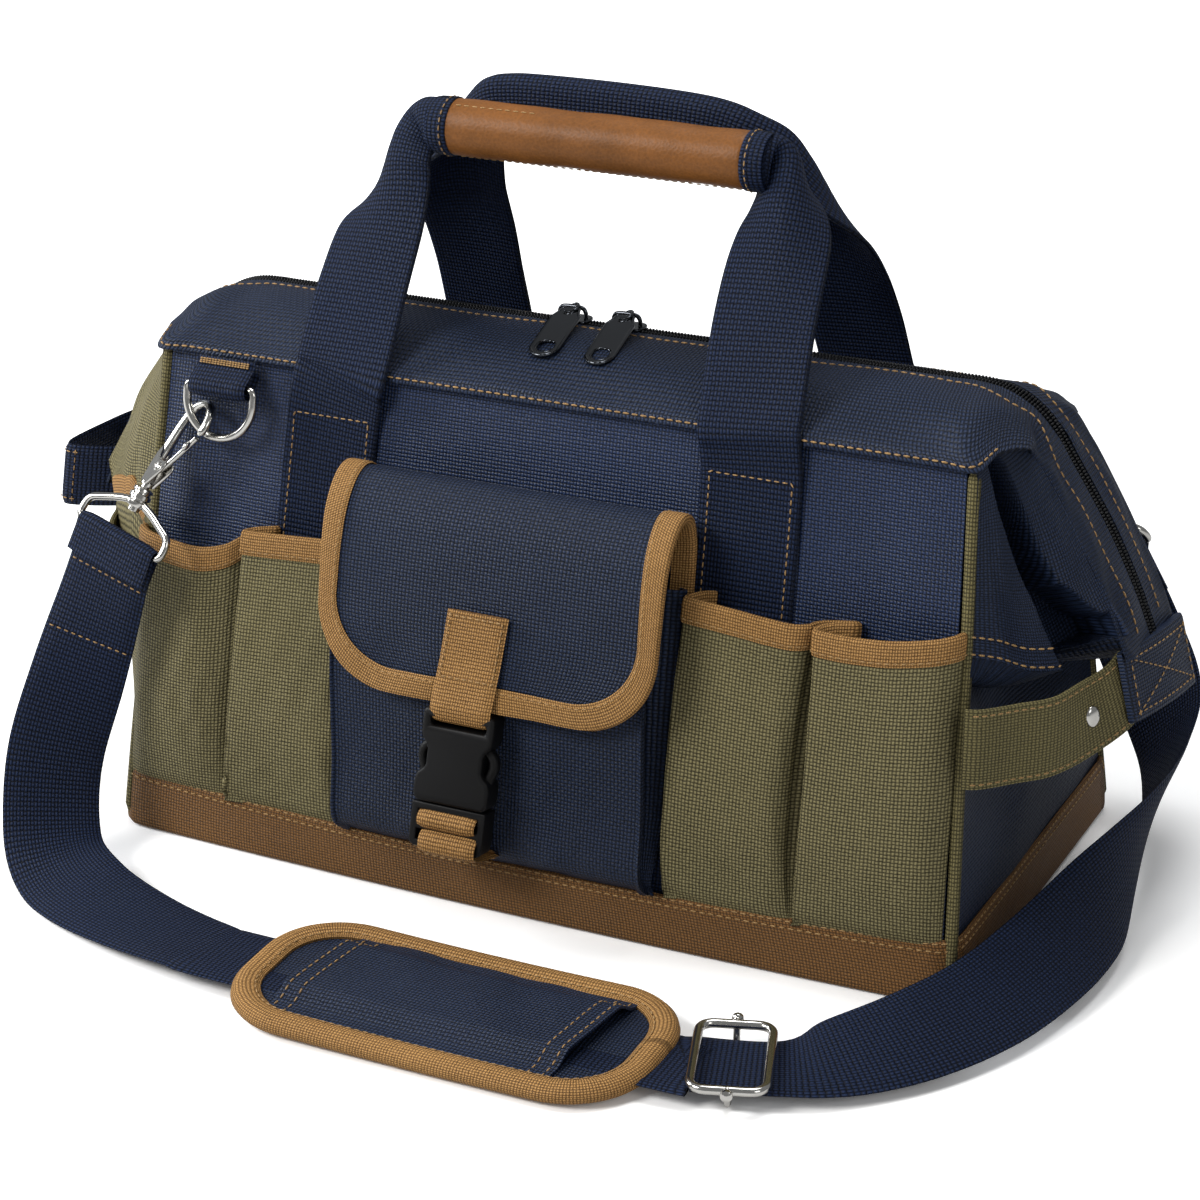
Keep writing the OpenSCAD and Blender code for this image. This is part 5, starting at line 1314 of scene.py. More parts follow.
RIGHT_ROW = [
    (74, 1.5, 138.6, 70, 0.4, 0), (70, 4.5, 138.4, 68, 0.6, -1), (67.0, 9.0, 137.8, 65.5, 0.8, -2),
    (66.6, 12.2, 137.4, 64.8, 0.9, -2), (69, 13.7, 137.2, 67, 0.9, -1), (82, 14.0, 136.2, 80, 0.9, 0),
    (97, 13.6, 134.8, 96, 0.9, 0), (108, 12.9, 134.0, 108, 0.9, -1.5), (114.0, 10.0, 134.2, 113.5, 0.9, -3.2),
    (116.0, 6.0, 134.8, 115, 0.9, -3.6), (120, 3.2, 135.4, 116, 0.9, -1), (128.5, 2.4, 136.4, 118, 1.0, 2),
    (128.8, 4.2, 136.6, 118.2, 1.3, 2), (123, 6.4, 136.0, 117.4, 1.6, 1.5), (118.4, 9.2, 135.0, 116.6, 1.8, 1.4),
    (117.4, 12.4, 134.0, 116.4, 1.8, 1.4), (120.4, 13.9, 133.6, 119.0, 1.5, 0.8), (133, 14.0, 133.4, 132, 1.0, 0),
    (148, 13.2, 134.4, 149, 0.9, 0), (161, 10.4, 136.6, 163, 0.8, 0), (167.4, 6.0, 138.2, 170, 0.5, 0),
    (169.6, 1.0, 139.0, 172.6, 0.3, 0)]

BACK_ROW = [
    (172.0, 0.8, 127, 174.5, 0.3, 0), (168, 7.0, 127, 171, 0.6, 0), (158, 11.5, 126.4, 160, 0.9, 0),
    (110, 12.6, 125, 112, 0.9, 0), (60, 12.6, 124.8, 60, 0.9, 0), (18, 12.0, 125.6, 16, 0.9, 0),
    (8, 8.0, 126.4, 7, 0.9, 0), (4, 4.0, 127, 3.5, 0.9, 0), (-8, 2.4, 127.6, -4, 1.0, 0),
    (-8.4, 4.0, 127.8, -4.2, 1.3, 0), (0, 7.0, 127, -1.5, 1.6, 0), (3.0, 11.0, 126.4, -0.5, 1.8, 0),
    (-2, 12.8, 126, -4, 1.5, 0), (-60, 12.8, 124.8, -60, 0.9, 0), (-110, 12.6, 125, -112, 0.9, 0),
    (-158, 11.5, 126.4, -160, 0.9, 0), (-168, 7.0, 127, -171, 0.6, 0), (-172.0, 0.8, 127, -174.5, 0.3, 0)]


def mouth_of(patch):
    edge, out = patch.p[:, -1], unit(patch.n[:, -1])
    up = unit(patch.p[:, -1] - patch.p[:, -3])
    return edge, out, unit(up - out * (up * out).sum(1, keepdims=True))


def open_pockets():
    for name, knots, front, seed in (("front_left", LEFT_ROW, True, 51), ("front_right", RIGHT_ROW, True, 54),
                                     ("back", BACK_ROW, False, 57)):
        patch = pocket_cloth(knots, seed, front)
        settle(cloth_piece(f"{name}_pocket_cloth", patch, FINISH["olive"], 1.2), "root", "olive_twill",
               f"{name}_pockets")
        edge, out, up = mouth_of(patch)
        binding(f"{name}_mouth_tape", edge, out, up, "root", "tan_tape", [f"{name}_binding"])


FLAP_LEFT, FLAP_RIGHT = -73.0, 58.6


def flap_pocket():
    """Front panel and the folded side gussets, one cloth."""
    side = [(1.5, 0.04), (3.4, 0.14), (6.0, 0.22), (5.4, 0.30), (2.0, 0.38), (-11.5, 0.55), (-12.0, 0.64),
            (-2.0, 0.9), (-0.3, 0.985)]
    knots = [(FLAP_RIGHT + dx, k) for dx, k in side]
    knots += [(x, 1.0 + 0.02 * math.sin((x + 73) / 131 * math.pi)) for x in (57.2, 40, 15, -10, -35, -58, -71.6)]
    knots += [(FLAP_LEFT - dx, k) for dx, k in side[::-1]]
    knots = knots[::-1]
    depth = (0.0, 11.0, 18.5, 24.5, 27.0)
    rows = []
    for x, k in knots:
        row = []
        edge = FLAP_LEFT if x < -7 else FLAP_RIGHT
        for (v, _), d in zip(POCKET_LEVELS, depth):
            low = 6.6 * float(belly(x)) + 0.6
            gather = ease(v / 0.5)
            xx = x if k >= 0.97 else edge + (x - edge) * (0.25 + 0.75 * gather)
            row.append((xx, FOOT_UP + (139 - FOOT_UP) * v, low * (1 - ease(v / 0.3)) + d * k + 1.2 * (1 - k) * 0.6))
        rows.append(row)
    grid = net(rows, 300, 64)
    b = np.linspace(0, 1, 64)[None]
    mid = np.clip((grid[..., 0] - FLAP_LEFT) / (FLAP_RIGHT - FLAP_LEFT), 0, 1)
    puff = (1.2 * np.sin(math.pi * mid) * np.sin(math.pi * np.clip(b, 0, 1))
            + 0.4 * ripples(mid * 3, b, 61) * np.sin(math.pi * mid))
    return facing(Patch(on_front(grid[..., 0], grid[..., 1], grid[..., 2] + puff)), (0, -1, 0))


# ---------------------------------------------------------------- flap and buckle

FLAP_SPAN = (-75.6, 64.6)
FLAP_PATH = catmull([(p[0], p[1], 0.0) for p in (
    (1.6, 137), (1.8, 148), (3.2, 158), (7.5, 165.6), (14.5, 167.4), (21.5, 163.4), (27.0, 154.0), (29.8, 141),
    (30.8, 124), (30.8, 106), (30.0, 86.2))], 240)[:, :2]
FLAP_RUN = run_along(FLAP_PATH)
FLAP_LONG = float(FLAP_RUN[-1])
FLAP_CORNER = 31.0


def flap_at(x, s, lift=0.0):
    """A point of the flap: across the bag, and s along its cloth from the back edge, lifted off the cloth."""
    x, s = np.broadcast_arrays(np.asarray(x, float), np.asarray(s, float))
    off, up = np.interp(s, FLAP_RUN, FLAP_PATH[:, 0]), np.interp(s, FLAP_RUN, FLAP_PATH[:, 1])
    d_off = np.interp(s + 0.8, FLAP_RUN, FLAP_PATH[:, 0]) - np.interp(s - 0.8, FLAP_RUN, FLAP_PATH[:, 0])
    d_up = np.interp(s + 0.8, FLAP_RUN, FLAP_PATH[:, 1]) - np.interp(s - 0.8, FLAP_RUN, FLAP_PATH[:, 1])
    size = np.maximum(np.hypot(d_off, d_up), 1e-9)
    n_off, n_up = -d_up / size, d_off / size
    a = (x - FLAP_SPAN[0]) / (FLAP_SPAN[1] - FLAP_SPAN[0])
    hang = np.clip((s - 60) / 60, 0, 1)
    wave = hang * (1.4 * np.sin(math.pi * a) - 0.7 + 0.5 * ripples(a * 2, s / FLAP_LONG, 71))
    wave = wave - 1.6 * hang * np.exp(-(a / 0.08) ** 2) + 0.8 * hang * np.exp(-((1 - a) / 0.1) ** 2)
    lift = np.asarray(lift, float) + wave
    return on_front(x, up + n_up * lift, off + n_off * lift)


def flap_edge(inset, count):
    """Outline of the flap in (x, s), from the back edge on the left round to the back edge on the right."""
    x0, x1 = FLAP_SPAN[0] + inset, FLAP_SPAN[1] - inset
    low, r = FLAP_LONG - inset, FLAP_CORNER - inset
    turn = np.linspace(0, math.pi / 2, 24)
    points = [(x0, s) for s in np.linspace(0, low - r, 40)]
    points += [(x0 + r - r * math.cos(t), low - r + r * math.sin(t)) for t in turn[1:]]
    points += [(x, low) for x in np.linspace(x0 + r, x1 - r, 30)[1:]]
    points += [(x1 - r + r * math.sin(t), low - r + r * math.cos(t)) for t in turn[1:]]
    points += [(x1, s) for s in np.linspace(low - r, 0, 40)[1:]]
    return even(np.array([(x, s, 0.0) for x, s in points]), count)[:, :2]


def flap_cloth():
    steps = list(np.linspace(0, FLAP_LONG - FLAP_CORNER, 84))
    steps += [FLAP_LONG - FLAP_CORNER + (FLAP_CORNER - 1.0) * math.sin(t) for t in np.linspace(0, math.pi / 2, 26)[1:]]
    rows = []
    r = FLAP_CORNER - 1.0
    for s in steps:
        k = max(s - (FLAP_LONG - FLAP_CORNER), 0.0)
        cut = r - math.sqrt(max(r * r - k * k, 0.0)) + 1.0
        xs = np.linspace(FLAP_SPAN[0] + cut, FLAP_SPAN[1] - cut, 100)
        rows.append(flap_at(xs, np.full(100, s)))
    return facing(Patch(np.stack(rows, 1)), (0, -1, 0.2))


def bend_at_seam(obj, slot, *nodes):
    """The flap's cloth: turns its faces outward, bakes its place and hides the nodes it stands for."""
    face_outward(obj)
    tuple(on_front(0, 166, 4.0) * MM)
    tuple(on_front(0, 166, 17.0) * MM)
    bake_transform(obj)
    if nodes:
        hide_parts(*nodes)


def build_flap():
    cloth = cloth_piece("flap_cloth", flap_cloth(), FINISH["navy"], 2.0)
    bend_at_seam(cloth, "navy_twill", "flap")
    outer = flap_edge(0.0, 420)
    inner = flap_edge(1.0, 420)
    way = inner - outer
    way = way / np.linalg.norm(way, axis=1, keepdims=True)
    section = [(9.6, 0.25), (9.4, 0.8), (5.0, 1.1), (1.2, 1.1), (-0.4, 0.7), (-1.0, -0.8), (-0.4, -2.3), (1.2, -2.9),
               (8.0, -2.9)]
    section = catmull([(h, o, 0.0) for h, o in section], 18)[:, :2]
    rows = [flap_at(outer[:, 0] + way[:, 0] * h, outer[:, 1] + way[:, 1] * h, o) for h, o in section]
    tape = facing(Patch(np.stack(rows, 1)), (0, -1, 0.2))
    mid = tape.n[150:260, :6]
    if mid[..., 1].sum() > 0:
        tape.n = -tape.n
    bend_at_seam(cloth_piece("flap_tape", tape, FINISH["tan"], 0.6), "tan_tape", "flap_binding")
    line = flap_at(outer[:, 0] + way[:, 0] * 7.9, outer[:, 1] + way[:, 1] * 7.9, 1.0)
    threads = run_tree("flap_tape_stitches", [line], STITCH, {"Step": 3.0 * MM, "Length": 2.2 * MM, "Radius": 0.3 * MM,
                                                              "Material": FINISH["thread"]})
    bend_at_seam(threads, "tan_tape")


def tab_x(up):
    return -11.6 + (up - 80) * 0.112


def webbing_strip(path, width, thick, name, body, slot, nodes=(), material="tan_webbing", side=(1.0, 0.0, 0.0)):
    path = np.asarray(path, float)
    sides = np.broadcast_to(np.asarray(side, float), path.shape) if np.ndim(side) == 1 else np.asarray(side, float)
    verts, faces, flat = flat_band(path, sides, width, thick)
    obj = make_object(name, verts, faces, FINISH[material], flat, sharp=60)
    return settle(obj, body, slot, *nodes)


def build_tab():
    ups = np.linspace(123.0, 86, 30)
    off = np.interp(ups, [86, 88, 97, 104, 123], [34.6, 34.4, 33.6, 32.9, 32.7])
    path = [on_front(tab_x(u), u, o) for u, o in zip(ups, off)]
    turn = [(83.0, 34.0), (80.6, 32.6), (79.6, 30.0), (80.2, 27.6), (82.6, 26.4), (88, 26.6)]
    path += [on_front(tab_x(u), u, o) for u, o in turn]
    path = smooth_line(path, 90)
    webbing_strip(path, 25.2, 1.8, "flap_tab_webbing", "flap_body", "tan_webbing", ["flap_tab"])
    a, b = 121.0, 97.5
    corners = [(-10.9, a), (10.9, a), (10.9, b), (-10.9, b), (-10.9, a)]
    ring = []
    for (x0, u0), (x1, u1) in zip(corners[:-1], corners[1:]):
        for t in np.linspace(0, 1, 14, endpoint=False):
            u = u0 + (u1 - u0) * t
            ring.append(on_front(tab_x(u) + x0 + (x1 - x0) * t, u, np.interp(u, [97, 104, 123], [34.6, 33.9, 33.7])))
    ring.append(ring[0])
    stitches("flap_tab_stitches", [np.array(ring)], "flap_body", "tan_webbing", step=2.8, length=2.1, radius=0.32)


def extruded(outline, holes, off0, off1, x_at, name, body, slot, nodes=(), material="plastic", width=0.7):
    """A moulded plate on the front: an outline in x and up with holes, from off0 out to off1."""
    mesh = filled_plate(name, [outline] + list(holes), abs(off1 - off0) / 2)
    co = np.array([v.co for v in mesh.vertices])
    p = on_front(co[:, 0] + x_at(co[:, 1]), co[:, 1], (off0 + off1) / 2 + co[:, 2])
    for v, q in zip(mesh.vertices, p * MM):
        v.co = q
    bm = bmesh.new()
    bm.from_mesh(mesh)
    bmesh.ops.remove_doubles(bm, verts=bm.verts[:], dist=1e-6)
    bmesh.ops.dissolve_limit(bm, angle_limit=math.radians(1), verts=bm.verts[:], edges=bm.edges[:])
    bm.to_mesh(mesh)
    bm.free()
    mesh.materials.clear()
    mesh.materials.append(FINISH[material])
    obj = bpy.data.objects.new(name, mesh)
    bpy.context.scene.collection.objects.link(obj)
    bevel(obj, width, 3, 40)
    return settle(obj, body, slot, *nodes)


def mirror_outline(half):
    """A closed outline from its right half, given from the bottom to the top."""
    return [(x, u) for x, u in half] + [(-x, u) for x, u in half[::-1]]


def build_buckle():
    def at(up):
        return -12.7 + (np.asarray(up, float) - 64) * 0.06
    body = mirror_outline([(13.6, 47.6), (15.2, 49.0), (15.6, 51), (15.6, 56.6), (14.6, 59.0), (12.4, 60.8),
                           (11.6, 62.4), (11.6, 68.4), (12.4, 70.4), (14.2, 72.4), (14.8, 74.6), (14.8, 83.2),
                           (13.8, 84.6)])
    slot = [(-11.6, 77.6), (11.6, 77.6), (11.6, 81.0), (-11.6, 81.0)]
    extruded(body, [slot], 24.2, 34.4, at, "buckle_body", "flap_body", "black_plastic", ["buckle_socket"], width=1.5)
    # plug: two rails, the bars that carry the webbing, and the prongs that show in the socket's side windows
    frame = mirror_outline([(13.2, 29.6), (15.0, 30.6), (15.4, 33), (15.4, 47.2)])
    holes = [[(-12.6, 32.2), (12.6, 32.2), (12.6, 36.6), (-12.6, 36.6)],
             [(-12.6, 39.4), (12.6, 39.4), (12.6, 44.4), (-12.6, 44.4)]]
    extruded(frame, holes, 24.6, 33.6, at, "buckle_frame", "root", "black_plastic", ["buckle_plug"], width=0.8)
    prongs = []
    for s in (1, -1):
        path = smooth_line([on_front(at(u) + s * x, u, 29.2) for x, u in
                            ((9.5, 48.5), (11.6, 52), (12.6, 57), (13.8, 61.0), (14.9, 64.4), (14.4, 67.6),
                             (12.0, 70.2), (9.6, 71.0))], 40)
        prongs.append(tube(path, 2.0, 12, flat=1.35, across=np.tile(np.array([1.0, 0, 0]), (40, 1))))
    verts, faces, flat = joined(prongs)
    obj = make_object("buckle_prong_pair", verts, faces, FINISH["plastic"], flat)
    settle(obj, "root", "black_plastic", "buckle_prongs")
    # webbing from the band up behind the plug, over its bars and down again as a short tail
    path = [(4.0, 26.4, 5.0), (3.2, 26.8, 12.0), (1.8, 28.0, 18.0), (0.6, 30.5, 23.0), (0, 33.6, 27.0), (0, 36.5, 30.6),
            (0, 38.4, 33.8), (0, 40.8, 35.0), (0, 43.6, 33.6), (0, 45.2, 29.8), (0, 44.4, 25.6), (0, 40.6, 23.2),
            (0, 36.0, 22.4), (0, 31.0, 20.4), (0, 27.0, 16.6), (0, 23.6, 12.6)]
    line = smooth_line([on_front(at(u) + x + 0.0, u, o) for x, u, o in path], 160)
    webbing_strip(line, 24.4, 1.7, "buckle_strap", "root", "tan_webbing", ["buckle_webbing"])
    tail = smooth_line([on_front(at(u) + x, u, o) for x, u, o in
                        ((1.4, 37.2, 31.4), (1.4, 34.6, 34.2), (1.5, 31.2, 35.0), (1.7, 28.4, 33.6), (2.2, 27.2, 28.0),
                         (3.0, 26.6, 20.0), (3.8, 26.2, 12.0), (4.4, 26.0, 5.0))], 60)
    webbing_strip(tail, 24.0, 1.7, "buckle_tail", "root", "tan_webbing")


open_pockets()
pouch = flap_pocket()
settle(cloth_piece("flap_pocket_cloth", pouch, FINISH["navy"], 1.2), "root", "navy_twill", "flap_pocket")
build_flap()
build_tab()
build_buckle()


# ---------------------------------------------------------------- handles

def curled_band(stations, width, thick, count=240, cols=20):
    """Webbing whose cross-section curls. Each station is a point, the way its outer face looks, the angle that the
    section turns through and how far from its middle the turning spreads."""
    rows = catmull_rows(np.asarray(stations, float), count)
    path, out = rows[:, :3], rows[:, 3:6]
    t = unit(np.gradient(path, axis=0))
    out = unit(out - t * (out * t).sum(1, keepdims=True))
    side = np.cross(out, t)
    s = np.linspace(-width / 2, width / 2, cols)
    ring = []
    for k in range(count):
        spread = max(rows[k, 7], 2.0)
        theta = rows[k, 6] * 0.5 * np.tanh(s / spread) / math.tanh(width / 2 / spread)
        dx, dy = np.cos(theta), -np.sin(theta)
        step = s[1] - s[0]
        x = np.concatenate([[0], np.cumsum((dx[1:] + dx[:-1]) / 2 * step)])
        y = np.concatenate([[0], np.cumsum((dy[1:] + dy[:-1]) / 2 * step)])
        x -= np.interp(0, s, x)
        y -= np.interp(0, s, y)
        nx, ny = np.sin(theta), np.cos(theta)
        h = thick / 2
        outer = np.stack([x + nx * h, y + ny * h], 1)
        inner = np.stack([x - nx * h, y - ny * h], 1)[::-1]
        rim1 = [[x[-1] + dx[-1] * h * 0.8, y[-1] + dy[-1] * h * 0.8]]
        rim0 = [[x[0] - dx[0] * h * 0.8, y[0] - dy[0] * h * 0.8]]
        flat = np.concatenate([outer, rim1, inner, rim0])
        ring.append(path[k] + flat[:, :1] * side[k] + flat[:, 1:] * out[k])
    ring = np.array(ring)
    m = ring.shape[1]
    faces = loft_faces(count, m)
    along = run_along(path)
    u = np.concatenate([s, [s[-1] + 0.8], s[::-1] + 60, [60.0 + s[0] - 0.8]])
    flatmap = np.stack([np.tile(u, count), np.repeat(along, m)], 1)
    return ring.reshape(-1, 3), faces, flatmap, ring


def catmull_rows(points, count):
    """catmull() for rows of any length, even along their first three columns."""
    n = len(points)
    p = np.concatenate([[2 * points[0] - points[1]], points, [2 * points[-1] - points[-2]]])
    out = []
    for i in range(n - 1):
        a, b, c, d = p[i:i + 4]
        for t in np.linspace(0, 1, 40, endpoint=i == n - 2):
            out.append(0.5 * (2 * b + (c - a) * t + (2 * a - 5 * b + 4 * c - d) * t ** 2
                              + (3 * b - a - 3 * c + d) * t ** 3))
    out = np.array(out)
    run = run_along(out[:, :3])
    at = np.linspace(0, run[-1], count)
    return np.stack([np.interp(at, run, out[:, k]) for k in range(out.shape[1])], 1)


def leg_station(x, z, out, turn, spread, front=True, lift=0.0):
    """A station on the plane that a handle's legs lie in."""
    y = -67.4 + (z - 198) * 0.586 if front else 55.6 - (z - 178) * 0.448
    return (x, y - lift if front else y + lift, z, *out, turn, spread)


def wall_station(x, up, off, front=True):
    p = on_front(x, up, off) if front else on_back(x, up, off)
    q = on_front(x, up, off + 1) if front else on_back(x, up, off + 1)
    return (*p, *(q - p), 0.0, 12.0)


HANDLE_W, HANDLE_T = 38.4, 1.9
GRIP_Y, GRIP_Z, GRIP_R = -17.0, 284.0, 10.9
FRONT_OUT = (0.0, -0.865, 0.5)
BACK_OUT = (0.0, 0.91, 0.41)


def swing_with(obj, slot, front, *nodes):
    """Webbing that is sewn to the wall below the hem and rises to its handle: turns its faces outward, bakes its place
    and hides the nodes it stands for.
    """
    face_outward(obj)
    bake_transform(obj)
    if nodes:
        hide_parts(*nodes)


def front_handle():
    left = [wall_station(-92.5, 112, 1.4), wall_station(-92.0, 135, 1.4), wall_station(-91.2, 160, 1.5),
            wall_station(-89.2, 182, 2.2), wall_station(-87.2, 193, 3.8),
            leg_station(-85.4, 199, FRONT_OUT, 0.0, 12), leg_station(-85.2, 212, FRONT_OUT, 0.0, 12),
            leg_station(-85.0, 230, (-0.05, -0.86, 0.5), 0.15, 12),
            leg_station(-84.6, 248, (-0.15, -0.85, 0.5), 0.5, 12),
            leg_station(-85.4, 260, (-0.4, -0.8, 0.45), 1.3, 11),
            leg_station(-86.4, 270, (-0.75, -0.6, 0.3), 2.2, 9),
            leg_station(-85.4, 280, (-0.9, -0.35, 0.3), 2.8, 7.5),
            leg_station(-81.4, 288.0, (-0.85, -0.1, 0.55), 3.0, 7),
            (-75.5, -15.4, 292.2, -0.4, -0.05, 0.9, 3.1, 8), (-68.5, -16.4, 293.2, -0.05, -0.02, 1.0, 3.3, 10),
            (-62.0, -17.0, 293.2, 0, 0, 1.0, 3.4, 11)]
    right = [wall_station(84.4, 112, 1.4), wall_station(84.2, 138, 1.4), wall_station(84.3, 160, 1.5),
             wall_station(84.2, 182, 2.2), wall_station(83.4, 193, 3.8),
             leg_station(82.6, 199, FRONT_OUT, 0.0, 12), leg_station(81.4, 212, FRONT_OUT, 0.0, 12),
             leg_station(79.4, 230, (0.02, -0.86, 0.5), 0.15, 12),
             leg_station(78.4, 248, (0.03, -0.85, 0.5), 0.5, 12, lift=0.5),
             leg_station(78.0, 260, (0.05, -0.84, 0.5), 1.1, 11, lift=1.5),
             leg_station(77.8, 270, (0.12, -0.82, 0.5), 1.9, 9, lift=2.5),
             leg_station(77.2, 279, (0.3, -0.76, 0.5), 2.6, 7.5, lift=2.5),
             leg_station(75.6, 287.0, (0.5, -0.5, 0.7), 3.0, 7, lift=1.5),
             (72.4, -15.0, 292.0, 0.4, -0.1, 0.9, 3.1, 8), (67.0, -16.4, 293.2, 0.05, -0.02, 1.0, 3.3, 10),
             (61.0, -17.0, 293.2, 0, 0, 1.0, 3.4, 11)]
    parts = [curled_band(stations, HANDLE_W, HANDLE_T)[:3] for stations in (left, right)]
    verts, faces, flat = joined(parts)
    obj = make_object("front_handle_webbing", verts, faces, FINISH["webbing"], flat, sharp=70)
    swing_with(obj, "navy_webbing", True, "front_handle_web", "handle_anchors")
    # round grip: the core, a collar of webbing at each end and the leather wrap
    xs = np.linspace(-69.5, 69.5, 60)
    axis = np.column_stack([xs, np.full(60, GRIP_Y), np.full(60, GRIP_Z)])
    core = make_object("front_grip_roll", *tube(axis[3:-3], 8.2, 28)[:2], FINISH["webbing"], None)
    settle(core, "front_handle", "navy_webbing", "front_grip_core")
    collars = []
    for s in (1, -1):
        x = np.array([60.0, 60.6, 63.5, 67.2, 68.9, 69.3, 68.6, 66.5])
        r = np.array([10.6, 11.3, 11.3, 11.1, 10.7, 10.1, 9.4, 8.6])
        collars.append(tube(np.column_stack([s * x, np.full(8, GRIP_Y), np.full(8, GRIP_Z)]), r, 40,
                            across=np.tile(np.array([0, 0, 1.0]), (8, 1))))
    verts, faces, flat = joined(collars)
    obj = make_object("front_grip_collars", verts, faces, FINISH["webbing"], flat)
    settle(obj, "front_handle", "navy_webbing")
    xs = np.concatenate([[-60.9, -60.8, -60.3], np.linspace(-59, 59, 70), [60.3, 60.8, 60.9]])
    uneven = 0.12 * np.sin(xs / 9.0) + 0.1 * np.sin(xs / 4.3 + 1)
    r = 10.75 + uneven * (np.abs(xs) < 59)
    r[[0, -1]] = 9.6
    r[[1, -2]] = 10.3
    wrap = tube(np.column_stack([xs, np.full(len(xs), GRIP_Y), np.full(len(xs), GRIP_Z)]), r, 56,
                across=np.tile(np.array([0, 0.5, -0.86]), (len(xs), 1)))
    obj = make_object("front_grip_leather", *wrap[:2], FINISH["leather"], wrap[2])
    settle(obj, "front_handle", "grip_leather", "front_grip_wrap")
    rings = []
    for x in (-62.6, 62.6):
        a = np.linspace(0, 2 * math.pi, 60)
        rings.append(np.column_stack([np.full(60, x), GRIP_Y + 11.35 * np.cos(a), GRIP_Z + 11.35 * np.sin(a)]))
    stitches("front_collar_stitches_round", rings, "front_handle", "navy_webbing", step=3.0, length=2.2, radius=0.32)
    seams = []
    for a in (math.radians(118), math.radians(-100)):
        x = np.linspace(-57, 57 if a < 0 else -26, 80)
        seams.append(np.column_stack([x, GRIP_Y + GRIP_R * np.cos(a) * np.ones(80),
                                      GRIP_Z + GRIP_R * np.sin(a) * np.ones(80)]))
    stitches("leather_stitches", seams, "front_handle", "grip_leather", step=3.2, length=2.4, radius=0.28)
    # stitched boxes on the wall, one under each leg
    box = []
    half, low = 16.2, 116
    for high, middle in ((181, lambda u: -92.3 + (u - 135) * 0.055), (183.5, lambda u: 84.3)):
        knots = [(-half, low), (-half, high), (half, high), (half, low)]
        ring = []
        for (a0, b0), (a1, b1) in zip(knots[:-1], knots[1:]):
            for t in np.linspace(0, 1, 30, endpoint=False):
                u = b0 + (b1 - b0) * t
                off = np.interp(u, [112, 165, 182, 190], [2.5, 2.6, 3.3, 4.4])
                ring.append(on_front(middle(u) + a0 + (a1 - a0) * t, u, off))
        box.append(np.array(ring))
    stitches("front_anchor_stitches", box, "root", "navy_webbing", step=3.2, length=2.3, radius=0.33)


def back_handle():
    legs = []
    for s in (-1, 1):
        def at(x, z, out, turn, spread, lift=0.0, s=s):
            return leg_station(s * x, z, (s * out[0], out[1], out[2]), turn, spread, False, lift)
        legs.append([wall_station(s * 87, 96, 1.4, False), wall_station(s * 86.5, 125, 1.4, False),
                     wall_station(s * 86, 150, 1.6, False), wall_station(s * 85, 170, 2.6, False),
                     wall_station(s * 84.4, 177, 3.8, False),
                     at(84, 180, BACK_OUT, 0.0, 12), at(82.8, 194, BACK_OUT, 0.0, 12), at(81.5, 214, BACK_OUT, 0.1, 12),
                     at(80.4, 234, (0.1, 0.9, 0.4), 0.35, 12), at(79.8, 252, (0.25, 0.85, 0.42), 0.9, 11),
                     at(77.6, 266, (0.5, 0.7, 0.5), 1.6, 10), at(73.4, 279, (0.65, 0.45, 0.6), 2.3, 8),
                     at(66.6, 289.6, (0.6, 0.2, 0.78), 2.8, 6.5)])
    grip = [(-56.5, 0.6, 298.6, -0.3, 0.05, 0.95, 3.0, 5.5), (-46, -0.4, 301.4, -0.1, 0.0, 1.0, 3.05, 5),
            (-30, -0.8, 302.3, 0, 0, 1, 3.05, 5), (0, -0.8, 302.4, 0, 0, 1, 3.05, 5),
            (28, -0.7, 301.6, 0, 0, 1, 3.05, 5), (44, -0.2, 299.8, 0.1, 0, 1, 3.05, 5),
            (55.5, 1.2, 296.0, 0.35, 0.05, 0.92, 3.0, 5.5)]
    stations = legs[0] + grip + legs[1][::-1]
    v, f, m, ring = curled_band(stations, HANDLE_W, HANDLE_T, 420)
    obj = make_object("back_handle_webbing", v, f, FINISH["webbing"], m, sharp=70)
    swing_with(obj, "navy_webbing", False, "back_handle_web", "back_grip")
    cols = 20
    row = ring[:, 3] if ring[210, 3, 1] < ring[210, cols - 4, 1] else ring[:, cols - 4]
    keep = np.abs(row[:, 0]) < 54
    keep &= row[:, 2] > 270
    stitches("back_grip_stitches", [row[keep] + np.array([0, -0.25, 0])], "back_handle", "navy_webbing", step=3.2)


# ---------------------------------------------------------------- end straps, tabs, rings and end pocket

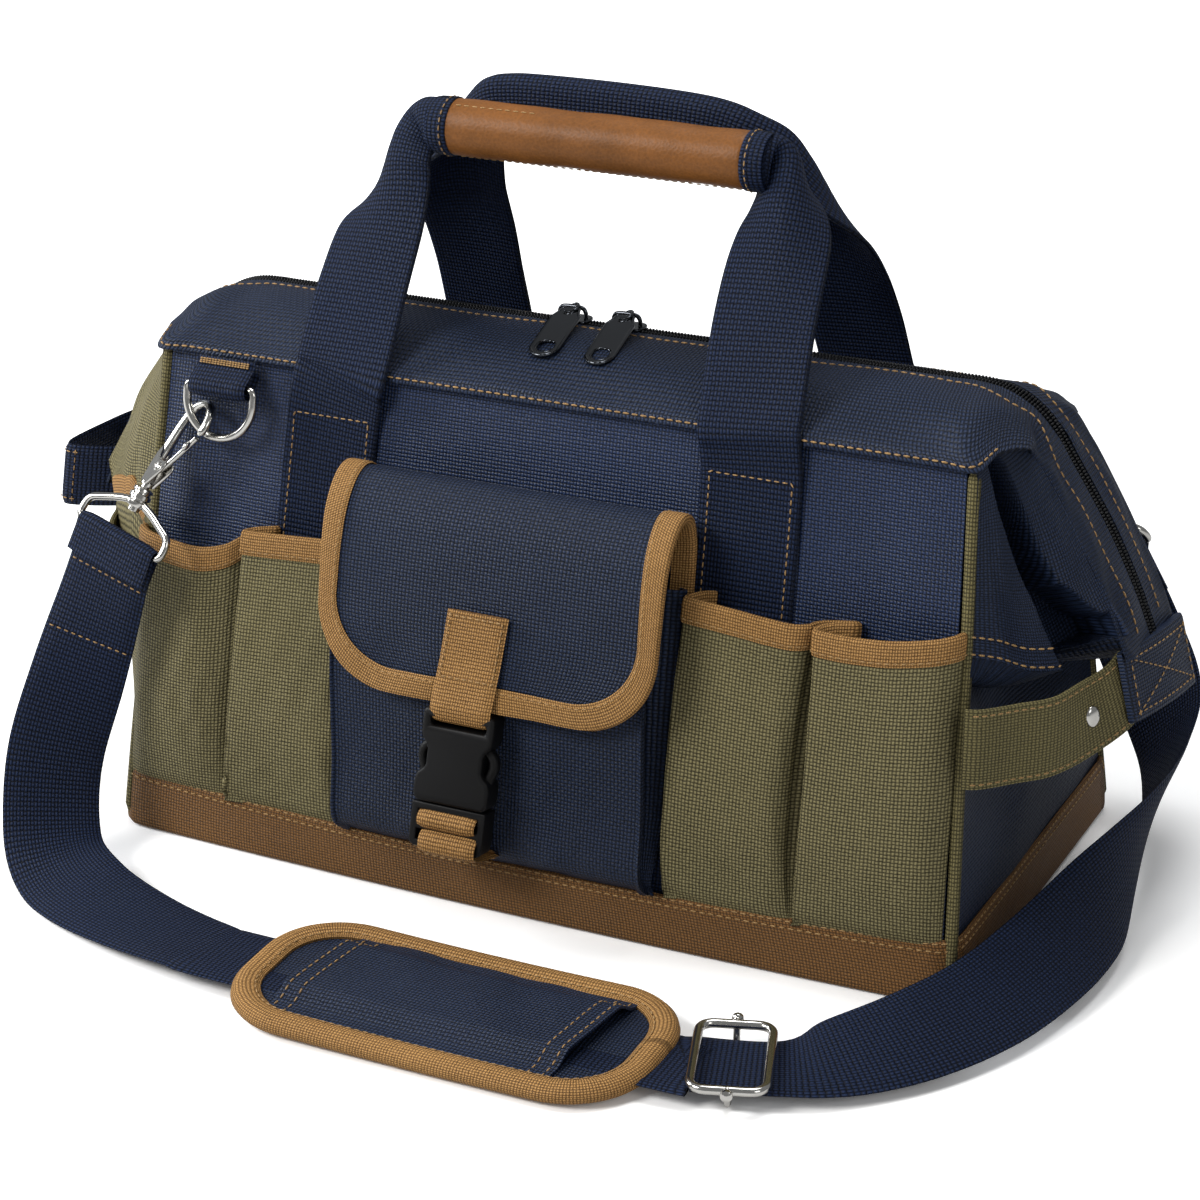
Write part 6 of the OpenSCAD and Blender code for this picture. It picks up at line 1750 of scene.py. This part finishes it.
def end_pieces():
    straps, lines, tacks = [], [], []
    for s in (1, -1):
        for front in (True, False):
            w = -1 if front else 1
            y0 = -86.0 if front else 79.0
            end = (217.2, -27.0, 109.6) if front else (221.5, 10.0, 109.0)
            path = [(175.0, y0, 99.4), (180.5, y0 - w * 3.2, 99.0), (190, y0 - w * 15, 98.4),
                    (200.5, y0 * 0.55 + end[1] * 0.45, 98.8), (end[0] - 7.5, y0 * 0.24 + end[1] * 0.76, 102.2),
                    (end[0] - 2.0, end[1] + w * 7.0, 106.4), end]
            line = smooth_line(path, 60) * [s, 1, 1]
            k = np.linspace(0, 1, 60)
            side = np.column_stack([s * -0.3 * ease((k - 0.45) / 0.5), w * 0.16 * ease((k - 0.4) / 0.5), np.ones(60)])
            side = unit(side)
            width = 30.5 - 4.0 * ease((k - 0.55) / 0.4)
            straps.append(curled_ribbon(line, side, width, 1.8))
            normal = unit(np.cross(unit(np.gradient(line, axis=0)), side))
            if (normal[:, 0] * s).sum() < 0:
                normal = -normal
            for e in (-1, 1):
                lines.append((line + e * side * (width[:, None] / 2 - 1.9) + normal * 1.0)[3:])
            i = 43
            tacks.append((line[i] + normal[i] * 0.8, normal[i], side[i]))
    parts = joined(straps)
    obj = make_object("end_strap_webbing", parts[0], parts[1], FINISH["olive_tape"], parts[2], sharp=60)
    settle(obj, "root", "olive_webbing", "end_straps")
    stitches("end_strap_stitches", lines, "root", "olive_webbing", step=3.2, length=2.4, radius=0.33)
    rivets = []
    for p, nrm, side in tacks:
        other = np.cross(nrm, side)
        profile = [(4.2, 0.0), (4.2, 0.4), (3.7, 0.9), (2.7, 1.25), (1.3, 1.4), (0.0, 1.45)]
        verts = [p - nrm * 0.4]
        count = 28
        a = np.arange(count) * 2 * math.pi / count
        for r, h in profile[:-1]:
            for t in a:
                verts.append(p + nrm * h + side * r * math.cos(t) + other * 0.82 * r * math.sin(t))
        verts.append(p + nrm * profile[-1][1])
        faces = [(0, 1 + (j + 1) % count, 1 + j) for j in range(count)]
        for i in range(len(profile) - 2):
            faces += [(1 + i * count + j, 1 + i * count + (j + 1) % count, 1 + (i + 1) * count + (j + 1) % count,
                       1 + (i + 1) * count + j) for j in range(count)]
        top = 1 + (len(profile) - 2) * count
        faces += [(top + j, top + (j + 1) % count, len(verts) - 1) for j in range(count)]
        rivets.append((np.array(verts), faces, None))
    parts = joined(rivets)
    obj = make_object("end_strap_rivet_caps", parts[0], parts[1], FINISH["silver"], None)
    settle(obj, "root", "polished_metal", "end_strap_rivets")
    right_tab()
    left_tab()


def left_tab():
    """Webbing loop that closes the left end of the zip, open from above."""
    plan = [(-216, -29), (-226, -33.5), (-236, -36.0), (-239.6, -33.0), (-240.4, -24), (-239.8, -8), (-238.6, 8),
            (-236.0, 15.5), (-228, 16.8), (-217, 15.0)]
    line = smooth_line([(x, y, 122.6) for x, y in plan], 120)
    side = unit(np.tile(np.array([-0.16, 0.0, -1.0]), (120, 1)))
    webbing_strip(line, 27.6, 2.1, "left_zip_tab_webbing", "root", "navy_webbing", ["left_zip_tab"], "webbing", side)
    out = unit(np.cross(side, np.gradient(line, axis=0)))
    if (out * (line - line.mean(0))).sum() < 0:
        out = -out
    rows = [(line + out * 1.2 + side * k)[24:100] for k in (-10.6, 10.6)]
    ends = [np.array([line[i] + out[i] * 1.2 + side[i] * k for k in np.linspace(-10.6, 10.6, 20)]) for i in (24, 99)]
    stitches("left_tab_stitches", rows + ends, "root", "navy_webbing", step=3.2, length=2.4, radius=0.3)


def curled_ribbon(line, side, width, thick):
    """A strap of changing width."""
    n = len(line)
    t = unit(np.gradient(line, axis=0))
    nrm = unit(np.cross(t, side))
    w = (np.asarray(width) / 2)[:, None]
    h = thick / 2
    ring = np.stack([line - side * w + nrm * h, line - side * w * 0.5 + nrm * (h + 0.15), line + nrm * (h + 0.25),
                     line + side * w * 0.5 + nrm * (h + 0.15), line + side * w + nrm * h, line + side * (w + 0.35),
                     line + side * w - nrm * h, line - nrm * h, line - side * w - nrm * h, line - side * (w + 0.35)], 1)
    m = ring.shape[1]
    faces = loft_faces(n, m)
    along = run_along(line)
    u = np.array([-15, -7.5, 0, 7.5, 15, 16, 17, 32, 47, 48.0])
    flat = np.stack([np.tile(u, n), np.repeat(along, m)], 1)
    return ring.reshape(-1, 3), faces, flat


def right_tab():
    """Folded webbing tab that closes the right end of the zip, with its stitched box and cross."""
    def at(y, z, lift=0.0):
        y, z = np.broadcast_arrays(np.asarray(y, float), np.asarray(z, float))
        a, b = (y + 34) / 51, (z - 108.4) / 30.0
        corners = np.array([[(221.0, -34, 97.3), (214.6, -34, 123.6)], [(229.6, 16.6, 95.6), (222.4, 16.6, 122.2)]])
        a, b = a[..., None], b[..., None]
        p = ((1 - a) * ((1 - b) * corners[0, 0] + b * corners[0, 1])
             + a * ((1 - b) * corners[1, 0] + b * corners[1, 1]))
        out = unit(np.array([0.95, -0.16, 0.26]))
        return p + out * (lift + 2.0 * np.sin(math.pi * np.clip(a[..., 0], 0, 1)))[..., None]
    y = np.linspace(-34.0, 17.0, 34)
    z = np.concatenate([[108.2, 108.4, 109.4], np.linspace(111, 135.5, 16), [137.2, 138.2, 138.4]])
    thick = np.concatenate([[0.9, 1.7, 2.05], np.full(16, 2.1), [2.05, 1.7, 0.9]])
    grid_y, grid_z = np.meshgrid(y, z, indexing="ij")
    edge = np.ones(34)
    edge[[0, -1]] = 0.5
    edge[[1, -2]] = 0.92
    t = thick[None, :] * edge[:, None]
    outer, inner = at(grid_y, grid_z, t), at(grid_y, grid_z, -t)
    n, m = outer.shape[:2]
    verts = np.concatenate([outer.reshape(-1, 3), inner.reshape(-1, 3)])
    k = n * m
    faces = []
    for i in range(n - 1):
        for j in range(m - 1):
            a, b, c, d = i * m + j, (i + 1) * m + j, (i + 1) * m + j + 1, i * m + j + 1
            faces += [(a, b, c, d), (d + k, c + k, b + k, a + k)]
    for i in range(n - 1):
        for j in (0, m - 1):
            a, b = i * m + j, (i + 1) * m + j
            faces.append((a, b, b + k, a + k))
    for j in range(m - 1):
        for i in (0, n - 1):
            a, b = i * m + j, i * m + j + 1
            faces.append((a, b, b + k, a + k))
    uv = np.concatenate([np.stack([grid_z.ravel(), grid_y.ravel()], 1)] * 2)
    obj = make_object("right_zip_tab_webbing", verts, faces, FINISH["navy"], uv, sharp=50)
    settle(obj, "root", "navy_webbing", "right_zip_tab")
    y0, y1, z0, z1 = -30.6, 13.6, 111.8, 134.6
    box = [(y0, z0), (y1, z0), (y1, z1), (y0, z1), (y0, z0)]
    lines = []
    for (a, b), (c, d) in list(zip(box[:-1], box[1:])) + [(box[0], box[2]), (box[1], box[3])]:
        t = np.linspace(0, 1, 30)
        lines.append(at(a + (c - a) * t, b + (d - b) * t, 2.25))
    stitches("right_tab_stitches", lines, "root", "navy_webbing", step=3.2, length=2.4, radius=0.33)


def ring_loops():
    parts, tacks = [], []
    for front in (True, False):
        place = on_wall(front)
        s = 1 if front else -1
        up0 = 186.73 if front else 169.6
        xc = -136.0 * s
        # the webbing comes down from the hem, goes round the ring's bar and back up under itself
        turned = [(5.2, 11.2), (6.2, 8.0), (8.6, 5.4), (11.6, 2.6), (12.6, -0.6), (11.0, -3.0), (8.4, -3.3),
                  (6.0, -1.8), (4.0, 1.0), (2.2, 3.4), (1.3, 6.0)]
        line = smooth_line([place(xc, up0 + rise, o) for o, rise in turned], 60)
        parts.append(flat_band(line, np.tile(np.array([1.0, 0, 0]), (60, 1)), 25.4, 1.7))
        if front:
            tacks += [np.array([place(xc - 10.4 + 20.8 * t, up0 + 9.4 + 0.9 * d, 6.9 - 0.3 * d)
                                for t in np.linspace(0, 1, 60)]) for d in (0.0, -0.8, 0.8)]
    parts = joined(parts)
    obj = make_object("ring_loop_webbing", parts[0], parts[1], FINISH["webbing"], parts[2], sharp=60)
    settle(obj, "root", "navy_webbing", "ring_loops")
    stitches("ring_loop_bar_tack", tacks, "root", "navy_webbing", step=1.3, length=1.25, radius=0.42)


def end_pocket():
    """Open pocket on the left end, with a bound mouth that dips towards the back."""
    s = np.linspace(0, 1, 110)
    rows = []
    knots = [0, 0.05, 0.14, 0.2, 0.25, 0.3, 0.5, 0.8, 1]
    soft = np.hanning(19) / np.hanning(19).sum()
    mouth_z = np.interp(s, knots, [127, 137.5, 132, 128, 125, 121, 108, 98, 112])
    mouth_out = np.interp(s, knots, [0, 14, 29, 36, 38, 31, 25, 14, 0])
    mouth_z[9:-9], mouth_out[9:-9] = np.convolve(mouth_z, soft, "valid"), np.convolve(mouth_out, soft, "valid")
    for z, share in ((20.0, 0.08), (45.0, 0.42), (85.0, 0.8), (None, 1.0)):
        zz = np.full_like(s, z) if z else mouth_z
        y = front_y(zz) + 3.2 + s * (back_y(zz) - front_y(zz) - 6.4)
        rows.append(np.column_stack([-(half_at(zz) + 1.2 + share * mouth_out), y, zz]))
    cols = np.stack(rows, 1)
    p = np.stack([catmull(c, 40) for c in cols])
    patch = facing(Patch(p), (-1, 0, 0))
    settle(cloth_piece("left_end_pocket_cloth", patch, FINISH["olive"], 1.2), "root", "olive_twill", "left_end_pocket")
    edge, out, up = mouth_of(patch)
    binding("left_end_pocket_tape", edge, out, up, "root", "tan_tape")


front_handle()
back_handle()
end_pieces()
ring_loops()
end_pocket()


# ---------------------------------------------------------------- rings, hooks, swivels and strap ends

def turn(axis, degrees):
    return np.array(Matrix.Rotation(math.radians(degrees), 3, axis))


RING_X, RING_W, RING_WIRE = -136, 26, 3.6
HOOK_REACH, LOOP_DROP = 32.0, 22.5


def hook_spot(front):
    """Origin and turn of a hook's own frame: swivel end at the origin, eye towards +Z."""
    wall_h, back_h = HEM_Z / math.cos(FRONT_LEAN), BACK_HEM_Z / math.cos(BACK_LEAN)
    lean = FRONT_LEAN if front else BACK_LEAN
    base = turn("X", -math.degrees(lean)) if front else turn("Z", 180) @ turn("X", -math.degrees(lean))
    start = np.array([0, -HALF_D, 0.0]) if front else np.array([0, HALF_D, 0.0])
    rise = 0.0 if front else back_h - wall_h
    ring_z = wall_h - 14.0
    reach = (RING_W + RING_WIRE) / 2 * math.sqrt(0.5)
    link = np.array([RING_X - reach, -9.0, ring_z - 5 - reach + rise])
    mouth = wall_h - 63.4
    swing = math.degrees(math.atan(13.0 / (link[2] - rise - mouth)) if front else
                         math.atan(12.7 / (link[2] - rise + back_h - wall_h - mouth + 9)))
    spin = base @ turn("X", -swing)
    eye = start + base @ link
    ring = start + base @ np.array([RING_X, -9.0, ring_z + rise])
    hook = spin @ turn("Y", 29) @ turn("Z", -32)
    foot = eye + hook @ np.array([0, 0, -HOOK_REACH])
    loop_turn = spin @ turn("Y", 29) @ turn("Y", 17 - 29)
    loop_foot = eye + spin @ turn("Y", 29) @ np.array([0, 0, -HOOK_REACH])
    return {"ring": (ring, base), "hook": (foot, hook), "loop": (loop_foot, loop_turn)}


def placed(part, spot):
    """Moves a part, given in its own frame, to its spot."""
    verts, faces, flat = part
    where, spin = spot
    return np.asarray(verts) @ np.asarray(spin).T + where, faces, flat


def rounded_path(points, radius, count=14, closed=False):
    """A polyline with its corners rounded off."""
    p = np.asarray(points, float)
    n = len(p)
    out = []
    for i in range(n):
        if not closed and i in (0, n - 1):
            out.append(p[i])
            continue
        a, b, c = p[i - 1], p[i], p[(i + 1) % n]
        r = min(radius, 0.48 * np.linalg.norm(a - b), 0.48 * np.linalg.norm(c - b))
        u, v = b + unit(a - b) * r, b + unit(c - b) * r
        for t in np.linspace(0, 1, count):
            out.append((1 - t) ** 2 * u + 2 * t * (1 - t) * b + t * t * v)
    return np.array(out)


def slab(outline, y0, y1, soft=0.5):
    """A flat casting in the XZ plane with softened edges."""
    ring = np.asarray(outline, float)
    centre = ring.mean(0)
    inner = centre + (ring - centre) * (1 - soft / np.maximum(np.linalg.norm(ring - centre, axis=1, keepdims=True), 1))
    rows = [(inner, y0), (ring, y0 + soft), (ring, y1 - soft), (inner, y1)]
    verts = [(x, y, z) for shape, y in rows for x, z in shape]
    return np.array(verts, float), loft_faces(4, len(ring)), None


def lathe(profile, sides=28):
    """A turned part about Z."""
    a = np.arange(sides) * 2 * math.pi / sides
    verts = [(r * math.cos(t), r * math.sin(t), z) for r, z in profile for t in a]
    return np.array(verts, float), loft_faces(len(profile), sides), None


def metal_object(name, parts, body, node, material="silver", slot="polished_metal"):
    whole = joined([(v, f, None) for v, f, _ in parts])
    obj = make_object(name, whole[0], whole[1], FINISH[material], None, sharp=45)
    return settle(obj, body, slot, *([node] if node else []))


def build_hook(front):
    tag = "front" if front else "back"
    spots = hook_spot(front)
    # ring: straight bar under the webbing and a round bow below it
    half = (RING_W + RING_WIRE) / 2
    a = np.linspace(0, math.pi, 40)
    bow = [(half * math.cos(t), 0, -5 - half * math.sin(t)) for t in a]
    line = rounded_path([(half, 0, 0.4)] + bow[1:-1] + [(-half, 0, 0.4)], 2.6, closed=True)
    metal_object(f"{tag}_ring_wire", [placed(tube(line, 1.7, 14, closed=True), spots["ring"])], "root",
                 f"{tag}_d_ring")
    # frame: a blade that opens into the bow of the eye, with a raised boss round the gate's pin
    blade = [(-2.4, 1.2), (2.4, 1.2), (4.2, 5.5), (5.7, 10.0), (5.9, 12.4), (4.8, 13.8), (2.2, 12.9), (0.0, 12.6),
             (-2.4, 13.4), (-3.9, 15.8), (-5.4, 17.2), (-6.0, 14.0), (-5.2, 9.5), (-3.6, 4.6)]
    cheeks = [slab(blade, -2.5, -1.35, 0.35), slab(blade, 1.35, 2.5, 0.35)]
    web = [(-2.2, 1.2), (0.9, 1.2), (0.2, 5.0), (-1.6, 9.5), (-2.6, 13.0), (-3.9, 15.8), (-5.4, 17.2), (-6.0, 14.0),
           (-5.2, 9.5), (-3.6, 4.6)]
    eye = [(8.6 * math.cos(t), 0, HOOK_REACH + 8.6 * math.sin(t)) for t in np.linspace(math.pi, -0.22, 34)]
    arm = smooth_line([(-4.6, 0, 12.5), (-6.2, 0, 19), (-7.9, 0, 26), (-8.5, 0, 30.0)] + eye, 90)
    thick = np.interp(np.linspace(0, 1, 90), [0, 0.15, 0.4, 0.8, 0.97, 1], [2.2, 2.1, 1.85, 1.8, 1.7, 0.9])
    boss = []
    for y in (-1, 1):
        v, f, m = lathe([(0.2, 0.0), (1.9, 0.0), (2.0, 0.5), (1.5, 0.85), (1.3, 0.6), (0.9, 0.55), (0.7, 0.95),
                         (0.05, 1.1)], 24)
        v = np.column_stack([v[:, 0] + 2.0, y * (2.3 + v[:, 2]), v[:, 1] + 10.0])
        boss.append((v, f, m))
    parts = cheeks + [slab(web, -1.5, 1.5, 0.2), tube(arm, thick, 16)] + boss
    parts.append(lathe([(1.6, -1.2), (1.7, 0.6), (2.7, 0.9), (2.7, 2.0), (1.9, 2.6)], 24))
    metal_object(f"{tag}_hook_casting", [placed(p, spots["hook"]) for p in parts], "root", f"{tag}_hook")
    # gate: a sprung finger with a flat thumb rest
    nose = np.array([8.6, 0, 28.6])
    pivot = np.array([2.0, 0, 10.0])
    finger = smooth_line([pivot + [-0.4, 0, -0.6], pivot + (nose - pivot) * 0.4 + [0.4, 0, 0], nose], 40)
    grip = pivot * 0.25 + nose * 0.75
    way = np.array([math.cos(math.radians(32)), -math.sin(math.radians(32)), 0.1])
    rest = smooth_line([grip, grip + way * 4.0, grip + way * 9.0], 30)
    wide = np.interp(np.linspace(0, 1, 30), [0, 0.3, 0.75, 0.93, 1], [1.1, 1.7, 2.3, 1.9, 0.7])
    gate = [tube(finger, 1.15, 14), tube(rest, wide, 16, flat=0.5, across=np.tile([0.0, 0, 1.0], (30, 1)))]
    metal_object(f"{tag}_gate_finger", [placed(p, spots["hook"]) for p in gate], f"{tag}_gate_body",
                 f"{tag}_hook_gate")
    # swivel: ridged barrel and the wide loop that carries the strap
    w = 39.5 / 2 + 1.6
    barrel = lathe([(1.2, -10.8), (2.3, -10.4), (2.4, -8.9), (3.9, -8.6), (4.25, -7.8), (4.25, -6.6), (3.6, -6.2),
                    (3.6, -5.4), (4.35, -5.0), (4.35, -3.4), (3.6, -3.0), (3.5, -2.3), (4.1, -1.9), (3.9, -0.9),
                    (2.4, -0.4)], 10)
    wire = [(3.0, 0, -6.8), (8.5, 0, -8.4), (w - 0.5, 0, -14.0), (w, 0, -LOOP_DROP), (-w, 0, -LOOP_DROP),
            (-w + 0.5, 0, -14.0), (-8.5, 0, -8.4), (-3.0, 0, -6.8)]
    line = rounded_path(wire, 3.4, 10)
    loop = [barrel, tube(line, 1.55, 14)]
    metal_object(f"{tag}_swivel_loop", [placed(p, spots["loop"]) for p in loop], "root", f"{tag}_swivel")
    return spots["loop"]


def strap_folds(spots):
    """The strap's ends: turned round the loops' bars and sewn down behind."""
    path = strap_line()[0]
    parts = []
    for i, spot in enumerate(spots):
        where, spin = spot
        bar = where + np.asarray(spin) @ np.array([0, 0, -LOOP_DROP])
        step = path[26] - path[4] if i == 0 else path[-27] - path[-5]
        across = unit(np.asarray(spin) @ np.array([1.0, 0, 0]))
        down = unit(step - across * (step @ across))
        out = unit(np.cross(across, down))
        if out[1] * (-1 if i == 0 else 1) < 0:
            out = -out
        r = 2.75
        a = np.linspace(0, math.pi, 18)
        arc = [bar + out * r * math.cos(t) - down * r * math.sin(t) for t in a]
        near = [bar + out * 2.45 + down * k for k in (13, 9, 6, 3)]
        far = [bar - out * 2.6 + down * k for k in (3, 6, 10, 15)]
        line = smooth_line(near + arc + far, 80)
        parts.append(flat_band(line, np.tile(across, (80, 1)), 38.6, 1.7))
    whole = joined(parts)
    obj = make_object("strap_end_folds", whole[0], whole[1], FINISH["webbing"], whole[2], sharp=60)
    settle(obj, "root", "navy_webbing")


strap_folds([build_hook(True), build_hook(False)])


# ---------------------------------------------------------------- sliders and pulls

PULL_PIVOT_Z, PULL_HALF, PULL_LONG, SLIDER_SLOT = 216.3, 5.5, 41.0, "slider_metal"


def build_slider(tag, x):
    """Slider body and bridge on the slider's body, plate and ring on the pull's."""
    pivot_z = PULL_PIVOT_Z
    top = ZIP_Z + 0.7
    shape = [(-7.3, 0), (-6.6, -3.6), (-3.5, -4.9), (4.5, -5.1), (7.0, -4.0), (7.4, 0), (7.0, 4.0), (4.5, 5.1),
             (-3.5, 4.9), (-6.6, 3.6)]
    outline = rounded_path([(a, b, 0) for a, b in shape], 1.4, 5, closed=True)[:, :2]
    flat, faces, _ = slab(outline, 0, 1.5, 0.35)
    upper = (np.column_stack([flat[:, 0], flat[:, 2], flat[:, 1] + top]), faces, None)
    lower = (np.column_stack([flat[:, 0], flat[:, 2], flat[:, 1] + ZIP_Z - 5.2]), faces, None)
    post = (np.column_stack([flat[:, 0] * 0.4, flat[:, 2] * 0.09, flat[:, 1] / 1.5 * 5.6 + ZIP_Z - 4.6]), faces, None)
    hump = smooth_line([(-5.6, 0, top + 0.9), (-5.4, 0, pivot_z - 1.6), (-3.4, 0, pivot_z), (3.4, 0, pivot_z),
                        (5.4, 0, pivot_z - 1.6), (5.6, 0, top + 0.9)], 50)
    parts = [upper, lower, post, tube(hump, 0.85, 12)]
    spot = (np.array([x, ZIP_Y, 0.0]), np.eye(3))
    metal_object(f"{tag}_slider_casting", [placed(p, spot) for p in parts], f"{tag}_slider_body", f"{tag}_slider",
                 "gunmetal", SLIDER_SLOT)
    w, length = PULL_HALF, PULL_LONG
    edge = [(-3.3, -1.6), (-3.6, -4.5), (-w, -9.5), (-w, -length + 4.6), (-w + 2.6, -length + 0.7), (0, -length),
            (w - 2.6, -length + 0.7), (w, -length + 4.6), (w, -9.5), (3.6, -4.5), (3.3, -1.6)]
    edge = rounded_path([(a, b, 0) for a, b in edge], 1.6, 6, closed=True)[:, :2]
    hole = [(-3.7, -31.4), (-2.2, -29.6), (0, -29.0), (2.2, -29.6), (3.7, -31.4), (3.8, -35.6), (2.0, -38.6),
            (0, -39.2), (-2.0, -38.6), (-3.8, -35.6)]
    hole = rounded_path([(a, b, 0) for a, b in hole], 1.0, 4, closed=True)[:, :2]
    eye = [(-2.0, -4.4), (2.0, -4.4), (1.8, -7.2), (0, -8.0), (-1.8, -7.2)]
    eye = rounded_path([(a, b, 0) for a, b in eye], 0.8, 4, closed=True)[:, :2]
    mesh = filled_plate("plate", (edge, hole, eye), 0.5)
    plate = (np.array([v.co for v in mesh.vertices]), [tuple(p.vertices) for p in mesh.polygons], None)
    bpy.data.meshes.remove(mesh)
    rims = [tube(np.column_stack([ring * np.array([k, 1.0]), np.zeros(len(ring))]), r, 8, closed=True)
            for ring, k, r in ((edge, 0.985, 0.72), (hole, 1.0, 0.62), (eye, 1.0, 0.55))]
    spin = turn("X", 10.5) @ turn("Z", 8)
    spot = (np.array([x, ZIP_Y, pivot_z]), spin)
    a = np.linspace(0, 2 * math.pi, 60, endpoint=False)
    ring = np.column_stack([2.6 * np.cos(a), -2.1 + 4.3 * np.sin(a), 1.15 * np.cos(a) - 0.2])
    parts = [plate] + rims + [tube(ring, 0.7, 10, closed=True)]
    metal_object(f"{tag}_pull_plate", [placed(p, spot) for p in parts], f"{tag}_pull_body", f"{tag}_pull",
                 "gunmetal", SLIDER_SLOT)


build_slider("left", -16.0)
build_slider("right", 7.0)


light_studio()
lay_floor()
